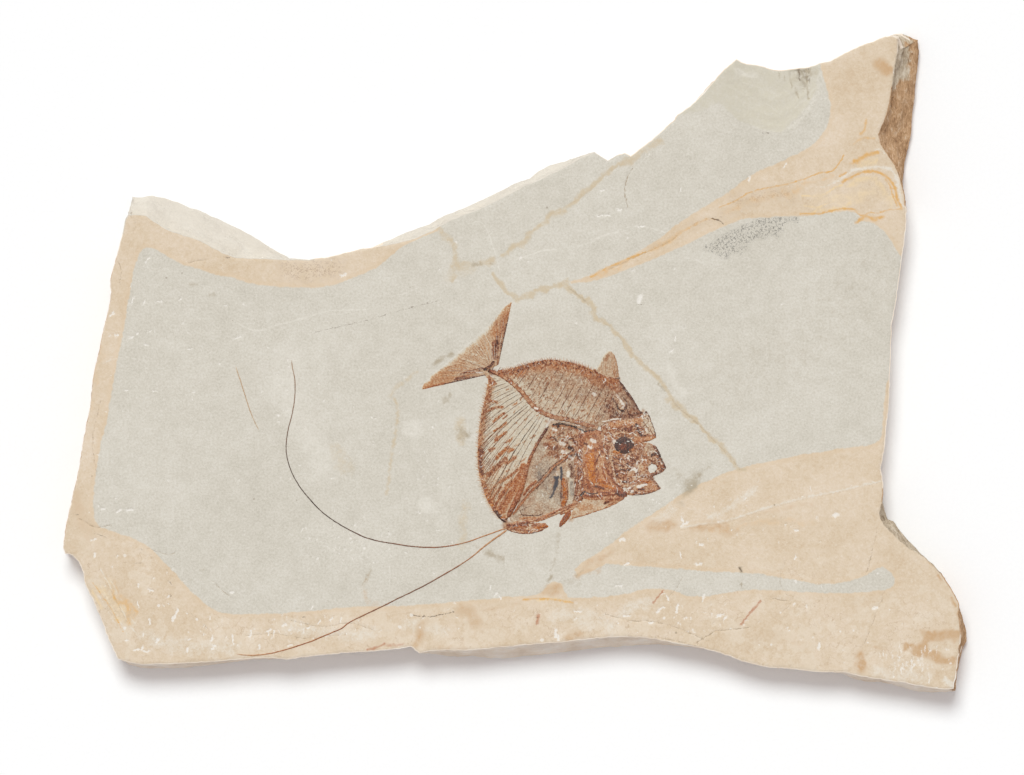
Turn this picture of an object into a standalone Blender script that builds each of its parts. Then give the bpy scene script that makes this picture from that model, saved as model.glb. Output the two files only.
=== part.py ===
"""Fossil fish slab: a deep-bodied moonfish lying in the split face of a broken limestone slab.

Metres, +Z up. The origin is at the middle of the slab's flat underside. The split face with the fish
looks up, +X runs from the slab's left edge to its right edge, and +Y towards its high corner.
Outlines and centre lines are lists of (x, y) in millimetres, seen from above.
"""

import math

import bmesh
import bpy
import numpy as np
from mathutils import Vector, noise

MM = 0.001

# Heights, in millimetres above the underside.
SLAB_TOP = 24.0
POCKET_FLOOR = SLAB_TOP - 1.0
FISH_GAP = 0.3
FISH_BASE = POCKET_FLOOR + FISH_GAP
SHEET_TOP = 24.4
CUTTER_TOP = 30.0

# The slab's broken edge.
EDGE_ROUNDING = 0.8
FOOT_UNDERCUT = 2.4
FOOT_SHARE = 0.2
WALL_ROUGHNESS = 2.2
ROUGHNESS_PER_SLOPE = 0.12
MOST_ROUGHNESS = 3.6
ROUGHNESS_LENGTH = 17.0
BEDDING_LENGTH = 5.0
# Share of the height, and share of the way in from the outermost line to the flat top's edge.
WALL_RINGS = ((0.0, 0.0), (0.2, 0.04), (0.44, 0.36), (0.7, 0.8), (0.967, 1.0))

# The thin bones and films.
RIB_HEIGHT = 0.5
RIB_TAPER = 0.5
FRINGE = 0.5
LUMP_HEIGHT = 0.15
LUMP_LENGTH = 4.0
BONE_FLATNESS = 0.5
VERTEBRAE = 22
VERTEBRA_RADIUS = (1.35, 1.95)
WAIST = 0.72
NARROW_SHARE = 0.4
GROOVE_GAP = 0.3
GROOVE_LEAD_IN = 3.0

# The flake scar in the top edge: a shallow dish cut by a flattened ball.
SCAR_CENTRE = (172.0, 206.0, SLAB_TOP + 8.0)
SCAR_RADII = (43.0, 67.0, 13.0)
SCAR_FACETS = (24, 12)

# The eye and its orbit.
EYE_CENTRE = (72.2, -55.0)
EYE_RADII = (6.2, 5.5, 0.95)
ORBIT_GAP = 0.5
ORBIT_SIDES = 16
EYE_FACETS = (14, 6)

# How far the blocks and cutters run past what they make.
PLATE_MARGIN = 2.0
CUTTER_DEPTH = 3.0

# The slab's outline, clockwise from its left upper corner. A row of two numbers is a place where the
# flat top reaches the edge. A row of four is one where the edge slopes: the outermost place, and then
# the place where the flat top ends.
SLAB_EDGE = (
    # the pale sloping ledge
    (-257, 112, -258.4, 98.8),
    (-250, 112, -252.5, 98.8),
    (-243, 112.2, -246.5, 98.2),
    (-235, 110.6, -240, 93.4),
    (-226, 108, -231, 88.2),
    (-217, 104.2, -223, 85.6),
    (-207, 100.6, -213.5, 82.8),
    (-197, 96.4, -205, 78.8),
    (-186, 91, -197, 74.2),
    (-175, 84.8, -188, 70.4),
    (-165, 78.6, -176, 69.6),
    (-157, 73.4, -164.5, 69.4),
    (-151.5, 70, -154, 68.8),
    # the dip
    (-146, 69.2),
    (-138, 68.6),
    (-130, 69.8),
    (-122, 71.2),
    (-113, 73.4),
    (-104, 75.8),
    # the narrow sloping band that rises to the right
    (-96, 77.4, -96, 76.4),
    (-88, 81.2, -87, 78.4),
    (-78, 85.4, -76, 81),
    (-68, 89.6, -66, 83.6),
    (-58, 92.8, -55.4, 88.4),
    (-48, 98.4, -45.6, 94.2),
    (-37, 103, -34.4, 98.8),
    (-26, 107.6, -23.6, 103),
    (-15, 113, -12.6, 108.4),
    (-5, 118.2, -2, 114),
    (3, 121.8, 6, 118.2),
    (9, 123.6, 12, 120.6),
    (15, 128.4, 18.4, 123.4),
    (22, 132.2, 25.6, 127),
    (32, 134.8, 34.6, 131.6),
    (43, 138.2, 43.6, 136.6),
    (52.5, 141, 52.5, 140),
    # the two small chips and the straight break beyond them
    (57, 137),
    (61.5, 134.4),
    (67, 138),
    (72.5, 139.8),
    (76.5, 137.4),
    (82, 142),
    (90, 148),
    (99, 156),
    (106, 162),
    (107.4, 165.2),
    (116, 171),
    (124, 178.4),
    (131, 186.8),
    (139, 195.6),
    (147, 202.4),
    # the flake scar's rim
    (154, 199),
    (162, 198.4),
    (169, 196),
    (175, 194.8),
    (185, 196),
    (195, 197),
    (202, 199.6),
    (210, 201.4),
    (219, 206.2),
    (227, 210.2),
    (236, 213.4),
    (246, 217.6),
    # the high corner and the rough brown wall
    (252.5, 219.8, 250.6, 217.8),
    (258, 221, 254.6, 216.4),
    (264, 218.8, 254.6, 212.6),
    (269.8, 216.6, 254.6, 208.4),
    (270.8, 209, 254, 203.4),
    (269.8, 199, 252.6, 196.6),
    (268.4, 189, 251.4, 188),
    (267.2, 179, 250.2, 179),
    (266, 169, 248.4, 169.6),
    (265.4, 160.6, 245.6, 160.4),
    (265.8, 153, 241.8, 152),
    (264, 145, 243.2, 145.6),
    (261.8, 137.4, 247.8, 139),
    (260.2, 129.6, 252.8, 131.6),
    (259.2, 121, 256.6, 122.4),
    # the long right edge
    (259, 112),
    (260.3, 101),
    (260, 90),
    (258.8, 80),
    (257.6, 70),
    (256, 60),
    (254.6, 49),
    (252.6, 36),
    (250.4, 25),
    (250.2, 14),
    (249.6, 2),
    (249.2, -10),
    (248.9, -22),
    (248.2, -33),
    (246.8, -43),
    (246, -54),
    (245, -61),
    (243.2, -70),
    (244.4, -78),
    (245.9, -86, 245, -86.4),
    # the notch
    (245.6, -93, 244, -94),
    (247.2, -99, 242.4, -100.2),
    (248.9, -104.6, 243.4, -104),
    (252.8, -105.6, 245.8, -108),
    (256.4, -110.8, 250, -112.6),
    (261.4, -117, 255.8, -118.4),
    (267, -123.2, 262.6, -123.8),
    # the long curve down to the right point
    (272, -129),
    (278, -134.8),
    (283.6, -140.8),
    (288, -147.4),
    (292, -153.8),
    (295.6, -161),
    (298.2, -168, 295.4, -169),
    (300.4, -175, 296.2, -175.6),
    (302, -180.6, 296.8, -181.2),
    (301.4, -186.4, 296.2, -187),
    (298.4, -192.4, 295.4, -193),
    (296.8, -200, 294.4, -200.4),
    (295.6, -209, 293.4, -209),
    (293.8, -219.4, 291.6, -217.6),
    # the bottom edge, with a wall that shows in two stretches
    (287, -220.8, 285.6, -217.8),
    (279, -221, 277.4, -217),
    (269, -220.8, 267.4, -215.4),
    (260, -218.4, 259, -213.6),
    (251, -215.8, 250, -212.6),
    (242, -213.8, 241.4, -211),
    (233, -213.6, 232.8, -209.8),
    (226, -211.8, 226, -208.4),
    (218.6, -208, 218.6, -206.6),
    (209, -206.6),
    (199, -206.2),
    (189, -205),
    (179, -204),
    (169, -203.4),
    (160, -201.8),
    (151, -199.2),
    (143, -196),
    (134, -193.2),
    (125, -191.4, 125, -190.8),
    (115, -190.2, 115, -188.8),
    (105, -189.4, 105, -187),
    (95, -189.2, 95, -184.8),
    (84, -189.6, 84, -183.4),
    (72, -190.2, 72, -183),
    (60, -191, 60, -183.4),
    (48, -192, 48, -184.6),
    (36, -193.4, 36, -186),
    (24, -195, 24, -187),
    (12, -196.6, 12, -188),
    (0, -197.8, 0, -189.2),
    (-11, -198.7, -11, -190.2),
    (-21, -198.6, -21, -191),
    (-29, -197, -29, -191.8),
    (-39, -197.4, -39, -192),
    (-49, -196.4, -49, -191.8),
    (-58, -195.2, -57.6, -192.6),
    (-64.5, -194),
    (-70, -189.8),
    (-78, -191),
    (-88, -192),
    (-99, -192.8),
    (-110, -193.4),
    (-121, -194.4),
    (-132, -195.4),
    (-143, -196.8),
    (-153, -198),
    (-163, -198.5, -163, -197),
    (-173, -198.6, -173, -197.2),
    (-184, -200.2, -184, -198),
    (-195, -201.6, -195, -199),
    (-206, -202.6, -206, -199.8),
    (-217, -204, -217, -200.4),
    (-229, -204.7, -229, -201),
    (-241, -204.9, -241, -201.4),
    (-251, -204.6, -250.6, -201.6),
    (-259, -202.2, -258, -200),
    # the slanting lower left break
    (-265.6, -197.8),
    (-269.4, -189.6),
    (-273.2, -180.4),
    (-276.6, -171),
    (-280.4, -162.4),
    (-284.4, -154),
    (-287.8, -146.2),
    (-288.6, -140),
    (-291.8, -132.6),
    (-295.8, -128.6),
    (-300.6, -127.4),
    (-302, -123.6),
    (-301, -115),
    (-299.8, -106.4),
    # the long left edge
    (-297.4, -97),
    (-295.6, -88),
    (-293, -78),
    (-291, -68),
    (-289.6, -58),
    (-287.8, -48),
    (-285.8, -38),
    (-283.6, -27),
    (-282.6, -14),
    (-281.2, -5),
    (-278.6, 5),
    (-276.4, 16),
    (-274, 27),
    (-271.2, 38),
    (-270, 47),
    (-271, 54.4),
    (-268.8, 62),
    (-266, 72),
    (-263.4, 82),
    (-260.8, 94),
    (-258.8, 104, -259.4, 97.6),
)

# The shallow pocket that holds the fish.
POCKET = (
    (-1.2, 42),
    (-9.6, 35.6),
    (-15.6, 28.2),
    (-21, 21.4),
    (-26.6, 16.4),
    (-33, 10.8),
    (-40, 4.6),
    (-47, -1.6),
    (-54, -7.4),
    (-61, -13.2),
    (-64.8, -18.4),
    (-62, -19.6),
    (-44, -14.8),
    (-32, -12.2),
    (-21, -9.8),
    (-20.2, -17),
    (-21.8, -24),
    (-23.6, -31),
    (-25, -38),
    (-26.1, -46),
    (-26.8, -54),
    (-27.2, -62),
    (-26.7, -70),
    (-25.4, -77.6),
    (-23.6, -85),
    (-20.8, -92),
    (-17.4, -98.2),
    (-13.2, -103.6),
    (-9.8, -107.4),
    (-9.4, -110.8),
    (-4.6, -113.8),
    (2, -115.3),
    (10, -115.4),
    (17.6, -113.5),
    (22.9, -110.2),
    (22.6, -106.2),
    (28.2, -104.4),
    (27.4, -110.4),
    (30.6, -110.8),
    (33.6, -108.4),
    (36.4, -105.2),
    (41.4, -104.4),
    (47.4, -102.8),
    (54.4, -100.2),
    (61.6, -98),
    (67.8, -95.2),
    (73.2, -91.2),
    (79, -90),
    (86.2, -89),
    (92.6, -87.4),
    (98.2, -84.2),
    (96.6, -81.2),
    (94.6, -78.8),
    (93.6, -76.6),
    (98.8, -73.8),
    (101.4, -70),
    (98.6, -64),
    (96.8, -59.6),
    (94.4, -54.6),
    (94.6, -50.2),
    (93.8, -45.4),
    (92.2, -40.4),
    (90, -35),
    (87, -31.2),
    (84.2, -31.8),
    (81, -26.4),
    (78.2, -21.8),
    (75.2, -17.8),
    (72.2, -13.8),
    (69.9, -9.8),
    (69, -3),
    (68, 2),
    (66.6, 5.8),
    (64.4, 8.4),
    (61.2, 9),
    (58, 6.4),
    (55.9, 2.6),
    (54.3, -1.8),
    (52.6, -3.8),
    (48.4, -2),
    (42.2, 0.2),
    (35.2, 1.9),
    (28.2, 3.1),
    (22, 3.5),
    (14.8, 2.6),
    (7.8, 0.8),
    (0.6, -1.4),
    (-5, -3.2),
    (-9.6, -3.4),
    (-10.4, -0.6),
    (-8.1, 10),
    (-4.7, 25),
)

# Centre lines of the rounded bones.
BACKBONE = (
    (-13, -7.2),
    (-9, -9.3),
    (-4.5, -12.3),
    (0, -16),
    (4.5, -20.5),
    (8.5, -25.5),
    (12, -29.5),
    (16, -32.5),
    (21, -35),
    (27, -36.8),
    (34, -38),
    (41, -39.8),
    (48, -42),
    (54.5, -43.8),
)
# x, y and half the width.
BELLY_STRUT = (
    (21.8, -42.6, 0.8),
    (18, -48, 1.0),
    (14.9, -53, 1.1),
    (12, -58.4, 1.1),
    (9.5, -64, 1.2),
    (7.5, -70, 1.3),
    (6, -76, 1.5),
    (4.4, -82, 1.7),
    (2, -88, 1.9),
    (-1, -94, 2.1),
    (-4, -100, 1.7),
    (-5.8, -103.6, 1.0),
)
PELVIC_RAY_UPPER = (
    (-9.4, -111.4, 0.6),
    (-15, -113.4, 0.6),
    (-22, -115.9, 0.55),
    (-31, -119.2, 0.55),
    (-40, -121.5, 0.5),
    (-50, -123, 0.5),
    (-60, -123.2, 0.5),
    (-71, -122.4, 0.5),
    (-81, -120.8, 0.5),
    (-91, -119.2, 0.5),
    (-101, -116.4, 0.5),
    (-111, -111.6, 0.5),
    (-121, -105.8, 0.5),
    (-130, -99, 0.5),
    (-138, -90.6, 0.5),
    (-145, -81.6, 0.45),
    (-150.2, -71.6, 0.45),
    (-152.8, -62.4, 0.45),
    (-153.2, -54, 0.45),
    (-151.8, -44.4, 0.45),
    (-149.4, -35, 0.45),
    (-147.6, -24, 0.45),
    (-147.4, -12, 0.45),
    (-149, -4, 0.4),
    (-149.6, 1.4, 0.4),
)
PELVIC_RAY_LOWER = (
    (-8.2, -113.2, 0.75),
    (-15, -118, 0.75),
    (-21.8, -123.2, 0.7),
    (-30, -130, 0.5),
    (-40, -136.6, 0.5),
    (-51, -143, 0.5),
    (-62, -149.2, 0.5),
    (-78, -157, 0.5),
    (-90, -163, 0.5),
    (-101, -168.2, 0.5),
    (-111, -173.2, 0.45),
    (-117, -177.6, 0.45),
    (-127, -181.8, 0.45),
    (-138, -186.4, 0.45),
    (-151, -190.6, 0.45),
    (-163, -193.8, 0.45),
    (-175, -195.2, 0.45),
    (-186, -194.6, 0.4),
)
RAY_FRAGMENT = (
    (-187, -2.4, 0.4),
    (-183.6, -12.4, 0.45),
    (-180, -24, 0.45),
    (-176.2, -35, 0.4),
    (-171.4, -45.4, 0.35),
)

# Ribbed films and fins: the line that the ribs grow from, and the margin that they reach.
TAIL_ROOT = ((-20.5, -8.3), (-17.6, -5.4), (-14.8, -3), (-11.9, -1.4))
TAIL_MARGIN = (
    (-63, -18),
    (-60, -14),
    (-53, -8.2),
    (-46, -2.4),
    (-39, 3.8),
    (-32, 9.8),
    (-25.6, 15.6),
    (-20, 20.4),
    (-14.6, 27.4),
    (-8.6, 34.6),
    (-2.4, 40.4),
)
FLANK_ROOT = (
    (-10.6, -5.8),
    (-7.7, -7.4),
    (-3, -10.4),
    (1.6, -14.2),
    (6.3, -18.9),
    (10.4, -23.9),
    (13.7, -27.6),
    (17.3, -30.3),
    (21.9, -32.6),
    (27.4, -34.3),
    (34.6, -35.5),
    (41.7, -37.3),
    (48.7, -39.5),
    (55, -40.8),
    (63, -39),
    (72, -37.6),
    (79, -36.4),
    (82.6, -34.4),
)
FLANK_MARGIN = (
    (-10.3, -4.9),
    (-5, -4.7),
    (1, -2.9),
    (8, -0.7),
    (15, 1.1),
    (22, 2),
    (28, 1.6),
    (35, 0.4),
    (42, -1.3),
    (48, -3.6),
    (54, -7),
    (60, -9.9),
    (67.8, -11.2),
    (71, -14.6),
    (74, -18.6),
    (77, -22.6),
    (80, -27.6),
    (83, -33),
)
DORSAL_ROOT = ((53.8, -5.6), (57, -7.4), (60.5, -8.8), (64, -9.4), (68.6, -10.1))
DORSAL_MARGIN = (
    (53.4, -5),
    (55.5, -1.8),
    (57, 2),
    (59, 5.4),
    (61.5, 7.5),
    (63.6, 7.1),
    (65.5, 5),
    (66.8, 1.5),
    (67.8, -3),
    (68.7, -9.6),
)
FAN_ROOT = (
    (-17.4, -9.6),
    (-14.2, -10.2),
    (-10.3, -11.6),
    (-5.9, -14.4),
    (-1.7, -18),
    (2.6, -22.4),
    (6.6, -27.4),
    (10.3, -31.4),
    (14.7, -34.7),
    (20, -37.4),
)
FAN_MARGIN = (
    (-18.4, -10.6),
    (-19, -17),
    (-20.5, -24),
    (-22.3, -31),
    (-23.7, -38),
    (-24.8, -46),
    (-25.4, -54),
    (-25.8, -62),
    (-25.3, -70),
    (-24.1, -77),
    (-22.3, -84),
    (-19.7, -91),
    (-16.4, -97),
    (-12.4, -102.4),
    (-8.6, -106.4),
)

# Outlines of the plates.
SKULL = (
    (56.8, -42.8),
    (63, -40.3),
    (72, -38.8),
    (80, -37.6),
    (83.8, -34.9),
    (86.8, -32.5),
    (88.8, -35.6),
    (91, -41),
    (92.6, -46),
    (93.3, -50),
    (90, -51.8),
    (85.4, -53.2),
    (90, -54.2),
    (93, -55.4),
    (95.5, -60),
    (97.2, -64.4),
    (100, -70),
    (98, -72.8),
    (94.6, -74.4),
    (91.4, -75.6),
    (88, -75.8),
    (82, -76.9),
    (77, -79.4),
    (73.6, -83.2),
    (70.8, -83.8),
    (67.3, -80.3),
    (64, -74.8),
    (61.5, -68.4),
    (59.7, -61.4),
    (58.1, -53.6),
    (57, -47),
)
MOUTH_GAP = (
    (88.4, -69.4),
    (90.6, -67.4),
    (93.4, -68.6),
    (94, -70.6),
    (92, -73),
    (89.6, -73.8),
    (88.2, -72),
)
LOWER_JAW = (
    (74.4, -85),
    (78, -81.2),
    (82.6, -78.5),
    (88.2, -77.3),
    (91, -77.6),
    (93.6, -80),
    (95.4, -82.4),
    (96.6, -84.2),
    (92, -86.2),
    (86, -87.8),
    (79, -88.6),
    (74.6, -88.4),
)
GILL_COVER = (
    (46.3, -47),
    (51, -46.6),
    (55.4, -47),
    (56.6, -54),
    (58.2, -62),
    (60, -69),
    (62.6, -75.6),
    (66, -81.4),
    (70.2, -85.6),
    (72.8, -87.6),
    (72.4, -89.6),
    (66, -89.8),
    (58, -90),
    (50, -90.2),
    (46.4, -89.6),
    (45.9, -84),
    (46.1, -74),
    (45.8, -64),
    (45.5, -54),
)
THROAT = (
    (44.8, -91),
    (51, -91.3),
    (59, -91.1),
    (66, -91),
    (71.5, -91.3),
    (67, -94),
    (61, -96.8),
    (54, -99),
    (47, -101.6),
    (41, -103.2),
    (37.6, -104),
    (38.7, -100.4),
    (41.1, -96.6),
    (43.4, -93.2),
)
SHOULDER_BONE = (
    (41.4, -45.6),
    (44.9, -46.6),
    (44.3, -54),
    (44.6, -64),
    (44.9, -74),
    (44.6, -84),
    (43.6, -90),
    (41.2, -91),
    (40.5, -84),
    (40.3, -74),
    (39.9, -64),
    (40.2, -54),
)
ABDOMEN = (
    (23.8, -40.6),
    (30, -41),
    (37, -42.2),
    (40.3, -43.8),
    (39.2, -48),
    (39, -56),
    (38.9, -66),
    (39.2, -76),
    (39.4, -86),
    (38.4, -92.2),
    (33, -95),
    (26, -98.1),
    (18, -101.3),
    (9, -103.7),
    (0, -105.3),
    (-2.6, -104.6),
    (0.8, -99.6),
    (3.8, -93.6),
    (6.2, -87),
    (7.8, -80.4),
    (9.2, -74),
    (11, -67),
    (13.6, -60.4),
    (16.9, -54.4),
    (20.2, -48.8),
    (22.8, -44.4),
)
BELLY_KEEL = (
    (-6, -107.9),
    (0, -107.3),
    (9, -105.7),
    (18, -103.2),
    (26, -100),
    (33, -96.8),
    (38.8, -93.9),
    (40.6, -93.8),
    (40.2, -95),
    (34, -98),
    (27, -101.4),
    (19, -104.8),
    (12, -106.9),
    (19.6, -107.2),
    (21.6, -109.6),
    (17, -112.2),
    (10, -114.1),
    (2, -114),
    (-4, -112.4),
    (-7.8, -110.2),
)
PELVIC_SPINE = (
    (28.7, -109.4),
    (29.6, -106),
    (32, -102.2),
    (34.6, -99.6),
    (36.4, -99.4),
    (36.6, -101.4),
    (35, -104.4),
    (32.4, -107.4),
    (30, -109.3),
)

# Ridges on the plates: (half the width, height) and the line that each follows.
SKULL_RIDGES = (
    ((2.2, 0.9), ((60, -42), (70, -41), (80, -41), (88, -47), (92, -49.5))),
    ((2.0, 0.7), ((66, -60.5), (73, -63), (80, -62), (84, -56))),
    ((1.8, 0.8), ((87, -57), (92, -60), (96, -66), (98.6, -70), (94, -73.6), (90, -75))),
    ((1.6, 0.6), ((64, -67), (72, -70), (80, -67.5), (87, -62))),
    ((1.6, 0.6), ((70, -81), (76, -77), (84, -74))),
    ((1.4, 0.6), ((61, -48), (62, -56), (64, -64), (67, -74))),
    ((1.4, 0.5), ((85, -35), (88, -40), (91, -47))),
)
GILL_RIDGES = (
    ((2.0, 0.7), ((48, -48), (47.6, -60), (48, -74), (49.6, -87))),
    ((1.8, 0.7), ((54.6, -48), (56, -58), (58.6, -70), (63, -81), (70.6, -87))),
    ((2.4, 0.5), ((51.4, -60), (51.8, -70), (53, -80))),
    ((1.4, 0.6), ((50, -88.6), (58, -88.4), (68, -88))),
    ((1.2, 0.5), ((53, -83), (58, -83.6), (63, -85))),
)
JAW_RIDGES = (
    ((1.5, 0.7), ((75, -87), (84, -86.6), (95, -84))),
    ((1.3, 0.5), ((80, -80.6), (90, -79), (94, -82))),
)
SHOULDER_RIDGES = (((1.6, 0.8), ((43, -47), (42.2, -60), (42.6, -76), (42.4, -90))),)
THROAT_RIDGES = (((1.2, 0.5), ((38.6, -103), (50, -99.6), (62, -95.6), (70, -92))),)
KEEL_RIDGES = (
    ((1.2, 0.8), ((-6, -108.8), (8, -106.6), (20, -103.4), (32, -98), (40, -94))),
    ((1.4, 0.8), ((-6, -110.8), (2, -112.6), (11, -112.4), (20, -109.4))),
)
SPINE_RIDGES = (((1.6, 0.7), ((29.4, -108.6), (32.4, -104.4), (36, -100)),),)
ABDOMEN_RIDGES = (
    ((1.2, 0.9), ((37, -60.5), (29, -65.5), (21, -74.4), (13.6, -82.6), (4, -95), (-1, -103))),
    ((1.9, 0.9), ((32, -77), (32.6, -84), (32.4, -94))),
    ((1.5, 0.8), ((37, -62), (38, -76))),
    ((1.3, 0.6), ((29, -44), (34, -50), (36, -57))),
    ((1.4, 0.6), ((22, -50), (26, -55), (28, -61))),
    ((1.2, 0.5), ((29.4, -68), (30, -76))),
)

# Colour and roughness of each material.
STONE = ((0.68, 0.62, 0.53), 0.85)
FILM = ((0.40, 0.29, 0.21), 0.75)
FIN = ((0.50, 0.35, 0.23), 0.75)
BONE = ((0.44, 0.20, 0.10), 0.6)
AMBER = ((0.42, 0.15, 0.05), 0.55)
PALE = ((0.55, 0.43, 0.30), 0.7)
DARK = ((0.10, 0.08, 0.07), 0.6)
RAY = ((0.22, 0.13, 0.10), 0.6)


def clear_scene():
    for thing in list(bpy.data.objects):
        bpy.data.objects.remove(thing, do_unlink=True)


def new_collection(name):
    collection = bpy.data.collections.new(name)
    bpy.context.scene.collection.children.link(collection)
    return collection


def new_material(name, finish):
    """A Principled material of one colour and roughness, with no metal."""
    colour, roughness = finish
    material = bpy.data.materials.new(name)
    material.use_nodes = True
    shader = material.node_tree.nodes["Principled BSDF"]
    shader.inputs["Base Color"].default_value = (*colour, 1.0)
    shader.inputs["Roughness"].default_value = roughness
    shader.inputs["Metallic"].default_value = 0.0
    material.diffuse_color = (*colour, 1.0)
    return material


def add_part(name, data, finish, collection):
    """A named object with a material of its own."""
    part = bpy.data.objects.new(name, data)
    data.materials.append(new_material(name, finish))
    collection.objects.link(part)
    return part


def mesh_from(bm, name):
    """The bmesh as a mesh, its faces turned outwards, in metres."""
    bmesh.ops.recalc_face_normals(bm, faces=bm.faces[:])
    bmesh.ops.scale(bm, vec=(MM, MM, MM), verts=bm.verts[:])
    mesh = bpy.data.meshes.new(name)
    bm.to_mesh(mesh)
    bm.free()
    return mesh


def spaced(line, count, power=1.0):
    """Points along a line of (x, y), evenly spaced, or crowded towards its start by a power over 1."""
    points = np.array(line, float)
    steps = np.hypot(*np.diff(points, axis=0).T)
    lengths = np.concatenate([[0.0], np.cumsum(steps)])
    wanted = lengths[-1] * np.linspace(0.0, 1.0, count) ** power
    return [Vector(xy) for xy in zip(*(np.interp(wanted, lengths, points[:, k]) for k in (0, 1)))]


def inward_normals(outline):
    """For a clockwise outline, the unit direction into it at each point."""
    normals = []
    for i, point in enumerate(outline):
        along = outline[(i + 1) % len(outline)] - outline[i - 1]
        normals.append(Vector((along.y, -along.x)).normalized())
    return normals


# ---------------------------------------------------------------- curves and cutters


def curve_object(name, points, radii, collection, closed=False):
    """A POLY curve through points of (x, y, z) in millimetres."""
    data = bpy.data.curves.new(name, "CURVE")
    spline = data.splines.new("POLY")
    spline.points.add(len(points) - 1)
    for target, point, radius in zip(spline.points, points, radii):
        target.co = (point[0] * MM, point[1] * MM, point[2] * MM, 1.0)
        target.radius = radius
    spline.use_cyclic_u = closed
    curve = bpy.data.objects.new(name, data)
    collection.objects.link(curve)
    return curve


def curve_to_mesh(curve, name, collection):
    """Replaces a curve object by a mesh object with welded caps."""
    bpy.context.view_layer.update()
    evaluated = curve.evaluated_get(bpy.context.evaluated_depsgraph_get())
    mesh = bpy.data.meshes.new_from_object(evaluated)
    bm = bmesh.new()
    bm.from_mesh(mesh)
    bmesh.ops.remove_doubles(bm, verts=bm.verts[:], dist=0.01 * MM)
    bmesh.ops.recalc_face_normals(bm, faces=bm.faces[:])
    bm.to_mesh(mesh)
    bm.free()
    solid = bpy.data.objects.new(name, mesh)
    solid.matrix_world = curve.matrix_world.copy()
    collection.objects.link(solid)
    bpy.data.objects.remove(curve, do_unlink=True)
    return solid


def prism(name, outline, low, high, collection):
    """The flat outline made solid from one height to another."""
    middle = (low + high) / 2
    points = [(x, y, 0.0) for x, y in outline]
    curve = curve_object(name + "_outline", points, [1.0] * len(points), collection, closed=True)
    curve.data.dimensions = "2D"
    curve.data.fill_mode = "BOTH"
    curve.data.extrude = (high - low) / 2 * MM
    curve.location.z = middle * MM
    return as_cutter(curve_to_mesh(curve, name, collection))


def as_cutter(thing):
    thing.hide_render = True
    thing.display_type = "WIRE"
    return thing


def boolean(part, other, operation):
    modifier = part.modifiers.new(other.name, "BOOLEAN")
    modifier.operation = operation
    modifier.solver = "EXACT"
    modifier.object = other


def rod_curve(name, line, height, flatness, collection, extra=0.0):
    """A tapered round bone along a line of (x, y, half width), pressed flat by its z scale."""
    curve = curve_object(
        name,
        [(x, y, 0.0) for x, y, _ in line],
        [radius + extra for _, _, radius in line],
        collection,
    )
    curve.data.dimensions = "3D"
    curve.data.bevel_depth = MM
    curve.data.bevel_resolution = 1
    curve.data.use_fill_caps = True
    curve.location.z = height * MM
    curve.scale.z = flatness
    return curve


# ---------------------------------------------------------------- the slab


def slab_wall_points():
    """One list of (x, y, z) for each height of the broken edge, from the underside to the top."""
    outer = [Vector(row[:2]) for row in SLAB_EDGE]
    inner = [Vector(row[-2:]) for row in SLAB_EDGE]
    inward = inward_normals(outer)
    rings = []
    for share, way_in in WALL_RINGS:
        ring = []
        for out, top, normal in zip(outer, inner, inward):
            place = out.lerp(top, way_in)
            slope = (top - out).length
            height = SLAB_TOP * share
            if share == 0.0:
                place += normal * FOOT_UNDERCUT
            elif FOOT_SHARE < share and way_in < 1.0:
                along = Vector((place.x, place.y)) / ROUGHNESS_LENGTH
                sample = Vector((along.x, along.y, height / BEDDING_LENGTH))
                most = WALL_ROUGHNESS + ROUGHNESS_PER_SLOPE * slope
                rough = (0.5 + noise.noise(sample)) * most
                place += normal * min(max(rough, 0.0), MOST_ROUGHNESS)
            ring.append((place.x, place.y, height))
        rings.append(ring)
    crest = [top + normal * EDGE_ROUNDING for top, normal in zip(inner, inward)]
    rings.append([(place.x, place.y, SLAB_TOP) for place in crest])
    return rings


def build_slab(parts, cutters):
    """The stone: a loft up its broken edge, with the flake scar, the pocket and the ray grooves cut."""
    bm = bmesh.new()
    rings = [[bm.verts.new(point) for point in ring] for ring in slab_wall_points()]
    count = len(SLAB_EDGE)
    walls = []
    for low, high in zip(rings, rings[1:]):
        for i in range(count):
            j = (i + 1) % count
            walls.append(bm.faces.new((low[i], low[j], high[j], high[i])))
    bm.faces.new(rings[0])
    bm.faces.new(rings[-1])
    bmesh.ops.triangulate(bm, faces=walls)
    slab = add_part("slab", mesh_from(bm, "slab"), STONE, parts)

    boolean(slab, scar_cutter(cutters), "DIFFERENCE")
    boolean(slab, prism("fish_pocket", POCKET, POCKET_FLOOR, CUTTER_TOP, cutters), "DIFFERENCE")
    for name, line in (
        ("groove_upper", with_lead_in(PELVIC_RAY_UPPER)),
        ("groove_lower", with_lead_in(PELVIC_RAY_LOWER)),
        ("groove_fragment", RAY_FRAGMENT),
    ):
        curve = rod_curve(name + "_line", line, SLAB_TOP, 1.0, cutters, extra=GROOVE_GAP)
        boolean(slab, as_cutter(curve_to_mesh(curve, name, cutters)), "DIFFERENCE")
    return slab


def scar_cutter(cutters):
    """The flattened ball that leaves the dished flake scar."""
    bm = bmesh.new()
    around, upwards = SCAR_FACETS
    bmesh.ops.create_uvsphere(bm, u_segments=around, v_segments=upwards, radius=1.0)
    bmesh.ops.scale(bm, vec=SCAR_RADII, verts=bm.verts[:])
    bmesh.ops.translate(bm, vec=SCAR_CENTRE, verts=bm.verts[:])
    ball = bpy.data.objects.new("scar", mesh_from(bm, "scar"))
    cutters.objects.link(ball)
    return as_cutter(ball)


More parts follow.
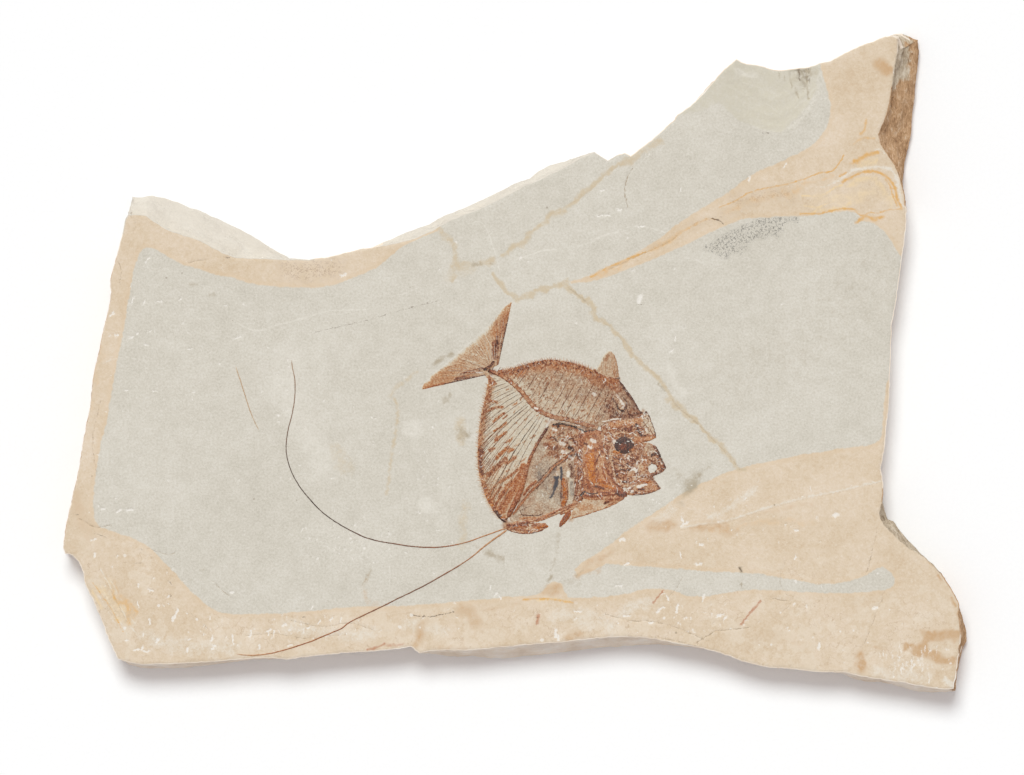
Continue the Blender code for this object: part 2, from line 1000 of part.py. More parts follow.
def with_lead_in(line):
    """The line with a point before its start, so that its groove opens into the pocket."""
    first = Vector(line[0][:2])
    back = (first - Vector(line[1][:2])).normalized() * GROOVE_LEAD_IN
    start = first + back
    return ((start.x, start.y, line[0][2]), *line)


# ---------------------------------------------------------------- films and fins


def build_ribbed_sheet(name, root, margin, ribs, rows, finish, parts, bow=0.0, powers=(1.0, 1.0)):
    """A thin film between two lines with a raised rib for each ray, its tips standing past the margin.

    The bow is how far the last rib bends sideways. The powers crowd the ribs towards the start of each line.
    """
    columns = 2 * ribs + 1
    starts = spaced(root, columns, powers[0])
    ends = spaced(margin, columns, powers[1])
    bm = bmesh.new()
    grid = []
    for i, (start, end) in enumerate(zip(starts, ends)):
        on_rib = i % 2 == 1
        along = (end - start).normalized()
        side = Vector((along.y, -along.x)) * bow * i / (columns - 1)
        if on_rib:
            end = end + along * FRINGE
        column = []
        for j in range(rows + 1):
            share = j / rows
            place = start.lerp(end, share) + side * math.sin(math.pi * share)
            height = SHEET_TOP + (RIB_HEIGHT * (1.0 - RIB_TAPER * share) if on_rib else 0.0)
            column.append(bm.verts.new((place.x, place.y, height)))
        grid.append(column)
    for left, right in zip(grid, grid[1:]):
        for j in range(rows):
            bm.faces.new((left[j], left[j + 1], right[j + 1], right[j]))
    rim = [column[0] for column in grid]
    rim += grid[-1][1:]
    rim += [column[-1] for column in reversed(grid[:-1])]
    rim += reversed(grid[0][1:-1])
    feet = [bm.verts.new((vert.co.x, vert.co.y, FISH_BASE)) for vert in rim]
    for i in range(len(rim)):
        j = (i + 1) % len(rim)
        bm.faces.new((rim[i], rim[j], feet[j], feet[i]))
    bm.faces.new(feet)
    return add_part(name, mesh_from(bm, name), finish, parts)


# ---------------------------------------------------------------- plates of bone


def ridge_height(x, y, ridges):
    """How far the ridges raise the plate here: the highest of them, each round across its width."""
    highest = 0.0
    here = Vector((x, y))
    for (half_width, height), line in ridges:
        for a, b in zip(line, line[1:]):
            start, along = Vector(a), Vector(b) - Vector(a)
            share = min(max((here - start).dot(along) / along.length_squared, 0.0), 1.0)
            away = (here - start - along * share).length / half_width
            if away < 1.0:
                highest = max(highest, height * math.cos(away * math.pi / 2))
    return highest


def build_plate(name, outline, ridges, cell, finish, parts, cutters):
    """A plate of bone in low relief: a ridged block cut to the outline."""
    xs, ys = zip(*outline)
    low_x, low_y = min(xs) - PLATE_MARGIN, min(ys) - PLATE_MARGIN
    width = max(xs) + PLATE_MARGIN - low_x
    depth = max(ys) + PLATE_MARGIN - low_y
    columns, rows = round(width / cell), round(depth / cell)
    bm = bmesh.new()
    bmesh.ops.create_grid(bm, x_segments=columns, y_segments=rows, size=0.5)
    top = bm.faces[:]
    for vert in bm.verts:
        vert.co.x = low_x + (vert.co.x + 0.5) * width
        vert.co.y = low_y + (vert.co.y + 0.5) * depth
        lumps = LUMP_HEIGHT * noise.noise(Vector((vert.co.x, vert.co.y, 0.0)) / LUMP_LENGTH)
        vert.co.z = SHEET_TOP + lumps + ridge_height(vert.co.x, vert.co.y, ridges)
    lower = bmesh.ops.extrude_face_region(bm, geom=top)
    for thing in lower["geom"]:
        if isinstance(thing, bmesh.types.BMVert):
            thing.co.z = POCKET_FLOOR - CUTTER_DEPTH
    plate = add_part(name, mesh_from(bm, name), finish, parts)
    boolean(plate, prism(name + "_outline", outline, FISH_BASE, CUTTER_TOP, cutters), "INTERSECT")
    return plate


def build_eye(parts):
    """A low dark lens in the orbit."""
    bm = bmesh.new()
    around, upwards = EYE_FACETS
    bmesh.ops.create_uvsphere(bm, u_segments=around, v_segments=upwards, radius=1.0)
    bmesh.ops.scale(bm, vec=EYE_RADII, verts=bm.verts[:])
    bmesh.ops.translate(bm, vec=(*EYE_CENTRE, FISH_BASE + EYE_RADII[2]), verts=bm.verts[:])
    return add_part("eye", mesh_from(bm, "eye"), DARK, parts)


def orbit_cutter(cutters):
    """The hole for the eye, an oval a little larger than the eye."""
    outline = []
    for i in range(ORBIT_SIDES):
        turn = 2 * math.pi * i / ORBIT_SIDES
        x = EYE_CENTRE[0] + (EYE_RADII[0] + ORBIT_GAP) * math.cos(turn)
        y = EYE_CENTRE[1] + (EYE_RADII[1] + ORBIT_GAP) * math.sin(turn)
        outline.append((x, y))
    return prism("orbit", outline, POCKET_FLOOR - CUTTER_DEPTH, CUTTER_TOP, cutters)


# ---------------------------------------------------------------- rounded bones


def vertebral_line():
    """The backbone's centre line with two widths for each vertebra: its rim and its waist."""
    count = 2 * VERTEBRAE + 1
    narrow, wide = VERTEBRA_RADIUS
    line = []
    for i, point in enumerate(spaced(BACKBONE, count)):
        rim = narrow + (wide - narrow) * min(1.0, i / count / NARROW_SHARE)
        line.append((point.x, point.y, rim * (WAIST if i % 2 else 1.0)))
    return line


def build_rod(name, line, finish, parts, height=None, flatness=BONE_FLATNESS):
    """A bone along its line, its underside at the fish's base unless a height is given."""
    thickest = max(radius for _, _, radius in line)
    middle = FISH_BASE + thickest * flatness if height is None else height
    rod = rod_curve(name, line, middle, flatness, parts)
    rod.data.materials.append(new_material(name, finish))
    return rod


def build_fish(parts, cutters):
    """Every bone, film and fin of the fish."""
    build_ribbed_sheet("tail_fin", TAIL_ROOT, TAIL_MARGIN, 20, 2, FIN, parts)
    build_ribbed_sheet("upper_flank", FLANK_ROOT, FLANK_MARGIN, 30, 2, FILM, parts, powers=(1.1, 0.9))
    build_ribbed_sheet("dorsal_fin", DORSAL_ROOT, DORSAL_MARGIN, 8, 2, FIN, parts)
    build_ribbed_sheet(
        "fin_support_fan", FAN_ROOT, FAN_MARGIN, 29, 4, FILM, parts, bow=2.2, powers=(0.75, 1.3)
    )
    build_rod("backbone", vertebral_line(), BONE, parts)
    build_rod("belly_strut", BELLY_STRUT, BONE, parts)

    skull = build_plate("skull", SKULL, SKULL_RIDGES, 2.4, BONE, parts, cutters)
    boolean(skull, orbit_cutter(cutters), "DIFFERENCE")
    mouth = prism("mouth_gap", MOUTH_GAP, POCKET_FLOOR - CUTTER_DEPTH, CUTTER_TOP, cutters)
    boolean(skull, mouth, "DIFFERENCE")
    build_eye(parts)
    for name, outline, ridges, cell, finish in (
        ("lower_jaw", LOWER_JAW, JAW_RIDGES, 2.2, BONE),
        ("gill_cover", GILL_COVER, GILL_RIDGES, 2.4, AMBER),
        ("throat", THROAT, THROAT_RIDGES, 2.8, PALE),
        ("shoulder_bone", SHOULDER_BONE, SHOULDER_RIDGES, 2.4, BONE),
        ("abdomen", ABDOMEN, ABDOMEN_RIDGES, 2.9, FILM),
        ("belly_keel", BELLY_KEEL, KEEL_RIDGES, 2.4, BONE),
        ("pelvic_spine", PELVIC_SPINE, SPINE_RIDGES, 2.2, AMBER),
    ):
        build_plate(name, outline, ridges, cell, finish, parts, cutters)

    for name, line in (
        ("pelvic_ray_upper", PELVIC_RAY_UPPER),
        ("pelvic_ray_lower", PELVIC_RAY_LOWER),
        ("ray_fragment", RAY_FRAGMENT),
    ):
        build_rod(name, line, RAY, parts, height=SLAB_TOP, flatness=1.0)


def main():
    clear_scene()
    parts = new_collection("fossil_fish_slab")
    cutters = new_collection("cutters")
    build_slab(parts, cutters)
    build_fish(parts, cutters)


main()
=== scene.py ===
"""Looks of a fossil fish slab: a moonfish in the split face of a broken limestone plate.

Every visible piece is a mesh made here from outlines, centre lines and marks, all in
millimetres seen from above, and stands for the CAD node of the same part. Colour comes from node
materials that read per-point values: how strongly stained the bone is, how warm, how pale.
"""

import logging  # noqa: E402
import math  # noqa: E402
from dataclasses import dataclass, field  # noqa: E402
from enum import Enum  # noqa: E402
from typing import Callable, Optional, Sequence, Union  # noqa: E402

import bpy  # noqa: E402
import numpy as np  # noqa: E402
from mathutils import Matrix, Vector, geometry, noise  # noqa: E402


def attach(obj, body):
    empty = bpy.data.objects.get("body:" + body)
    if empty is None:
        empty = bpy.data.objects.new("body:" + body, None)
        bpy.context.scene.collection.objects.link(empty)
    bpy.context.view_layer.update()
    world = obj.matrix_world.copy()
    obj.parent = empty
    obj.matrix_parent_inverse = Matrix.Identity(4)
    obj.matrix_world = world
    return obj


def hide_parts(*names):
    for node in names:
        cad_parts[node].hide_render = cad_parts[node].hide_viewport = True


logging.basicConfig(level=logging.INFO, format="%(message)s")
log = logging.getLogger("fossil")

MM = 0.001
SEED = 41
SLAB_TOP = 24.0
FILM_BASE = SLAB_TOP + 0.05
SUNK = SLAB_TOP - 0.25

Line = Sequence[Sequence[float]]
Marks = Sequence[Sequence[float]]
Range = tuple[float, float]
Levels = tuple[float, float, float]
Stops = tuple[tuple[float, Levels], ...]


for leftover in [bpy.data.objects.get(name) for name in ("Cube", "Light", "Camera")]:
    if leftover:
        bpy.data.objects.remove(leftover, do_unlink=True)
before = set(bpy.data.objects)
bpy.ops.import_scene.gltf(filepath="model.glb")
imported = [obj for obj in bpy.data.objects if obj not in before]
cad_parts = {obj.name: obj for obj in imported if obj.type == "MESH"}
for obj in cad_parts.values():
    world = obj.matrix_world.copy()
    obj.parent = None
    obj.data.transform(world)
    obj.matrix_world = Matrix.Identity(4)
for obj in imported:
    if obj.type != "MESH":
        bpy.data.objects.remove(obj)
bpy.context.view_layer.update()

# ------------------------------------------------------------------ shapes
# A slab edge row of two numbers is a place where the flat top reaches the edge. A row of four is one
# where the edge slopes: the outermost place, and then the place where the flat top ends.

SLAB_EDGE = (
    (-257, 112, -258.4, 98.8), (-250, 112, -252.5, 98.8), (-243, 112.2, -246.5, 98.2),
    (-235, 110.6, -240, 93.4), (-226, 108, -231, 88.2), (-217, 104.2, -223, 85.6),
    (-207, 100.6, -213.5, 82.8), (-197, 96.4, -205, 78.8), (-186, 91, -197, 74.2), (-175, 84.8, -188, 70.4),
    (-165, 78.6, -176, 69.6), (-157, 73.4, -164.5, 69.4), (-151.5, 70, -154, 68.8), (-146, 69.2),
    (-138, 68.6), (-130, 69.8), (-122, 71.2), (-113, 73.4), (-104, 75.8), (-96, 77.4, -96, 76.4),
    (-88, 81.2, -87, 78.4), (-78, 85.4, -76, 81), (-68, 89.6, -66, 83.6), (-58, 92.8, -55.4, 88.4),
    (-48, 98.4, -45.6, 94.2), (-37, 103, -34.4, 98.8), (-26, 107.6, -23.6, 103), (-15, 113, -12.6, 108.4),
    (-5, 118.2, -2, 114), (3, 121.8, 6, 118.2), (9, 123.6, 12, 120.6), (15, 128.4, 18.4, 123.4),
    (22, 132.2, 25.6, 127), (32, 134.8, 34.6, 131.6), (43, 138.2, 43.6, 136.6), (52.5, 141, 52.5, 140),
    (57, 137), (61.5, 134.4), (67, 138), (72.5, 139.8), (76.5, 137.4), (82, 142), (90, 148), (99, 156),
    (106, 162), (107.4, 165.2), (116, 171), (124, 178.4), (131, 186.8), (139, 195.6), (147, 202.4),
    (154, 199), (162, 198.4), (169, 196), (175, 194.8), (185, 196), (195, 197), (202, 199.6), (210, 201.4),
    (219, 206.2), (227, 210.2), (236, 213.4), (246, 217.6), (252.5, 219.8, 250.6, 217.8),
    (258, 221, 254.6, 216.4), (264, 218.8, 254.6, 212.6), (269.8, 216.6, 254.6, 208.4),
    (270.8, 209, 254, 203.4), (269.8, 199, 252.6, 196.6), (268.4, 189, 251.4, 188),
    (267.2, 179, 250.2, 179), (266, 169, 248.4, 169.6), (265.4, 160.6, 245.6, 160.4),
    (265.8, 153, 241.8, 152), (264, 145, 243.2, 145.6), (261.8, 137.4, 247.8, 139),
    (260.2, 129.6, 252.8, 131.6), (259.2, 121, 256.6, 122.4), (259, 112), (260.3, 101), (260, 90),
    (258.8, 80), (257.6, 70), (256, 60), (254.6, 49), (252.6, 36), (250.4, 25), (250.2, 14), (249.6, 2),
    (249.2, -10), (248.9, -22), (248.2, -33), (246.8, -43), (246, -54), (245, -61), (243.2, -70),
    (244.4, -78), (245.9, -86, 245, -86.4), (245.6, -93, 244, -94), (247.2, -99, 242.4, -100.2),
    (248.9, -104.6, 243.4, -104), (252.8, -105.6, 245.8, -108), (256.4, -110.8, 250, -112.6),
    (261.4, -117, 255.8, -118.4), (267, -123.2, 262.6, -123.8), (272, -129), (278, -134.8), (283.6, -140.8),
    (288, -147.4), (292, -153.8), (295.6, -161), (298.2, -168, 295.4, -169), (300.4, -175, 296.2, -175.6),
    (302, -180.6, 296.8, -181.2), (301.4, -186.4, 296.2, -187), (298.4, -192.4, 295.4, -193),
    (296.8, -200, 294.4, -200.4), (295.6, -209, 293.4, -209), (293.8, -219.4, 291.6, -217.6),
    (287, -220.8, 285.6, -217.8), (279, -221, 277.4, -217), (269, -220.8, 267.4, -215.4),
    (260, -218.4, 259, -213.6), (251, -215.8, 250, -212.6), (242, -213.8, 241.4, -211),
    (233, -213.6, 232.8, -209.8), (226, -211.8, 226, -208.4), (218.6, -208, 218.6, -206.6), (209, -206.6),
    (199, -206.2), (189, -205), (179, -204), (169, -203.4), (160, -201.8), (151, -199.2), (143, -196),
    (134, -193.2), (125, -191.4, 125, -190.8), (115, -190.2, 115, -188.8), (105, -189.4, 105, -187),
    (95, -189.2, 95, -184.8), (84, -189.6, 84, -183.4), (72, -190.2, 72, -183), (60, -191, 60, -183.4),
    (48, -192, 48, -184.6), (36, -193.4, 36, -186), (24, -195, 24, -187), (12, -196.6, 12, -188),
    (0, -197.8, 0, -189.2), (-11, -198.7, -11, -190.2), (-21, -198.6, -21, -191), (-29, -197, -29, -191.8),
    (-39, -197.4, -39, -192), (-49, -196.4, -49, -191.8), (-58, -195.2, -57.6, -192.6), (-64.5, -194),
    (-70, -189.8), (-78, -191), (-88, -192), (-99, -192.8), (-110, -193.4), (-121, -194.4), (-132, -195.4),
    (-143, -196.8), (-153, -198), (-163, -198.5, -163, -197), (-173, -198.6, -173, -197.2),
    (-184, -200.2, -184, -198), (-195, -201.6, -195, -199), (-206, -202.6, -206, -199.8),
    (-217, -204, -217, -200.4), (-229, -204.7, -229, -201), (-241, -204.9, -241, -201.4),
    (-251, -204.6, -250.6, -201.6), (-259, -202.2, -258, -200), (-265.6, -197.8), (-269.4, -189.6),
    (-273.2, -180.4), (-276.6, -171), (-280.4, -162.4), (-284.4, -154), (-287.8, -146.2), (-288.6, -140),
    (-291.8, -132.6), (-295.8, -128.6), (-300.6, -127.4), (-302, -123.6), (-301, -115), (-299.8, -106.4),
    (-297.4, -97), (-295.6, -88), (-293, -78), (-291, -68), (-289.6, -58), (-287.8, -48), (-285.8, -38),
    (-283.6, -27), (-282.6, -14), (-281.2, -5), (-278.6, 5), (-276.4, 16), (-274, 27), (-271.2, 38),
    (-270, 47), (-271, 54.4), (-268.8, 62), (-266, 72), (-263.4, 82), (-260.8, 94),
    (-258.8, 104, -259.4, 97.6),
)

# Centre lines: x, y and, but for the backbone, half width.
BACKBONE = (
    (-13, -7.2), (-9, -9.3), (-4.5, -12.3), (0, -16), (4.5, -20.5), (8.5, -25.5), (12, -29.5), (16, -32.5),
    (21, -35), (27, -36.8), (34, -38), (41, -39.8), (48, -42), (54.5, -43.8),
)
BELLY_STRUT = (
    (21.8, -42.6, 0.8), (18, -48, 1), (14.9, -53, 1.1), (12, -58.4, 1.1), (9.5, -64, 1.2), (7.5, -70, 1.3),
    (6, -76, 1.5), (4.4, -82, 1.7), (2, -88, 1.9), (-1, -94, 2.1), (-4, -100, 1.7), (-5.8, -103.6, 1),
)
PELVIC_RAY_UPPER = (
    (-9.4, -111.4, 0.6), (-15, -113.4, 0.6), (-22, -115.9, 0.55), (-31, -119.2, 0.55), (-40, -121.5, 0.5),
    (-50, -123, 0.5), (-60, -123.2, 0.5), (-71, -122.4, 0.5), (-81, -120.8, 0.5), (-91, -119.2, 0.5),
    (-101, -116.4, 0.5), (-111, -111.6, 0.5), (-121, -105.8, 0.5), (-130, -99, 0.5), (-138, -90.6, 0.5),
    (-145, -81.6, 0.45), (-150.2, -71.6, 0.45), (-152.8, -62.4, 0.45), (-153.2, -54, 0.45),
    (-151.8, -44.4, 0.45), (-149.4, -35, 0.45), (-147.6, -24, 0.45), (-147.4, -12, 0.45), (-149, -4, 0.4),
    (-149.6, 1.4, 0.4),
)
PELVIC_RAY_LOWER = (
    (-8.2, -113.2, 0.75), (-15, -118, 0.75), (-21.8, -123.2, 0.7), (-30, -130, 0.5), (-40, -136.6, 0.5),
    (-51, -143, 0.5), (-62, -149.2, 0.5), (-78, -157, 0.5), (-90, -163, 0.5), (-101, -168.2, 0.5),
    (-111, -173.2, 0.45), (-117, -177.6, 0.45), (-127, -181.8, 0.45), (-138, -186.4, 0.45),
    (-151, -190.6, 0.45), (-163, -193.8, 0.45), (-175, -195.2, 0.45), (-186, -194.6, 0.4),
)
RAY_FRAGMENT = (
    (-187, -2.4, 0.4), (-183.6, -12.4, 0.45), (-180, -24, 0.45), (-176.2, -35, 0.4), (-171.4, -45.4, 0.35),
)

# Films: where their rays start, and where they end.
TAIL_ROOT = (
    (-20.5, -8.3), (-17.6, -5.4), (-14.8, -3), (-11.9, -1.4),
)
TAIL_EDGE = (
    (-63.4, -18.2), (-61, -13.4), (-54.4, -6.8), (-47.4, -1), (-40.4, 5.2), (-33.4, 11.2), (-27, 17),
    (-21.4, 21.8), (-15.8, 28.6), (-9.4, 35.6), (-2.6, 40.8),
)
TAIL_MARGIN = (
    (-63, -18), (-60, -14), (-53, -8.2), (-46, -2.4), (-39, 3.8), (-32, 9.8), (-25.6, 15.6), (-20, 20.4),
    (-14.6, 27.4), (-8.6, 34.6), (-2.4, 40.4),
)
FLANK_ROOT = (
    (-10.6, -5.8), (-7.7, -7.4), (-3, -10.4), (1.6, -14.2), (6.3, -18.9), (10.4, -23.9), (13.7, -27.6),
    (17.3, -30.3), (21.9, -32.6), (27.4, -34.3), (34.6, -35.5), (41.7, -37.3), (48.7, -39.5), (55, -40.8),
    (63, -39), (72, -37.6), (79, -36.4), (82.6, -34.4),
)
FLANK_MARGIN = (
    (-10.3, -4.9), (-5, -4.7), (1, -2.9), (8, -0.7), (15, 1.1), (22, 2), (28, 1.6), (35, 0.4), (42, -1.3),
    (48, -3.6), (54, -7), (60, -9.9), (67.8, -11.2), (71, -14.6), (74, -18.6), (77, -22.6), (80, -27.6),
    (83, -33),
)
DORSAL_ROOT = (
    (53.8, -5.6), (57, -7.4), (60.5, -8.8), (64, -9.4), (68.6, -10.1),
)
DORSAL_MARGIN = (
    (53.4, -5), (55.5, -1.8), (57, 2), (59, 5.4), (61.5, 7.5), (63.6, 7.1), (65.5, 5), (66.8, 1.5),
    (67.8, -3), (68.7, -9.6),
)
FAN_ROOT = (
    (-17.4, -9.6), (-14.2, -10.2), (-10.3, -11.6), (-5.9, -14.4), (-1.7, -18), (2.6, -22.4), (6.6, -27.4),
    (10.3, -31.4), (14.7, -34.7), (20, -37.4),
)
FAN_MARGIN = (
    (-18.4, -10.6), (-19, -17), (-20.5, -24), (-22.3, -31), (-23.7, -38), (-24.8, -46), (-25.4, -54),
    (-25.8, -62), (-25.3, -70), (-24.1, -77), (-22.3, -84), (-19.7, -91), (-16.4, -97), (-12.4, -102.4),
    (-8.6, -106.4),
)

# Outlines of the bones.
SKULL = (
    (56.8, -42.8), (63, -40.3), (72, -38.8), (80, -37.6), (83.8, -34.9), (86.8, -32.5), (88.8, -35.6),
    (91, -41), (92.6, -46), (93.3, -50), (90, -51.8), (85.4, -53.2), (90, -54.2), (93, -55.4), (95.5, -60),
    (97.2, -64.4), (100, -70), (98, -72.8), (94.6, -74.4), (91.4, -75.6), (88, -75.8), (82, -76.9),
    (77, -79.4), (73.6, -83.2), (70.8, -83.8), (67.3, -80.3), (64, -74.8), (61.5, -68.4), (59.7, -61.4),
    (58.1, -53.6), (57, -47),
)
MOUTH_GAP = (
    (88.4, -69.4), (90.6, -67.4), (93.4, -68.6), (94, -70.6), (92, -73), (89.6, -73.8), (88.2, -72),
)
LOWER_JAW = (
    (74.4, -85), (78, -81.2), (82.6, -78.5), (88.2, -77.3), (91, -77.6), (93.6, -80), (95.4, -82.4),
    (96.6, -84.2), (92, -86.2), (86, -87.8), (79, -88.6), (74.6, -88.4),
)
GILL_COVER = (
    (46.3, -47), (51, -46.6), (55.4, -47), (56.6, -54), (58.2, -62), (60, -69), (62.6, -75.6), (66, -81.4),
    (70.2, -85.6), (72.8, -87.6), (72.4, -89.6), (66, -89.8), (58, -90), (50, -90.2), (46.4, -89.6),
    (45.9, -84), (46.1, -74), (45.8, -64), (45.5, -54),
)
THROAT = (
    (44.8, -91), (51, -91.3), (59, -91.1), (66, -91), (71.5, -91.3), (67, -94), (61, -96.8), (54, -99),
    (47, -101.6), (41, -103.2), (37.6, -104), (38.7, -100.4), (41.1, -96.6), (43.4, -93.2),
)
SHOULDER_BONE = (
    (41.4, -45.6), (44.9, -46.6), (44.3, -54), (44.6, -64), (44.9, -74), (44.6, -84), (43.6, -90),
    (41.2, -91), (40.5, -84), (40.3, -74), (39.9, -64), (40.2, -54),
)
ABDOMEN = (
    (23.8, -40.6), (30, -41), (37, -42.2), (40.3, -43.8), (39.2, -48), (39, -56), (38.9, -66), (39.2, -76),
    (39.4, -86), (38.4, -92.2), (33, -95), (26, -98.1), (18, -101.3), (9, -103.7), (0, -105.3),
    (-2.6, -104.6), (0.8, -99.6), (3.8, -93.6), (6.2, -87), (7.8, -80.4), (9.2, -74), (11, -67),
    (13.6, -60.4), (16.9, -54.4), (20.2, -48.8), (22.8, -44.4),
)
BELLY_KEEL = (
    (-6, -107.9), (0, -107.3), (9, -105.7), (18, -103.2), (26, -100), (33, -96.8), (38.8, -93.9),
    (40.6, -93.8), (40.2, -95), (34, -98), (27, -101.4), (19, -104.8), (12, -106.9), (19.6, -107.2),
    (21.6, -109.6), (17, -112.2), (10, -114.1), (2, -114), (-4, -112.4), (-7.8, -110.2),
)
PELVIC_SPINE = (
    (28.7, -109.4), (29.6, -106), (32, -102.2), (34.6, -99.6), (36.4, -99.4), (36.6, -101.4), (35, -104.4),
    (32.4, -107.4), (30, -109.3),
)

# ------------------------------------------------------------------ marks on the stone
# The edge of the grey heart of the stone. Outside it the rim is cream.
GREY_HEART = (
    (-270, -22), (-267, -5), (-262, 20), (-258.5, 42), (-257, 50), (-255, 62), (-251, 73), (-247, 77),
    (-241, 76), (-234, 72), (-228, 68), (-221, 65), (-210, 62), (-200, 58.5), (-190, 57), (-180, 53.5),
    (-170, 51.5), (-158, 50.5), (-145, 50), (-132, 50), (-120, 52), (-110, 56), (-100, 60), (-92, 64),
    (-85, 70), (-78, 76), (-62, 84), (-52, 88), (-40, 112), (0, 150), (100, 200), (150, 230), (203, 230),
    (203, 197), (205, 190), (208, 180), (210, 170), (208, 158), (203, 150), (195, 143), (185, 138),
    (175, 133), (160, 127), (150, 120), (142.7, 114), (127.3, 104.7), (115, 97.1), (105.7, 90.9),
    (96.5, 83.2), (84.2, 75.5), (73.5, 69.4), (60, 63.5), (48.8, 57.8), (36, 54.2), (36, 52.8), (50.3, 54),
    (62, 57.6), (73.4, 61.7), (88.8, 67.8), (99.6, 72.4), (115, 79.3), (130.4, 87.1), (142.7, 92.6),
    (150, 95.6), (165, 97), (180, 97.5), (195, 98), (205, 100), (220, 101), (228, 100), (230, 95),
    (238, 93), (245, 88), (250, 82), (255, 72), (275, 60), (275, 0), (256, -8), (247.4, -12), (245, -30),
    (244, -50), (240, -54), (235, -55.5), (220, -57), (205, -59.5), (190, -61.5), (180, -64), (168, -66),
    (155, -69), (140, -73.5), (125, -80), (110, -88), (100, -95), (88, -103), (75, -111), (66, -119),
    (55, -127), (44.2, -133.2), (39.4, -138), (41, -142.8), (49, -139.7), (60.2, -134), (75, -135.4),
    (90, -136), (110, -137.5), (130, -139.5), (150, -140), (160, -140.5), (175, -143), (190, -145.5),
    (200, -147.5), (212, -147.5), (225, -145), (233, -142), (240, -137.5), (244, -136), (250, -140),
    (253, -145), (252, -149), (246, -151.5), (235, -153), (220, -154), (205, -153.5), (190, -153),
    (175, -152), (160, -151.5), (150, -152), (140, -153.5), (128, -156), (115, -156), (105, -152),
    (100, -151), (85, -151), (75, -154), (60, -156.5), (45, -157), (34.4, -156.6), (32, -152),
    (30.6, -147.4), (25, -146), (20.6, -148.6), (18.4, -152.4), (12.6, -155.6), (0, -156), (-10, -156.5),
    (-20, -158), (-40, -159.5), (-50, -160.5), (-70, -162), (-90, -162.5), (-110, -163), (-120, -164),
    (-130, -165), (-140, -166), (-150, -166.5), (-160, -167.5), (-175, -167.5), (-188, -168),
    (-198, -166.5), (-205, -163), (-212, -157), (-219, -150), (-226, -142), (-233, -135), (-240, -127),
    (-248, -121), (-258, -116), (-268, -113), (-277, -110), (-281, -105), (-282, -95), (-281, -80),
    (-279, -65), (-276, -50), (-273, -40),
)

# Inside this the face has lost a thin flake and is yellower.
SCAR = (
    (106, 163), (126, 167), (135, 172), (147, 160), (156, 157), (165, 154), (177, 151.5), (186, 160),
    (195, 169), (202, 182), (204, 200), (180, 230), (140, 230), (100, 200),
)

# Half width in mm and strength, then x, y, x, y ... along the mark.
CRACKS = (
    (0.6, 0.6, 62, 62, 73, 67, 82, 71.4, 92, 75.6, 103, 81, 109, 86),
    (0.3, 0.6, -257, 98, -254, 92, -255, 86), (0.35, 0.7, -268, 71, -263.4, 63, -264, 52),
    (0.5, 0.3, -52, 90, -43, 80, -40, 70, -40, 62, -42, 52),
    (0.5, 0.3, -17, 60, -13, 54, -10, 50, -4, 45, 0, 41),
    (0.5, 0.35, -10, 72, 5, 83, 12, 90, 20, 97, 35, 105, 48, 113, 60, 125, 70, 131),
    (0.4, 1, 78.3, 130.7, 73.5, 121.1, 72.7, 111.5, 75.1, 102),
    (0.5, 0.5, 32, 52, 45, 42, 55, 30, 68, 18, 75, 8, 85, -2, 96, -12, 106, -27, 115, -36, 125, -45, 135,
        -55), (0.6, 0.6, 104, -25, 108, -30, 118, -38, 127, -47, 135, -55, 145, -66, 150, -72),
    # The next row is the mended crack at the lower right: partly its own dark line, partly painted shadow
    # under the ridge whose lit upper edge is painted pale just above it.
    (0.4, 0.45, 110, -112, 125, -109, 140, -107, 165, -99, 190, -92, 215, -87, 243, -80),
    (0.35, 0.8, 241, -110, 238, -124, 234, -140), (0.35, 0.7, 246, -152, 240, -168, 231, -190),
    (0.4, 0.9, 120, -187, 128, -182, 135, -179, 155, -177), (0.4, 0.8, 170, -157, 178, -158.6, 185, -159),
    (0.4, 0.6, 186, -154, 182, -162, 176, -168), (0.5, 0.25, 0, 41, 14, 43, 24, 49, 32, 52),
    (0.4, 0.8, 60, -168, 76, -172, 92, -173, 110, -178, 128, -186),
    (0.3, 0.6, -274, -146, -265, -162, -257, -178),
    (0.4, 0.8, 90.5, -182.8, 102, -184.6, 114.5, -187.6, 135.3, -194, 150, -199),
    (0.35, 0.8, -277, -26, -282, -50, -280, -74), (0.4, 0.8, -291, -104, -280, -110, -270, -108),
    (0.35, 0.7, -246, -124, -232, -128, -226, -126), (0.35, 0.8, -202, -146, -196, -152, -188, -158),
    (0.35, 0.7, -150, -172, -130, -176, -112, -174, -96, -178),
    (0.35, 0.8, -180, -182, -160, -181, -140, -184, -118, -182),
    (0.35, 0.7, 112, -142, 106, -152, 100, -158), (0.4, 0.8, -218, 66.5, -213, 67.8, -207, 68),
    (0.35, 0.6, 180, -132, 176, -146, 182, -158),
)
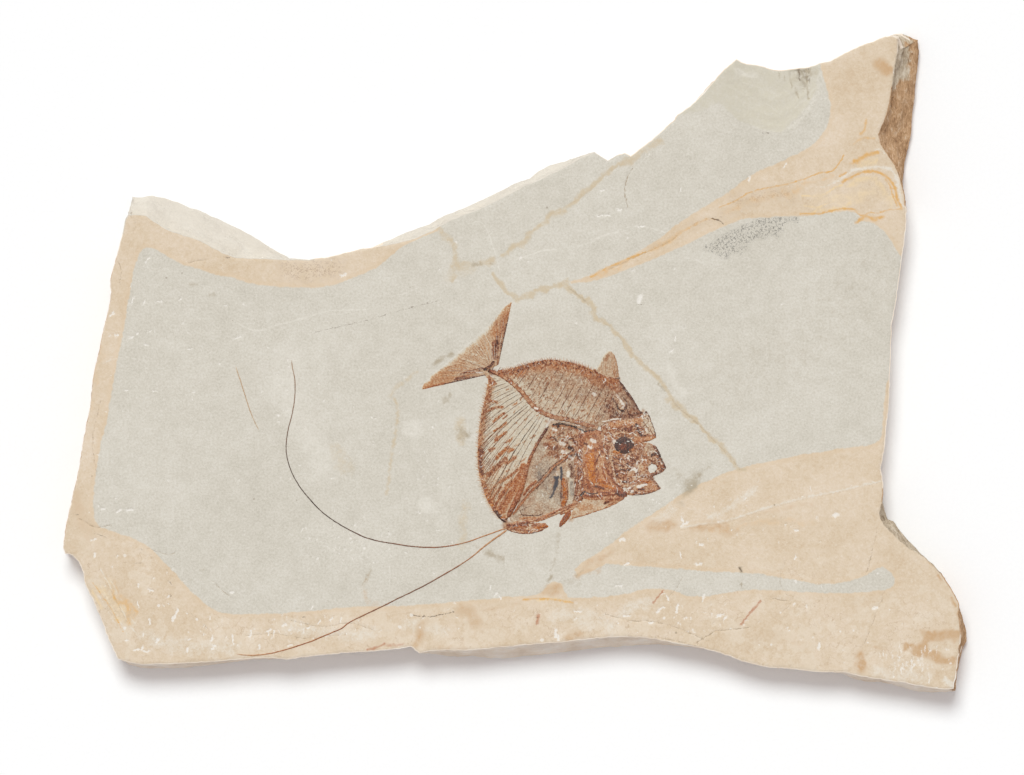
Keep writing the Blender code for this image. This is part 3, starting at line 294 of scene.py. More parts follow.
STAINS = (
    (6.4, 0.6, 92, -110, 101, -108), (4.4, 0.6, 117, -112, 128, -110, 140, -109),
    (3.6, 0.45, 138, -111, 142, -114, 148, -111), (2.4, 0.35, 150, -105, 170, -99, 196, -93),
    (3.4, 0.5, 40, -142, 46, -136, 54, -132, 66, -126), (3, 0.45, 46, -140, 52, -140, 58, -135),
    (4.6, 0.6, 19, -152, 24, -151.6, 29, -151), (6, 0.55, -35, -165, -28, -168, -27, -173),
    (2.4, 0.4, -20, -165, -8, -163, 2, -161), (4.6, 0.65, -67, -189, -64, -180, -62, -174),
    (4, 0.65, 35, -184, 39, -180, 43, -181), (3, 0.45, -50, -191, -42, -190, -34, -192),
    (5.4, 0.35, -98, -167, -94, -164), (2.4, 0.35, -99, -160, -100, -152),
    (2.2, 0.5, -98.6, -141, -101, -149), (9, 0.35, -293, -90, -290, -100, -286, -112),
    (6.4, 0.9, 243, 199, 247, 195), (4.6, 1, 274, -182, 284, -181.4, 298, -182),
    (3.8, 1, 272.4, -181, 271.6, -190), (4.4, 1, 268, -192, 275, -195, 284, -198, 291, -199),
    (2.4, 1, 260, -188, 266, -192), (2, 0.9, 297, -184, 298, -190, 295, -198),
    (5, 0.8, 228, -195, 230, -203), (2, 0.5, 239, -190, 246, -192), (8, 0.2, 174, -183, 190, -187),
    (0.9, 0.8, 274, -131, 285, -147, 292, -160, 297, -174),
)
MENDS = (
    (2.6, 0.7, -52, 90, -43, 79.5, -39, 68, -41, 54), (3.4, 0.75, -41, 65, -26, 65, -15, 67),
    (4.6, 0.42, -44, 58, -36, 60, -28, 66), (2, 0.9, -16, 58.7, -10, 50.7, -2, 44.3),
    (2.6, 0.85, -0.5, 42.7, 12, 46, 25, 50.7, 34.7, 54),
    (2.6, 0.8, -8.5, 71.5, 2.7, 79.5, 18.7, 94, 33, 102, 46, 113),
    (2.2, 0.9, 46, 113, 57, 124, 70, 131.5, 76, 136), (3.6, 0.7, 74, 134, 86, 142, 96, 148),
    (2, 1, 32, 52, 45, 42, 55, 30, 68, 18, 78, 5), (1.7, 0.9, 78, 5, 85, -2, 96, -12, 106, -27),
    (3.6, 0.8, 104, -25, 112, -33, 118, -38), (2.2, 0.9, 118, -38, 127, -47, 137, -57, 150, -72),
    (1.3, 0.75, -84.5, -22, -79, -29, -80, -46, -82.7, -60, -86.3, -89),
    (1.8, 0.6, -66, -6, -72, -11, -78, -15, -84, -22), (4.8, 0.6, -38, -40, -37, -52),
    (4.5, 0.5, -35, -95, -35, -122), (8.4, 0.4, -120, -60, -112, -70),
)
JOINTS = (
    (1.5, 1, 18.6, -38.4, 21.4, -40.4, 23.6, -41.4), (1.3, 1, 40.5, -42.6, 45, -43.8, 49, -44.8),
    (1.8, 1, -20, -7.4, -17, -6.6, -14, -7, -11, -8.4),
    (1.6, 1, -8.4, -106.6, -7, -109, -4, -107.6, 2, -106.4), (1, 1, -9, -111.4, -6, -110.4),
)
GREY_WALL = (
    (7.6, 1, 256, 238, 257, 222, 256, 204, 255, 188), (10, 1, 246, -104, 258, -112, 268, -124, 276, -134),
)
DARK_LINES = (
    (0.4, 0.9, -70, -168, -64, -169.2, -57, -169.4, -50, -168, -42, -166.5),
    (0.6, 1, 131, 96, 134.5, 95, 138, 92.5), (0.8, 0.9, 164.6, 153, 168.4, 153),
    (1, 0.8, 149.2, -137.2, 150.6, -139), (0.5, 0.5, 149, -148, 150.4, -148.4),
    (3.4, 0.5, 184, 197, 190, 194, 195, 190), (2.6, 0.42, 189, 190, 193, 183),
    (0.5, 0.7, 188.4, 198, 189.4, 188), (0.4, 0.6, 195, 197, 196, 186), (0.3, 0.5, 192.4, 197, 193.4, 189),
    (0.3, 0.5, 182.4, 198, 183, 192), (0.5, 0.6, 13, -170, 15.4, -170), (0.5, 0.7, -9, -195, -7, -190),
    (0.6, 0.5, -234, -137, -232, -139), (0.5, 0.5, 53, -164, 56, -171),
    (0.45, 0.6, -233, -145, -230.6, -146.4, -229, -149),
    (0.6, 0.8, -231.6, -154.4, -229.8, -155.6, -231, -157.4), (0.7, 0.9, -142, -169.6, -141.2, -169.6),
    (0.35, 0.6, -281, -114, -276, -115.4, -273, -117), (0.35, 0.5, -256, -127, -252, -124.6, -247, -124.8),
    (0.35, 0.5, -262, -133, -256, -133.8, -250, -133.6),
    (0.35, 0.5, -217.6, -166.9, -211, -172, -204.8, -178.1), (0.4, 0.7, -298, -100.6, -292, -101.6),
    # The second mark on the next line, just under the white bruise at (82.3, 42), is a painted shadow under
    # that bruise.
    (0.8, 0.7, -193, 70, -191, 70), (0.5, 0.8, 80.4, 38.6, 83.4, 38.8),
    (0.3, 0.62, -138, 19.3, -122, 23, -100, 28, -78, 34.5, -50, 41.7),
)
RED_LINES = (
    (0.9, 0.9, 150, -174.6, 157, -166, 163, -159), (1.5, 0.9, 14.8, -168.4, 14, -173.6),
    (0.7, 0.8, 91.3, -160.4, 97.7, -152.3), (1.2, 0.8, -99, -191.4, -94, -190.4, -88, -187.7),
    (1.6, 0.5, -86, -188.6, -80, -188.5, -76, -188),
)
ORANGE_MARKS = (
    (6, 0.5, 243, 199, 247, 195), (2.6, 0.6, -270, -152, -261, -161, -256, -173),
    (0.5, 0.8, -282, -147, -272, -161, -262, -179), (2, 0.7, -66, -196, -58, -197),
    (1.6, 0.6, 50, 57, 61, 63, 72, 67.6, 81, 71.6),
    (0.5, 1, 50, 57, 61, 63.2, 72, 67.8, 81, 71.7, 92, 75.5, 103, 81, 109, 86.3, 118, 91, 127, 95.5, 133,
        95.5), (2.4, 0.42, 56, 59.4, 66, 63.4, 74, 67), (2.8, 0.5, 90, 75, 101, 80.6, 108, 86),
    (1.6, 0.5, 108, 86, 118, 91.4, 127, 95.6),
    (0.7, 0.8, 136, 103.6, 145.4, 107.3, 154.7, 112.9, 164, 115.7, 173.5, 117.6, 182.8, 119.5, 192, 122.3),
    (0.8, 0.9, 192, 122.3, 201.6, 126.1, 211, 127.9, 215.7, 133.5, 218.5, 138.2),
    (5, 0.4, 138, 100, 150, 106, 164, 110, 176, 112.6, 190, 114), (2.4, 0.4, 186, 117, 198, 121, 210, 124),
    (2, 1, 223.1, 131.7, 227.8, 135.4, 234.4, 138.7, 241.9, 139.2), (1.2, 0.8, 215.7, 124.2, 220.3, 126.5),
    (1.4, 0.6, 229.7, 152.3, 232.5, 156, 233.5, 161.7), (1.6, 0.5, 225, 145.7, 230.7, 149.5, 239.1, 149.5),
    (1.3, 1, 217.5, 120.4, 225, 124.2, 229.7, 126.5, 235.3, 127.5, 240.9, 127, 246.5, 124.2, 250.3, 120.4,
        253.1, 114.8, 254.1, 109.2, 256.9, 103.6),
    (0.8, 0.8, 246.5, 122.3, 249.3, 117.7, 251.3, 111.1, 254.1, 104.5),
    (1, 0.9, 190.3, 99.3, 201.6, 99.3, 209, 100.8, 217.5, 102.6, 226, 102.2),
    (0.8, 0.7, 226, 101.7, 229.7, 97.9, 235.3, 99.8, 241.9, 99.8, 248.4, 101.7, 256.9, 102.1),
    (1.7, 1, 226.9, 93.3, 232.5, 97, 239.1, 96.1, 244.7, 97), (2, 0.5, -268, -146, -260, -157, -254, -168),
    (3, 0.3, -276, 10, -284, -30), (1.2, 0.8, 5, -158, 20, -157.6, 38, -160),
    (2.6, 0.5, -64, -198, -54, -194), (4, 0.3, 130, -112, 170, -106, 200, -108),
)
PALE_MARKS = (
    (17, 0.5, -150, 0, -154, -16, -148, -34, -136, -52, -128, -70), (9, 0.34, -128, 22, -134, 8, -131, -10),
    (8.4, 0.8, -70, -44, -67, -46), (7.4, 0.7, -61, -94, -58, -97),
    (8, 0.36, -48, -52, -46, -74, -50, -110), (8, 0.34, -60, -22, -50, -28),
    (4, 0.55, 103, -2, 106, -12, 112, -22), (16, 0.4, -130, -112, -104, -122, -84, -124),
    (1.3, 0.9, 214.7, 121.4, 220.3, 125.1, 225, 128.4, 229.7, 129.3, 237.2, 130.3, 243.7, 130.3, 249.4,
        128.9, 253.1, 124.2, 255, 117.7, 256.4, 109.2, 257.3, 104.5),
    (0.8, 0.8, 203, 117, 207.2, 117.7, 214.7, 121.4), (0.8, 0.7, 239.1, 141.5, 243.7, 142, 245.6, 139.2),
    # The next row is a painted highlight: the lit upper edge of the ridge along the mended crack at the lower
    # right.
    (1.1, 0.7, 110, -110, 125, -107.5, 140, -105.5, 165, -97.5, 190, -90.5, 215, -85.5, 243, -79),
    (1, 0.25, 128.3, 183.6, 135.2, 177.8, 141, 169, 147.9, 161.2, 156, 157, 165.2, 154.3),
    (1, 0.25, 165.2, 154.3, 176.8, 153, 188.3, 159.4, 195.2, 171, 202, 180),
    (3, 0.5, 146, 195, 152, 193.6, 160, 191), (1.2, 0.7, 148, 196, 153, 192, 158, 190.6),
    (1, 0.35, 138, 186, 152, 179, 168, 172, 176, 166), (0.9, 0.35, 150, 187, 164, 183, 178, 178),
    (1, 0.4, 200, 184, 193, 176, 186, 170),
    (0.5, 0.9, -276.8, -138, -267.2, -155.6, -257.6, -174.8, -252.8, -181.2),
    (0.4, 0.8, -278.4, -146, -267.2, -166.8, -259.2, -181.2),
    (0.35, 0.7, -272, -142, -262, -160, -254, -175), (0.35, 0.6, -281, -150, -271, -168, -264, -180),
    (0.5, 0.8, -84.4, -136, -84, -144, -84.6, -150), (3, 0.9, 285, -213, 293, -217),
    (9, 0.5, 28, -170, 48, -170, 62, -176), (6, 0.6, 72, -166, 88, -160), (6, 0.5, -72, -174, -48, -180),
    (7, 0.5, -150, -176, -120, -182, -96, -180), (8, 0.5, -246, -184, -220, -190, -190, -190),
    (6, 0.5, 240, -206, 272, -210),
    (0.9, 0.9, 1.5, 69.2, 19.1, 74.8, 31.9, 75.6, 47.9, 79.6, 57.5, 84.4, 67.1, 86.8),
    (0.6, 0.7, 73.5, 90, 84.7, 90.8, 99.1, 86.8), (2.4, 0.3, 26, 74.6, 40, 77, 52, 82),
    (0.8, 0.7, -184.7, 25.7, -173.3, 21, -162, 24.3, -141.3, 29.7, -124, 34.3, -100, 35.3),
    (0.7, 0.6, -79, 45, -72, 47, -64.7, 50.3),
    (0.6, 0.5, -277.3, -1.5, -267.7, 2.5, -258, 3.3, -245.3, 1, -213.3, 1.7, -200.7, 9, -186, 16),
    (0.5, 0.8, -31.2, 92.4, -24, 94, -20.1, 89.2, -16.1, 79.6, -12.9, 70, -10.5, 58.8),
    (5, 0.5, 96, -80, 104, -98, 92, -106), (4, 0.6, 130, -104, 150, -92, 158, -84),
)
SMUDGES = (
    (2, 0.4, -30, -120, -22, -124), (2.2, 0.9, -41, 4.4, -44, 5.2, -47, 4.6, -50, 2.6, -54, -1.6),
    (1.6, 0.5, -54, -1.6, -58, -4), (2, 0.9, -46, -25, -48, -28), (1.6, 0.7, -44, -21, -46, -26),
    (3.4, 0.8, -37, -44, -35, -47, -32, -46), (2, 0.7, -40, -50, -36, -52), (7.4, 0.72, 115, -82, 120, -78),
    (3.6, 0.9, 113, -87, 120, -80, 123, -75), (2.6, 0.6, 126, -72, 130, -69), (4, 0.45, 105, -72, 110, -75),
    (3.6, 0.4, 108, -90, 112, -94), (1, 0.6, 36, 49, 41, 45, 46, 41), (1.4, 0.8, 95, -14, 99, -19),
    (2.4, 0.9, -27.4, 65.8, -23.4, 64.6), (1.3, 0.6, -17, 66, -15, 65.8),
    (3.4, 0.75, -20, -126, -13.4, -131, -9, -131), (2, 0.4, -8, -128, -4, -130),
    (2, 0.8, 19, -146, 23, -141, 24, -137), (3.4, 0.5, 32, -146, 42, -147),
    (1.8, 0.5, 24, -138, 27, -126, 29, -112), (1.2, 0.5, 40, -142, 45, -138),
    (2.6, 0.7, -98, -139, -100, -144, -101, -149), (2.4, 0.5, -208, -137, -207, -137.6),
    (0.7, 0.8, 175.2, 198, 175.8, 190), (0.9, 0.5, 178.6, 198, 179.4, 187),
    (0.8, 0.9, 182.2, 198, 182.8, 191, 184.2, 184), (1.4, 0.6, 184.6, 198, 185.6, 190, 187, 179),
    (1, 1, 187.8, 198, 188.8, 192, 189.8, 186), (1.6, 0.8, 190.2, 198, 191, 191, 191.4, 182),
    (1, 1, 193, 198, 194, 189, 194.6, 176), (0.7, 0.8, 195.8, 197, 197, 190),
    (0.6, 0.7, 186.2, 183, 188.6, 176), (4.6, 0.75, 186, 196, 195, 195), (6, 0.35, 184, 192, 192, 184),
    (1.7, 1, 149.4, -137, 150.6, -139.4), (1.2, 0.8, 150, -147.4, 150.6, -149.6),
    (2.6, 0.7, 250, -74, 246, -86), (50, 0.24, 150, -10, 200, 20, 240, 60),
    (2.6, 0.6, -217, 52, -215, 52.4), (2, 0.6, -202.6, 45, -201, 45.6), (1.6, 0.5, -155.6, 41, -154, 41.4),
)
YELLOWS = (
    (0.9, 0.9, 191.3, 111.1, 201.6, 111.1, 207.2, 113, 211, 115.7, 217.5, 118.5),
    (0.8, 0.8, 192, 104.5, 201.6, 103.6, 211, 107.3, 225, 110),
    (2.4, 0.6, 222, 118, 234, 122, 244, 118, 250, 108), (6, 0.35, 200, 108, 222, 112, 242, 112),
    (3.6, 0.55, 226, 121, 237, 122, 246, 116, 250, 106), (5, 0.4, 214, 108, 228, 110),
    (3, 0.6, 228, 133, 240, 135), (2, 0.6, 196, 100, 210, 102, 222, 105),
    (1.4, 0.7, 14, -158.6, 24, -157.6, 36, -159.6), (2.6, 0.6, -279, -149, -271, -161, -264, -172),
    (2, 0.7, -273, -146, -266, -157, -259, -169), (1.6, 0.6, -283, -152, -276, -164),
    (9, 0.35, -274, -148, -266, -160, -258, -170), (2, 0.5, -62, -196, -56, -192),
)
DENDRITES = (
    (8, 1, 138, 79, 150, 84, 162, 88, 172, 91), (4, 1, 158, 93, 170, 94.4, 186, 95),
    (4.4, 0.7, 127, 76, 136, 73, 150, 76),
)
STIPPLES = (
    (8.6, 1, -150, 61, -138, 61, -122, 63), (4.4, 0.5, 120, 92, 140, 99, 156, 106),
    (6, 0.7, 146, 108, 164, 112, 182, 112),
)
RUSTY_AND_SHADED_WALLS = (
    (13, 1, 262, 238, 270, 220, 266, 196, 261, 176, 256, 156, 257, 138, 258, 118),
    (3.6, 0.8, 298, -176, 300, -188, 297, -214),
    (9, 0.6, 247, -105, 258, -112, 268, -124, 278, -137, 290, -155, 298, -172),
    (4, 0.8, 244, -88, 246, -103),
    # The last row is painted shade: it browns the left wall so that it reads as shaded, though the lamp
    # lights it from the left.
    (8, 0.3, -264, 68, -272, 40, -276, 10, -284, -30, -291, -60, -298, -95, -304, -120),
)
LEDGE = (
    (20, 1, -262, 110, -230, 104, -205, 94, -180, 80, -156, 70), (9, 1, -84, 86, -40, 102, 0, 122, 58, 142),
)

# Small white bruises: x, y, half length, half width and heading in degrees.
CHIPS = (
    (-238, 40.6, 0.8, 0.5, 0), (-252.5, 19.3, 1, 0.6, 40), (-255.3, 17, 0.9, 0.6, 30),
    (-265.8, 18.3, 0.8, 0.8, 0), (-243.7, 21, 0.8, 0.5, 30), (-217.4, 9, 1.1, 0.6, 0),
    (-246.1, 11.7, 0.8, 0.5, 0), (-185.7, 16.5, 1.6, 0.6, 20), (-259.7, -18.5, 1, 0.5, 0),
    (-240.9, -19, 1.6, 0.35, 0), (-269.3, 32.1, 1.6, 1, 40), (-272.5, 29, 1.4, 0.7, 50),
    (-115.1, 58.2, 1.4, 1.1, 20), (57.5, 114.7, 1, 0.6, 0), (55.9, 97.7, 1.6, 0.5, 10),
    (60.9, 98, 1, 0.5, 0), (69.5, 101.7, 0.9, 0.9, 0), (83.9, 90.8, 1.5, 0.7, 10),
    (86.3, 137.9, 1.2, 0.3, 80), (88.5, 138, 1.2, 0.3, 80), (2.8, 69.3, 0.8, 0.6, 60),
    (-280.9, -128.5, 1.7, 0.8, 80), (-275.2, -97.7, 1.1, 0.7, 0), (-264.8, -98.9, 1.3, 0.7, 25),
    (-257.6, -98.4, 1.5, 0.7, 10), (-281.6, -118.1, 1, 0.8, 20), (-252, -160.8, 1.4, 0.6, 110),
    (-244, -151.7, 1.5, 0.6, -20), (-244, -172.5, 1.6, 0.8, 105), (-228.4, -170.6, 1.8, 1.2, 62),
    (-226.4, -166.6, 2, 0.9, 62), (-239.2, -185.3, 1, 1, 60), (-253, -191.4, 1.6, 0.8, 10),
    (-249.4, -190.4, 1.4, 0.7, 60), (-247, -192.6, 1.5, 0.7, -10), (-219.2, -191.7, 1.4, 0.8, 80),
    (-202.4, -183.7, 1.4, 0.8, 70), (-201.6, -190, 1.6, 0.9, 50), (-189.6, -153.3, 0.9, 0.8, 0),
    (-188.8, -184.5, 2.6, 0.6, 94), (-176.8, -180.5, 1.8, 0.8, 80), (-164.6, -178.6, 1.6, 0.8, 30),
    (-161.6, -180.2, 1.4, 0.6, 80), (-171.2, -189.3, 1.5, 1, 80), (-154.4, -174.9, 1.2, 0.8, 20),
    (-136, -163.2, 1.3, 0.5, 60), (-150.4, -188.5, 1.6, 0.7, 10), (-123.2, -171.2, 1.2, 0.6, 50),
    (-131.2, -173.3, 1.3, 0.6, 60), (-137.6, -176.5, 1.4, 0.6, 20), (-117, -171.4, 1, 0.6, 70),
    (112.3, -107.6, 2.4, 1.1, 30), (111, -105.2, 1.6, 1, 110), (70.7, -118.1, 1.8, 1.2, 10),
    (123.5, -121.6, 1.1, 1.1, 0), (109.9, -128.5, 1.3, 0.6, 100), (121.9, -134.5, 1.6, 1.1, 0),
    (-17.3, -150.1, 1.2, 0.6, 80), (-13.6, -154.6, 1.4, 0.7, 40), (-10.6, -156.6, 1.5, 0.7, 120),
    (41.1, -166.1, 2.2, 0.7, 0), (73.9, -168.9, 2, 0.8, 0), (95, -165.6, 1.8, 0.9, 50),
    (97.6, -163.6, 1.4, 0.8, 30), (107.4, -165.4, 1.8, 1, 85), (107.6, -162.6, 1.2, 0.8, 60),
    (101.1, -157.3, 1.5, 0.8, 110), (26.4, -181, 2.4, 1, 88), (28.2, -183.4, 1.8, 0.8, 88),
    (136.3, -168.5, 2, 1, 15), (139, -171, 1.4, 0.8, 60), (68.3, -148.9, 2, 0.5, 2),
    (73.9, -134.1, 1.5, 0.6, 20), (89.9, -173.6, 1.4, 0.7, 10), (125.1, -155.7, 0.9, 1.2, 80),
    (212.8, -101.9, 1.4, 1.4, 20), (239.7, -163.7, 1.4, 1.2, 0), (196.3, -83.9, 1.6, 0.5, 100),
    (185.9, -130.3, 1.1, 0.6, 60), (202.3, -188.6, 1.8, 1, 75), (-245.6, 68.6, 1.8, 0.6, 50),
    (-248, 40, 1, 0.6, 70), (-256, 41, 1.2, 0.6, 80), (-224, 42, 1, 0.5, 30), (-194, 38, 0.8, 0.5, 0),
    (187, -112, 1.2, 0.6, 0), (155.5, 122.9, 1.1, 0.9, 80), (179.5, 131.7, 1.2, 0.7, 60),
    (109.9, 115.5, 0.8, 0.5, 90), (82.3, 42, 2, 1.6, 80), (104, 8, 1, 0.6, 40), (106, 16, 1.2, 0.5, 70),
)

# Places of more of them: x, y, reach in x and y, how many, heading in degrees, its spread, least and
# greatest length in mm.
SCRATCHED = (
    (-108, -120, 34, 12, 110, 50, 50, 0.5, 2.2), (-150, -20, 14, 40, 24, 60, 60, 0.6, 2.4),
    (-90, -60, 60, 50, 36, 20, 60, 0.6, 2.2), (-60, -70, 20, 60, 30, 40, 60, 0.6, 2.4),
    (264, -200, 19, 9, 80, 90, 4, 3, 8), (-180, -180, 60, 10, 50, 80, 30, 0.8, 3.4),
    (-120, -176, 60, 8, 26, 80, 30, 0.8, 2.8), (-240, -160, 26, 24, 20, 70, 30, 0.8, 3),
    (40, -170, 90, 12, 30, 20, 30, 0.8, 3), (130, -168, 40, 14, 44, 80, 40, 0.8, 3),
    (215, -175, 60, 22, 20, 60, 50, 0.8, 3), (150, -110, 60, 26, 24, 70, 40, 0.8, 3),
    (190, -90, 60, 20, 14, 30, 60, 0.8, 2.6), (100, -95, 16, 16, 16, 60, 50, 1, 3),
    (120, 10, 110, 60, 24, 30, 70, 0.5, 1.6), (-200, -40, 90, 80, 30, 30, 70, 0.5, 1.8),
    (-60, 70, 120, 30, 16, 20, 50, 0.5, 1.8), (-180, 40, 70, 30, 14, 40, 60, 0.5, 1.8),
    (-272, -90, 14, 40, 16, 60, 40, 0.8, 2.4), (-266, 30, 12, 60, 12, 60, 50, 0.6, 2),
)

# ------------------------------------------------------------------ marks on the fish
# Tone (0 bare stone to 1 black), warmth, half width in mm and rise in mm, then x, y, x, y ...
TAIL_MARKS = (
    (0.42, 0.75, 3.6, 0, -4, 37, -9, 29, -14, 20), (0.5, 0.75, 2.4, 0, -6, 32, -9, 25, -12, 17),
    (0.6, 0.8, 1.6, 0, -5, 31.6, -7.6, 29), (0.44, 0.8, 3, 0, -60, -16.4, -52, -13.4, -44, -10.6),
    (0.38, 0.7, 3.4, 0, -54, -11, -46, -6.6, -38, -3.4),
    (0.8, 0.65, 2.2, 0.1, -14.2, 13, -14.4, 8, -13.8, 3.6), (0.72, 0.6, 1.2, 0.1, -12.6, 17, -13, 12),
    (0.84, 0.55, 1, 0.1, -12.4, 14, -12, 8),
    (0.92, 0.2, 0.55, 0.25, -11.2, -1, -10.6, 2, -9.8, 8, -8.6, 14, -7, 21, -5.4, 27, -3.8, 32.6),
    (0.78, 0.45, 0.4, 0.2, -10.6, 9, -9.2, 16, -7.6, 22, -6.6, 26),
    (0.7, 0.6, 0.4, 0.2, -11.2, 12, -10.4, 18, -8.8, 24), (0.62, 0.45, 1.6, 0.1, -12, -2, -11.6, 3),
    (0.92, 0.3, 1.2, 0.35, -21, -4.6, -19, -3.6, -16.8, -2, -15.2, 0.2),
    (0.8, 0.45, 0.9, 0.1, -22, -4, -30, -5.6, -36.6, -7.8),
    (0.72, 0.55, 0.6, 0.1, -24, -6, -32, -8, -40, -10.4),
    (0.82, 0.75, 1.1, 0.1, -27, -9.4, -34, -10.2, -40.4, -11.4),
    (0.86, 0.25, 0.45, 0.2, -20.6, -8.2, -30, -10.4, -38, -12.2, -44, -13.5, -48.6, -14.7),
    (0.6, 0.85, 0.8, 0.1, -48, -14, -56, -15.8, -61.4, -17.4),
    (0.12, 0.3, 0.35, 0.2, -18.4, 1.4, -22, 6.6, -26.4, 12.8),
    (0.1, 0.3, 0.3, 0.2, -16, 9, -18, 13.6, -20.6, 19), (0.14, 0.4, 0.3, 0.2, -21, 2.4, -25, 4.2, -29.6, 6),
    (0.14, 0.4, 0.35, 0.2, -27, 0.2, -31, 1, -36, 2.4),
    (0.66, 0.2, 0.25, 0.1, -20, 3.6, -23, 7.4, -25, 10.6), (0.75, 0.2, 0.3, 0.1, -18, 1.6, -19.2, 4.2),
)
FLANK_MARKS = (
    (0.52, 0.75, 2.6, 0, 55, -10, 61, -11, 67, -13), (0.55, 0.65, 2.2, 0, 65, -17, 69, -18),
    (0.48, 0.6, 2.6, 0, 50, -12, 58, -15),
    (0.8, 0.4, 1.2, 0.1, 68.6, -10, 72, -16, 76, -22, 80, -28, 83.6, -33.4),
    (0.78, 0.2, 0.8, 0.1, 64.6, -24, 66.6, -27, 68.4, -31, 72, -32.4),
    (0.72, 0.25, 0.5, 0.1, 71.6, -23.6, 74, -27, 72.6, -31),
    (0.74, 0.25, 0.6, 0.1, 73.6, -29.6, 74.6, -33, 75.6, -35.4),
    (0.7, 0.4, 1.4, 0.1, 63.6, -35.6, 70, -35.8, 77, -35.2, 82.6, -34),
    (0.62, 0.35, 1.4, 0.1, 78, -25.6, 79, -30, 81, -33), (0.66, 0.3, 1.6, 0, 60, -29, 64, -31, 67, -34),
    (0.56, 0.45, 0.9, 0.1, 61, -25.6, 63.6, -29, 62, -33),
)
FAN_MARKS = (
    (0.62, 0.85, 1, 0.1, -19, -32.4, -14, -30.2, -9, -29.6),
    (0.6, 0.9, 0.9, 0.1, -15, -39.2, -12, -36.8, -8, -33.8),
    (0.58, 0.95, 0.8, 0.1, -14.4, -45.6, -10, -42.8, -6.8, -40.2),
    (0.58, 0.95, 1.1, 0.1, -13.8, -51.6, -10, -49, -6.8, -46.6),
    (0.6, 0.95, 1.5, 0.1, -13, -64, -9.4, -60, -5.4, -56.6),
    (0.58, 0.9, 0.7, 0.1, -6.2, -53.2, -4.4, -51.6), (0.56, 0.95, 1.1, 0.1, -5, -59.4, -2.8, -57.6),
    (0.66, 0.8, 1.9, 0.1, -18.2, -75, -13, -70, -9.4, -66.4, -7, -64.4),
    (0.6, 0.9, 1.2, 0.1, -6.4, -67.2, -3, -65, -0.6, -63.2),
    (0.62, 0.85, 1.2, 0.1, -17.6, -58.6, -15, -57.2),
    (0.6, 0.9, 1, 0.1, -10.4, -79.8, -5, -76.4, 1, -71.6, 4.6, -68.6),
    (0.58, 0.92, 1.8, 0.1, -10.4, -89, -6.6, -84, -2, -80, 1.4, -76),
    (0.55, 0.9, 2.4, 0.15, -9, -99, -4.4, -90, -0.6, -84, 2.4, -77, 5.2, -69),
    (0.64, 0.95, 1.7, 0.2, -4.4, -101, -0.4, -94.6, 1.8, -89, 3.4, -84),
    (0.6, 0.88, 1.2, 0.1, -12.6, -99.4, -8, -92, -4, -86),
    (0.64, 0.8, 0.9, 0.1, -15.4, -97.6, -11, -91, -7.6, -86),
    (0.58, 0.8, 0.8, 0.1, -17.6, -93.6, -13, -87, -10, -83),
    (0.56, 0.75, 0.7, 0.1, -19.4, -89, -15, -83.6, -11.6, -80),
    (0.62, 0.8, 1, 0.1, -20.6, -24, -16.6, -25.6, -12.4, -26.6),
    (0.6, 0.75, 1.2, 0.1, -18, -9.6, -16.8, -12.6, -14.6, -14.6),
    (0.6, 0.7, 0.7, 0.1, -15, -12.4, -13, -14),
    (0.72, 0.5, 1.5, 0.15, -23.4, -58, -23.8, -64, -23.4, -71, -22.4, -74),
    (0.74, 0.5, 1.2, 0.1, -22.6, -59, -21.6, -60.4),
    (0.9, 0.3, 1.4, 0.3, -16.4, -99.8, -12.4, -103.2, -8.8, -106, -5, -104, -1.6, -100.4),
    (0.88, 0.3, 1, 0.2, -14, -99, -10.4, -102.4),
)
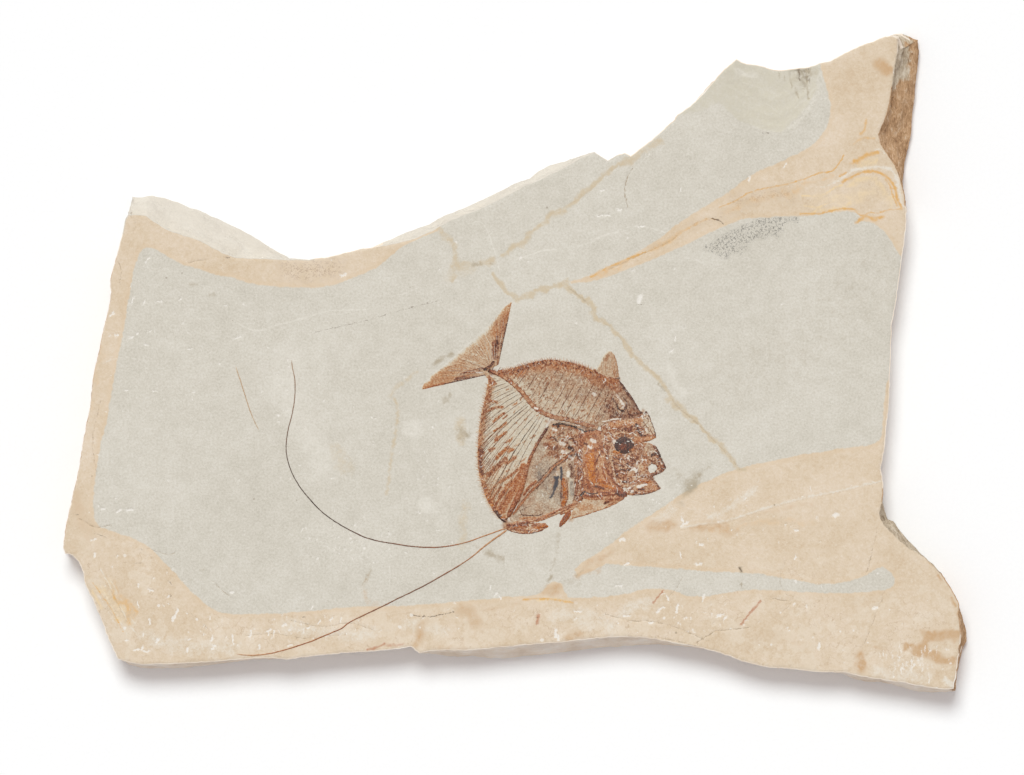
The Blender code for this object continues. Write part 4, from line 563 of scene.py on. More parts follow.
TRUNK_MARKS = (
    (0.3, 0.1, 4.4, 0, 17, -64, 20, -70, 17, -74), (0.24, 0.05, 4, 0, 16, -88, 22, -92, 27, -94),
    (0.6, 0.75, 1.3, 0.15, 24.6, -42.2, 30, -41.6, 36, -42.6, 42, -44.6, 50, -46),
    (1, 0.05, 0.6, 0.25, 24.6, -41.8, 26.6, -41.2, 27.6, -41),
    (1, 0, 0.8, 0.25, 28, -42.4, 28.6, -40.8, 31.4, -40.8), (1, 0, 0.7, 0.25, 32.6, -41.2, 35.4, -41.8),
    (1, 0, 0.7, 0.25, 36.6, -42, 40, -43.2), (1, 0, 0.75, 0.25, 41.4, -43.8, 45.4, -45.4, 47, -45.6),
    (0.92, 0, 0.5, 0.25, 48.6, -45.4, 52, -45.2), (0.86, 0.1, 0.3, 0.15, 54, -44.9, 59, -44),
    (0.9, 0.2, 0.45, 0.15, 27.6, -43.6, 29, -42.6),
    (0.8, 0.45, 0.8, 0.1, 22.6, -50.4, 25, -50.2, 27.2, -52.4),
    (0.62, 0.55, 1.7, 0.1, 19.6, -54.4, 23.4, -56.8, 27, -57),
    (0.74, 0.6, 0.9, 0.1, 24.6, -57.8, 27, -55.6),
    (0.58, 0.55, 1.8, 0.1, 22, -61, 25.6, -60.4, 28.4, -63.4), (0.5, 0.45, 0.5, 0.1, 20, -61, 16.6, -64),
    (0.45, 0.4, 0.3, 0.1, 22, -59.6, 14, -68, 11, -71),
    (0.92, 0.45, 1.5, 0.15, 35.8, -56.6, 37.2, -57.2, 38, -58.4),
    (0.74, 0.7, 0.9, 0.1, 38, -51.6, 39.6, -54.6), (0.82, 0.45, 0.5, 0.1, 35.4, -51, 38, -50.8, 38.6, -53),
    (0.56, 0.85, 0.7, 0.3, 37, -60.4, 30, -65.6, 25, -69.6, 20, -75.4, 13, -83),
    (0.86, 0.3, 0.32, 0.35, 36.6, -59.6, 30, -64.6, 24.6, -68.4, 19.6, -74, 12.6, -81.6),
    (0.84, 0.3, 0.32, 0.35, 37.4, -61.4, 30.6, -66.4, 25.6, -70.6, 20.6, -76.4, 13.6, -84),
    (0.66, 0.9, 1.1, 0.3, 13, -79.4, 9, -83, 5.2, -88),
    (0.66, 0.7, 0.35, 0.3, 13.6, -82.8, 9, -88, 4.2, -94, -0.8, -100),
    (0.56, 0.85, 0.8, 0.3, 12.4, -83.4, 8, -88.6, 3, -94.8, -1.8, -101),
    (0.72, 0.6, 0.3, 0.3, 11.4, -83.4, 7, -88.8, 2.4, -94.4, -2.4, -100.4),
    (0.84, 0.05, 0.3, 0.1, 3, -99, 4, -101.4, 5.6, -102, 9, -102, 14, -102, 17.6, -100.8),
    (0.8, 0.05, 0.35, 0.1, 4, -98.2, 5.6, -97.6, 7.4, -96.4),
    (0.45, 0.85, 0.8, 0.1, 3, -104.2, 9, -103.4, 15, -104),
    (0.6, 1, 1.7, 0.35, 31.4, -78.4, 32.4, -84, 32.4, -90, 31.4, -95),
    (0.78, 0.55, 0.4, 0.35, 30, -77, 30.2, -84, 30, -92),
    (0.72, 0.65, 0.35, 0.3, 33.6, -78, 34.4, -84, 34.2, -91, 32.6, -95.6),
    (0.2, 0.05, 1.9, 0.2, 36.4, -73, 37, -80, 37, -88, 35.6, -94),
    (0.7, 0.3, 1.5, 0.2, 35.8, -68.6, 37.8, -72, 37.2, -76), (0.14, 0.2, 0.9, 0.2, 34.6, -72, 34.8, -76),
    (0.72, 0.55, 0.5, 0.2, 39.4, -76, 39.6, -84, 38.6, -92), (0.4, 0.35, 0.3, 0.1, 30, -46, 35, -43.6),
    (0.66, 0.6, 0.4, 0.15, 28.6, -48, 33, -45, 36.6, -43.6),
    (0.62, 0.75, 0.5, 0.15, 30.4, -52.6, 33.4, -48.6, 37, -46.6),
    (0.66, 0.65, 0.4, 0.15, 33.4, -56.6, 34.6, -51.6, 37.6, -48.4),
    (0.6, 0.7, 0.5, 0.15, 29.6, -56, 32.4, -58.6, 31.4, -61.4),
    (0.6, 0.75, 1.1, 0.4, 44, -47.4, 43, -56, 43.4, -66, 44, -76, 44, -86),
    (0.5, 0.85, 1.2, 0.3, 47.4, -47.6, 45.2, -50.6, 44, -56),
    (0.74, 0.6, 0.7, 0.2, 45.4, -53.6, 47.2, -54.6), (0.64, 0.5, 0.6, 0.2, 41, -60, 41.6, -68, 40.8, -76),
    (0.68, 0.65, 0.7, 0.2, 41.6, -74, 41.4, -80, 40.6, -86),
    (0.78, 0.3, 0.9, 0.2, 40.4, -61.6, 42.4, -63.4), (0.92, 0.1, 1, 0.2, 43.6, -88.4, 45, -86.6),
    (0.6, 0.85, 0.7, 0.3, 44, -89.6, 41.6, -92.4, 38.6, -95, 36.4, -96.8),
    (0.8, 0.5, 0.35, 0.2, 44.6, -90.6, 42.4, -93.6, 40.4, -96),
)
KEEL_MARKS = (
    (0.64, 0.85, 0.42, 0.3, -6, -108.4, 2, -107, 12, -105.6, 20, -102.6, 28, -98.8, 36, -95.4, 40.4, -93.6),
    (0.66, 0.8, 0.35, 0.3, 6, -107.6, 14, -106.4, 22, -103.8, 30, -99.8, 37, -96.4),
    (0.72, 0.85, 1.3, 0.3, -5.4, -108.6, 0, -109.2, 5, -107.8, 8, -106.4),
    (0.56, 0.95, 0.7, 0.2, -3, -110.4, 3, -109.6, 8, -108.6),
    (0.52, 1, 1.4, 0.3, 12.6, -110.4, 17, -109, 20.4, -109),
    (0.74, 0.75, 0.5, 0.3, -6, -111.6, 0, -113.6, 8, -114, 14, -113, 18, -111.4),
    (0.7, 0.8, 0.45, 0.2, -4, -111.2, 2, -111.6, 9, -112.4),
    (0.62, 0.95, 1.7, 0.35, 30, -107.6, 32.6, -104, 35.6, -100.2),
    (0.74, 0.7, 0.4, 0.3, 29.2, -109, 31.4, -106.4, 33.6, -103),
    (0.4, 0.8, 0.35, 0.3, 31, -107, 33.6, -103.6),
)
GILL_MARKS = (
    (0.46, 1, 3, 0.1, 50, -62.4, 50, -68, 50.6, -76), (0.3, 0.8, 2.2, 0, 56.4, -64, 57, -70, 59, -76),
    (0.54, 1, 1, 0.15, 46.8, -62, 47.4, -67, 49.6, -72, 50.8, -77),
    (0.58, 0.95, 0.8, 0.15, 52.4, -62.4, 52.6, -68, 51.6, -74),
    (0.66, 0.75, 0.5, 0.15, 55.4, -56.8, 56.8, -59.4, 55, -62.6, 53.4, -66),
    (0.52, 0.95, 1.4, 0.1, 51.4, -58.4, 53.6, -57.4),
    (0.62, 0.95, 1.2, 0.2, 47.6, -78.6, 48.8, -82, 50.4, -86),
    (0.54, 1, 1.5, 0.2, 51.6, -79.2, 56, -78.8, 61, -79.8),
    (0.82, 0.7, 0.9, 0.2, 53.2, -82.4, 55.6, -83, 58.2, -84.2),
    (0.5, 1, 1, 0.1, 57, -81.6, 62, -83, 66, -84.6), (0.66, 0.8, 0.5, 0.2, 54, -86, 58, -86.8, 63, -86.6),
    (0.66, 0.8, 0.8, 0.2, 59.4, -67, 61, -72, 64, -77, 68, -82, 71, -85),
    (0.58, 0.9, 0.7, 0.2, 57.6, -70, 59, -76, 62.6, -80.6),
    (0.66, 0.9, 0.8, 0.3, 46, -88.6, 52, -89.2, 60, -88.2, 66, -88),
    (0.95, 0.05, 0.5, 0.15, 46, -86.2, 48.6, -87.4, 51.4, -87.6, 54.6, -87),
    (0.78, 0.8, 2, 0.35, 67, -86.6, 70, -88, 72.4, -87.8), (0.6, 0.8, 1, 0.2, 64.6, -85.6, 68, -85.2),
    (0.48, 0.85, 1.3, 0.2, 46.6, -49.6, 48.6, -47.8, 51, -47.6),
    (0.56, 0.6, 0.5, 0.1, 51, -48.6, 54.6, -50.4, 56.6, -53.6),
    (0.4, 0.6, 1.4, 0.1, 54.6, -50.6, 57, -52.6), (0.58, 0.75, 0.45, 0.1, 57.4, -53, 58.6, -58, 60, -64),
    (0.34, 0.75, 2.2, 0, 42, -95.6, 45.6, -97, 50, -96.4),
    (0.56, 0.85, 0.5, 0.25, 37.6, -103.8, 46, -101.6, 54, -99.2, 60, -97, 66, -94.2, 71.4, -90.8),
    (0.58, 0.75, 1.2, 0.15, 60, -92.8, 64, -91.6, 68, -91.2),
    (0.82, 0.5, 0.8, 0.15, 59, -93.8, 61.6, -92.6), (0.6, 0.7, 0.6, 0.1, 62, -95, 66, -93),
)
SKULL_MARKS = (
    (0.34, 0.85, 2, 0.1, 64, -41.6, 72, -40.4, 80, -39.4, 83, -38),
    (0.6, 0.5, 0.9, 0.1, 69.6, -37.4, 76, -36.8, 83, -35.6),
    (0.58, 0.8, 0.8, 0.2, 64.6, -44.6, 70, -42.8, 73, -43.4),
    (0.78, 0.8, 1.2, 0.2, 73, -44.2, 75.6, -44.6, 77, -43),
    (0.84, 0.6, 1.3, 0.2, 80.4, -41.4, 81.4, -44.8, 83.2, -48),
    (0.7, 0.75, 0.8, 0.2, 82.6, -49, 87, -48.8, 92, -48.2), (0.84, 0.25, 0.6, 0.2, 83.2, -48.4, 86, -48.6),
    (0.16, 0.3, 3.2, 0.1, 86.6, -36, 88, -41, 89.6, -45.6),
    (0.8, 0.2, 0.5, 0.3, 84.2, -34, 86.8, -32.6, 89, -36, 91, -41, 92.6, -46, 93.2, -50),
    (0.74, 0.3, 0.9, 0.2, 85.6, -33.6, 87.6, -34),
    (0.72, 0.25, 0.28, 0.2, 84.8, -35, 85.4, -39.6, 87, -42.6, 88.6, -45.6, 88, -48.4),
    (0.7, 0.3, 0.28, 0.2, 86, -36, 88.2, -38, 86.6, -41, 84.8, -42.6),
    (0.66, 0.4, 0.3, 0.2, 91.2, -42, 89.6, -44.6, 91, -47.6),
    (0.38, 0.9, 2, 0.1, 80.4, -51.2, 85, -51, 91.6, -50.2),
    (0.5, 0.85, 0.9, 0.1, 80, -53, 84, -52.4, 88, -52),
    (0.6, 0.55, 1, 0.3, 66, -49.6, 69, -47.8, 73, -47.8),
    (0.24, 0.5, 0.6, 0.2, 66.6, -47.8, 70, -46.6, 74, -47.4),
    (0.48, 1, 1.1, 0.2, 65.2, -59.4, 67.6, -60, 69.8, -60), (0.54, 1, 1.1, 0.2, 75.8, -58.8, 78.8, -57),
    (0.76, 0.7, 0.5, 0.2, 65, -63.4, 68, -64.4, 72, -64.8, 76, -63.6),
    (0.66, 0.7, 0.7, 0.2, 66, -67.4, 71, -68.4, 76, -66.6, 79, -64.6, 83, -62.6),
    (0.66, 0.75, 0.9, 0.2, 77, -68, 79.6, -65.4, 81, -63),
    (0.78, 0.5, 0.8, 0.2, 70, -71.4, 74, -72, 76.4, -70.6),
    (0.6, 0.6, 0.6, 0.2, 66, -70.4, 70, -73.6, 74, -74.8),
    (0.8, 0.6, 1, 0.2, 71, -79.4, 74, -79.4, 74.6, -77.6),
    (0.7, 0.65, 0.8, 0.2, 67, -76, 70, -77.4, 73, -76),
    (0.7, 0.65, 0.7, 0.2, 64.8, -66, 66, -71, 67.6, -75),
    (0.24, 0.4, 0.6, 0.2, 62.6, -58, 63.6, -64, 65, -71, 66, -78),
    (0.58, 0.7, 0.45, 0.2, 60.4, -55, 61.2, -61, 62.6, -68, 64, -73),
    (0.52, 0.65, 0.6, 0.1, 57.6, -46, 60, -49.6, 59.4, -54),
    (0.54, 0.6, 0.5, 0.1, 60, -44, 63.4, -47.6, 63, -53),
    (0.95, 0.05, 0.35, 0.15, 55.8, -42.6, 57.6, -41.2, 60.4, -40.4),
    (0.92, 0.1, 0.6, 0.15, 54.4, -46.4, 55.4, -48), (0.5, 0.5, 1.8, 0, 80.6, -56, 84, -58, 82.6, -62),
    (0.28, 0.15, 2, 0, 88.4, -55.4, 90.4, -58, 89, -61), (0.7, 0.45, 0.5, 0.2, 91.6, -55.4, 93, -58.6),
    (0.86, 0.6, 1.2, 0.2, 90.6, -62, 93, -60.8, 95, -60.6),
    (0.8, 0.2, 0.4, 0.3, 92.4, -54.6, 94, -57.4, 95.6, -60.4),
    (0.84, 0.3, 0.9, 0.3, 95.4, -60.4, 96.8, -64.4, 99.6, -69.8),
    (0.66, 0.6, 0.7, 0.3, 94.8, -62, 95, -66, 97, -70.6),
    (0.7, 0.65, 1, 0.3, 99, -70.4, 96, -72.8, 91, -75),
    (0.52, 0.7, 0.5, 0.2, 87.6, -66.6, 87, -70, 88.6, -73.6),
    (0.56, 0.8, 0.5, 0.2, 84, -66.6, 86, -69, 84.6, -73), (0.26, 0.6, 1.6, 0.1, 83, -69, 84, -74),
    (0.62, 0.65, 0.6, 0.2, 80, -74, 84, -76, 88, -75.6),
    (0.6, 0.55, 0.5, 0.2, 86, -62.6, 89.6, -65, 93, -66.4),
    (0.56, 1, 0.9, 0.3, 80.6, -78.6, 84, -79.2, 89, -80), (0.8, 0.6, 0.8, 0.2, 82, -84.6, 85.4, -84.6),
    (0.72, 0.8, 0.7, 0.3, 77.6, -88, 82, -87.8, 88, -87.4, 92, -86),
    (0.34, 0.75, 2, 0.1, 89, -82.4, 93, -84),
    (0.6, 0.3, 0.9, 0.3, 88.4, -77, 91, -77.8, 93.6, -80.6, 95.6, -83.2),
    (0.52, 0.8, 0.5, 0.3, 84, -86, 90, -85.6, 95.6, -84),
    (0.66, 0.55, 0.5, 0.2, 75, -87.6, 76.6, -85, 78.4, -82.6),
    (0.76, 0.6, 0.6, 0.2, 77.4, -86.6, 80, -86.2),
)

# Strength, half width and rise, then x, y ...: bare white places, and blue-black stains.
# Two of the white places are painted highlights, glints of light: the one on the backbone at (13.6, -30.5)
# and the one on the fin supports at (-20.8, -68.7).
WHITE_PLACES = (
    (0.9, 0.6, 0, -26.4, -6.7, -22.4, -6.9), (0.9, 0.9, 0, 12.8, -30.4, 14.4, -30.6),
    (0.6, 1.4, 0, 51.4, -20.6, 53, -21.6), (0.4, 1.2, 0, 37.4, -27.4, 38.6, -27.8),
    (0.5, 1.1, 0, 67, -21.6, 69.4, -24.6, 70.6, -27.6), (0.6, 0.9, 0, 70.4, -25.6, 72, -28.6, 71, -30),
    (0.8, 0.5, 0, 58, -39.4, 63, -38.2, 70, -37.4), (0.7, 1.2, 0, 24.8, -44.4, 26.6, -45.2),
    (0.5, 0.8, 0, -21.6, -69, -20, -68.4), (0.6, 1.6, 0, 29.4, -53.6, 32, -54.6),
    (0.5, 1.2, 0, 31, -59.4, 33, -60), (0.6, 1.3, 0, 35.6, -62.6, 37.6, -64.4),
    (0.5, 0.6, 0, 41.6, -44.6, 43.4, -45.8, 45, -47), (0.7, 1.7, 0, 50.4, -52, 52.4, -52.8),
    (0.7, 1.1, 0, 48.4, -55.6, 50, -57), (0.5, 0.8, 0, 58.6, -57.6, 60, -60),
    (0.6, 0.5, 0.1, 65.4, -54, 66.4, -51.6), (0.8, 0.45, 0.1, 76.6, -51.8, 78.2, -53.6),
    (0.5, 0.8, 0, 86.6, -44, 87.4, -46.6), (0.6, 0.7, 0, 84, -35.4, 84.2, -37.4),
    (0.9, 1.3, 0.1, 79, -71, 80, -72.4), (0.5, 0.9, 0, 76.4, -80.6, 78.4, -79.6),
    (1, 0.9, 0.1, 81.4, -82.8, 84, -82, 86.8, -81.4), (0.7, 0.8, 0.1, 74.6, -84, 76, -83.4),
    (0.6, 0.6, 0, 76.6, -86.4, 78, -85.6), (0.6, 1.6, 0, 34.4, -75.6, 34.8, -73.4),
    (0.5, 0.7, 0, 65.4, -76.6, 66.4, -79), (0.5, 0.6, 0, 46.6, -86.8, 49, -88.2),
    (0.5, 1, 0, 26, -72.4, 27.4, -74.6), (0.4, 1, 0, 9, -110.4, 12, -111),
    (0.4, 2.4, 0, 14.6, -38, 17.6, -41.6), (0.4, 1.6, 0, 7.6, -43, 10, -45),
)
BLUE_STAINS = (
    (0.42, 4.6, 0, 25, -79, 29, -90), (0.34, 6, 0, 15, -70, 19, -80, 23, -88),
    (0.3, 3, 0, 28, -50, 34, -52), (1, 0.9, 0.1, 24.6, -76.2, 27, -77.2, 28, -76.2),
    (1, 1.4, 0.1, 27, -77, 26.8, -80.6, 25.6, -84), (1, 0.8, 0.1, 25.6, -84, 24.6, -87.4, 22.8, -90),
    (0.9, 1.1, 0.1, 30, -70.2, 30.4, -74, 30, -77.6), (0.6, 1.3, 0, 15.4, -73.6, 16.8, -77),
    (0.5, 0.7, 0, 14, -76, 16.4, -79.6), (0.35, 5, 0, 21, -78, 20, -86), (0.3, 3.4, 0, 22, -64.6, 21, -70),
    (0.3, 2, 0, 27, -88, 28, -94), (0.5, 1.8, 0, 37.2, -80, 37.4, -88),
    (0.5, 1.6, 0, 36.4, -62, 39.6, -61.4), (0.5, 1.4, 0, 26.4, -70.6, 24.6, -73.6),
)


# ------------------------------------------------------------------ lines and areas


def looped(outline: Line) -> np.ndarray:
    """The outline with its first place again at its end."""
    rows = np.array(outline, float)
    return np.vstack([rows, rows[:1]])


def pairs(numbers: Sequence[float]) -> np.ndarray:
    """Numbers x, y, x, y ... as rows of (x, y)."""
    return np.array(numbers, float).reshape(-1, 2)


def dense(line: Line, step: float, closed: bool = False) -> np.ndarray:
    """Points along a line, about a step apart, keeping each corner.

    Args:
        line: Rows of numbers whose first two are x and y in mm.
        step: Largest distance between points, in mm.
        closed: Whether the last row joins the first.

    Returns:
        One row for each point, with every column of the line interpolated.
    """
    rows = looped(line) if closed else np.array(line, float)
    found = []
    for start, end in zip(rows, rows[1:]):
        count = max(1, math.ceil(math.hypot(*(end - start)[:2]) / step))
        found.append(start + (end - start) * (np.arange(count)[:, None] / count))
    if not closed:
        found.append(rows[-1:])
    return np.vstack(found)


def places_at(line: Line, shares: Union[float, np.ndarray]) -> np.ndarray:
    """Places by their share of the way along a line.

    Args:
        line: Rows of (x, y).
        shares: One share or many, from 0 to 1.

    Returns:
        One (x, y), or a row for each share.
    """
    rows = np.array(line, float)[:, :2]
    steps = np.hypot(*np.diff(rows, axis=0).T)
    lengths = np.concatenate([[0.0], np.cumsum(steps)])
    wanted = np.asarray(shares) * lengths[-1]
    return np.stack([np.interp(wanted, lengths, column) for column in rows.T], axis=-1)


def rounded(line: Line, step: float) -> np.ndarray:
    """A smooth curve through the rows of a line.

    Args:
        line: Rows of numbers whose first two are x and y in mm.
        step: Largest distance between points, in mm.

    Returns:
        One row for each point, with every column carried along.
    """
    rows = np.array(line, float)
    padded = np.vstack([2 * rows[0] - rows[1], rows, 2 * rows[-1] - rows[-2]])
    found = []
    for p0, p1, p2, p3 in zip(padded, padded[1:], padded[2:], padded[3:]):
        count = max(1, math.ceil(math.hypot(*(p2 - p1)[:2]) / step))
        t = np.arange(count)[:, None] / count
        found.append(
            0.5 * (2 * p1 + (p2 - p0) * t + (2 * p0 - 5 * p1 + 4 * p2 - p3) * t**2
                   + (3 * p1 - p0 - 3 * p2 + p3) * t**3)
        )
    return np.vstack([*found, rows[-1:]])


def sideways(points: np.ndarray, closed: bool = False) -> np.ndarray:
    """Unit vectors to the right of the direction of travel.

    Args:
        points: Places along a line.
        closed: Whether the last place joins the first.

    Returns:
        One vector for each place.
    """
    if closed:
        along = np.roll(points, -1, axis=0) - np.roll(points, 1, axis=0)
    else:
        along = np.gradient(points, axis=0)
    right = np.stack([along[:, 1], -along[:, 0]], axis=1)
    return right / np.maximum(np.hypot(*right.T), 1e-9)[:, None]


def distance(points: np.ndarray, line: np.ndarray) -> np.ndarray:
    """How far each point is from a line.

    Args:
        points: Rows of (x, y).
        line: The corners of the line, as (x, y).

    Returns:
        One distance for each point, in mm.
    """
    nearest = np.full(len(points), np.inf)
    for start, end in zip(line, line[1:]):
        along = end - start
        share = np.clip((points - start) @ along / max(float(along @ along), 1e-12), 0.0, 1.0)
        away = points - start - share[:, None] * along
        nearest = np.minimum(nearest, np.einsum("ij,ij->i", away, away))
    return np.sqrt(nearest)


def inside(points: np.ndarray, outline: np.ndarray) -> np.ndarray:
    """Whether each point lies inside a closed outline.

    Args:
        points: Rows of (x, y).
        outline: The corners of the outline.

    Returns:
        True or False for each point.
    """
    x, y = points.T
    found = np.zeros(len(points), bool)
    for (x0, y0), (x1, y1) in zip(outline, np.roll(outline, -1, axis=0)):
        if y0 != y1:
            crosses = (y0 > y) != (y1 > y)
            found ^= crosses & (x < (x1 - x0) * (y - y0) / (y1 - y0) + x0)
    return found


def near(points: np.ndarray, line: np.ndarray, reach: float) -> np.ndarray:
    """The indices of the points in a line's box, grown by a reach."""
    low, high = line.min(axis=0) - reach, line.max(axis=0) + reach
    return np.flatnonzero(np.all((points >= low) & (points <= high), axis=1))


def grown(outline: np.ndarray, by: float) -> np.ndarray:
    """The closed outline moved outwards."""
    area = np.sum(outline[:, 0] * np.roll(outline[:, 1], -1) - np.roll(outline[:, 0], -1) * outline[:, 1])
    return outline + sideways(outline, closed=True) * math.copysign(by, area)


def rough(points: np.ndarray, length: float, octaves: int = 1, offset: float = 0.0) -> np.ndarray:
    """Smooth noise at each point.

    Args:
        points: Rows of (x, y) in mm.
        length: Size of its features, in mm.
        octaves: How many layers, each half as large and half as strong.
        offset: Which noise it is.

    Returns:
        Values from about -1 to 1.
    """
    places = points / length
    found = np.zeros(len(points))
    for octave in range(octaves):
        found += 0.5**octave * np.array([noise.noise(Vector((x, y, offset))) for x, y in places.tolist()])
        places = places * 2.03 + 7.1
    return found


def smooth(low: float, high: float, value: np.ndarray) -> np.ndarray:
    """0 below low, 1 above high and a smooth turn between."""
    share = np.clip((value - low) / (high - low), 0.0, 1.0)
    return share * share * (3.0 - 2.0 * share)


def triangulate(outline: np.ndarray, points: np.ndarray) -> tuple[np.ndarray, np.ndarray]:
    """Triangles that fill an outline and use every given point.

    Args:
        outline: The closed boundary.
        points: Places for vertices inside it.

    Returns:
        The vertices as (x, y) and the triangles, turned anticlockwise.
    """
    count = len(outline)
    edges = [(i, (i + 1) % count) for i in range(count)]
    places = [Vector(row) for row in np.vstack([outline, points]).tolist()]
    result = geometry.delaunay_2d_cdt(places, edges, [], 0, 1e-4, False)
    found = np.array([tuple(v) for v in result[0]])
    faces = np.array([f for f in result[2] if len(f) == 3])
    faces = faces[inside(found[faces].mean(axis=1), outline)]
    a, b, c = (found[faces[:, k]] for k in range(3))
    area = (b - a)[:, 0] * (c - a)[:, 1] - (b - a)[:, 1] * (c - a)[:, 0]
    faces[area < 0] = faces[area < 0][:, ::-1]
    return found, faces[np.abs(area) > 1e-7]


def scattered(outline: np.ndarray, step: float, rng: np.random.Generator, keep_off: float) -> np.ndarray:
    """Loosely gridded places inside an outline.

    Args:
        outline: The closed boundary.
        step: Distance between places, in mm.
        rng: Moves them off the grid.
        keep_off: How near to the outline one may be, in mm.

    Returns:
        Rows of (x, y).
    """
    low, high = outline.min(axis=0), outline.max(axis=0)
    xs = np.arange(low[0], high[0] + step, step)
    ys = np.arange(low[1], high[1] + step, step * 0.87)
    grid = np.stack(np.meshgrid(xs, ys), axis=-1)
    grid[1::2, :, 0] += step / 2
    places = grid.reshape(-1, 2) + rng.uniform(-0.22, 0.22, (grid.size // 2, 2)) * step
    places = places[inside(places, outline)]
    return places[distance(places, looped(outline)) > keep_off]


# ------------------------------------------------------------------ painting values onto points


@dataclass
class Painter:
    """Holds per-point values for some places and lays marks on them with ragged edges.

    Attributes:
        points: The places, as (x, y) in mm.
        wobble: How far the edges of marks wander, in mm.
        broad_from: The half width in mm from which the edges wander far more.
        values: The values of each named channel.
    """

    points: np.ndarray
    wobble: float = 0.45
    broad_from: float = math.inf
    values: dict[str, np.ndarray] = field(default_factory=dict)

    def __post_init__(self) -> None:
        """Works out where each point reads the marks from."""
        self.height = np.zeros(len(self.points))
        self.places = self._moved(1.4, (3.7, 9.2), self.wobble)
        self.broad = self._moved(9.0, (1.3, 6.1), 3.0)
        self.crumble = rough(self.points, 1.1, 2, 12.0)

    def _moved(self, length: float, offsets: Range, reach: float) -> np.ndarray:
        """The points moved by noise of a length, as far as the reach."""
        shift = [rough(self.points, length, 3, offset) for offset in offsets]
        return self.points + np.stack(shift, axis=1) * reach

    def fill(self, **values: float) -> None:
        """Starts each named value at one number."""
        for name, value in values.items():
            self.values[name] = np.full(len(self.points), float(value))

    def mark(self, numbers: Sequence[float], half_width: float, strength: float = 1.0,
             soft: float = 0.45, rise: float = 0.0, broken: float = 0.0, **targets: float) -> None:
        """Blends named values towards targets along a line, and raises it.

        Args:
            numbers: x, y, x, y ... along the mark.
            half_width: Half its width in mm.
            strength: How fully the targets replace what was there.
            soft: The share of the half width over which the edge fades.
            rise: Height in mm at the middle.
            broken: How far the mark crumbles away in places.
            **targets: The value each channel moves to.
        """
        line = rounded(pairs(numbers), max(0.6, half_width))
        places = self.places if half_width < self.broad_from else self.broad
        found = near(places, line, half_width)
        away = distance(places[found], line) / half_width
        found, away = found[away < 1.0], away[away < 1.0]
        weight = strength * smooth(0.0, soft, 1.0 - away)
        weight = weight * (1.0 - broken * smooth(0.1, -0.3, self.crumble[found]))
        for name, target in targets.items():
            old = self.values[name][found]
            self.values[name][found] = old + (target - old) * weight
        self.height[found] += rise * np.sqrt(1.0 - away**2)


# ------------------------------------------------------------------ meshes


def linked(name: str, data: bpy.types.ID) -> bpy.types.Object:
    """Puts a new object into the scene.

    Args:
        name: Its name.
        data: Its mesh, light or camera.

    Returns:
        The object.
    """
    made = bpy.data.objects.new(name, data)
    bpy.context.scene.collection.objects.link(made)
    return made


@dataclass
class Skin:
    """Gathers points, faces and per-point values, and makes one mesh object of them."""

    channels: tuple[str, ...]
    points: list[np.ndarray] = field(default_factory=list)
    faces: list[np.ndarray] = field(default_factory=list)
    values: dict[str, list[np.ndarray]] = field(default_factory=dict)
    count: int = 0

    def add(self, points: np.ndarray, faces: np.ndarray, **values: Union[np.ndarray, float]) -> None:
        """Adds one part of the mesh.

        Args:
            points: Rows of (x, y, z) in mm.
            faces: Triangles of indices into those rows.
            **values: The values of each channel. One that is left out is 0.
        """
        self.points.append(points)
        self.faces.append(faces + self.count)
        for name in self.channels:
            column = np.broadcast_to(np.asarray(values.get(name, 0.0), float), len(points))
            self.values.setdefault(name, []).append(column)
        self.count += len(points)

    def build(self, name: str, material: bpy.types.Material, crease: Optional[float] = None
              ) -> bpy.types.Object:
        """Makes the object.

        Args:
            name: The object's name.
            material: What it is made of.
            crease: Angle in degrees above which an edge stays sharp.

        Returns:
            The new object, linked to the scene.
        """
        mesh = bpy.data.meshes.new(name)
        mesh.from_pydata((np.vstack(self.points) * MM).tolist(), [], np.vstack(self.faces).tolist())
        for channel in self.channels:
            layer = mesh.attributes.new(channel, "FLOAT", "POINT")
            layer.data.foreach_set("value", np.concatenate(self.values[channel]).astype(np.float32))
        mesh.shade_smooth()
        if crease is not None:
            mesh.set_sharp_from_angle(angle=math.radians(crease))
        mesh.validate()
        mesh.materials.append(material)
        return linked(name, mesh)


def grid_faces(rows: int, columns: int) -> np.ndarray:
    """The triangles of a grid of points.

    Args:
        rows: How many rows there are, numbered one after the other.
        columns: How many points are in each.

    Returns:
        Rows of three indices.
    """
    i, k = np.meshgrid(np.arange(rows - 1), np.arange(columns - 1), indexing="ij")
    a = (i * columns + k).ravel()
    b = a + columns
    return np.vstack([np.column_stack([a, b, b + 1]), np.column_stack([a, b + 1, a + 1])])[:, ::-1]


# A ridge across: how far to the side, and its share of the rise. One below 0 is sunk in the stone.
RIDGE = ((-1.0, -1.0), (-0.62, 0.72), (0.0, 1.0), (0.62, 0.72), (1.0, -1.0))
RIDGE_SUNK = -0.15


def strip(line: np.ndarray, half_widths: np.ndarray, rise: Union[np.ndarray, float],
          base: float = FILM_BASE) -> tuple[np.ndarray, np.ndarray]:
    """A low rounded ridge along a line, its edges sunk in what lies below.

    Args:
        line: Places along it.
        half_widths: Half its width at each place, in mm.
        rise: Its height over the base, in mm.
        base: The height of what lies below, in mm.

    Returns:
        Its points and its triangles.
    """
    right = sideways(line)
    rows = []
    for side, lift in RIDGE:
        height = base + (RIDGE_SUNK if lift < 0.0 else lift * rise)
        place = line + right * (half_widths * side)[:, None]
        rows.append(np.column_stack([place, np.broadcast_to(height, len(line))]))
    return np.stack(rows, axis=1).reshape(-1, 3), grid_faces(len(line), len(RIDGE))


# ------------------------------------------------------------------ materials


def linear(levels: Levels) -> tuple[float, float, float, float]:
    """A colour given in 0 to 255 display levels, as a linear one."""
    shares = [level / 255.0 for level in levels]
    return (*(s / 12.92 if s <= 0.04045 else ((s + 0.055) / 1.055) ** 2.4 for s in shares), 1.0)


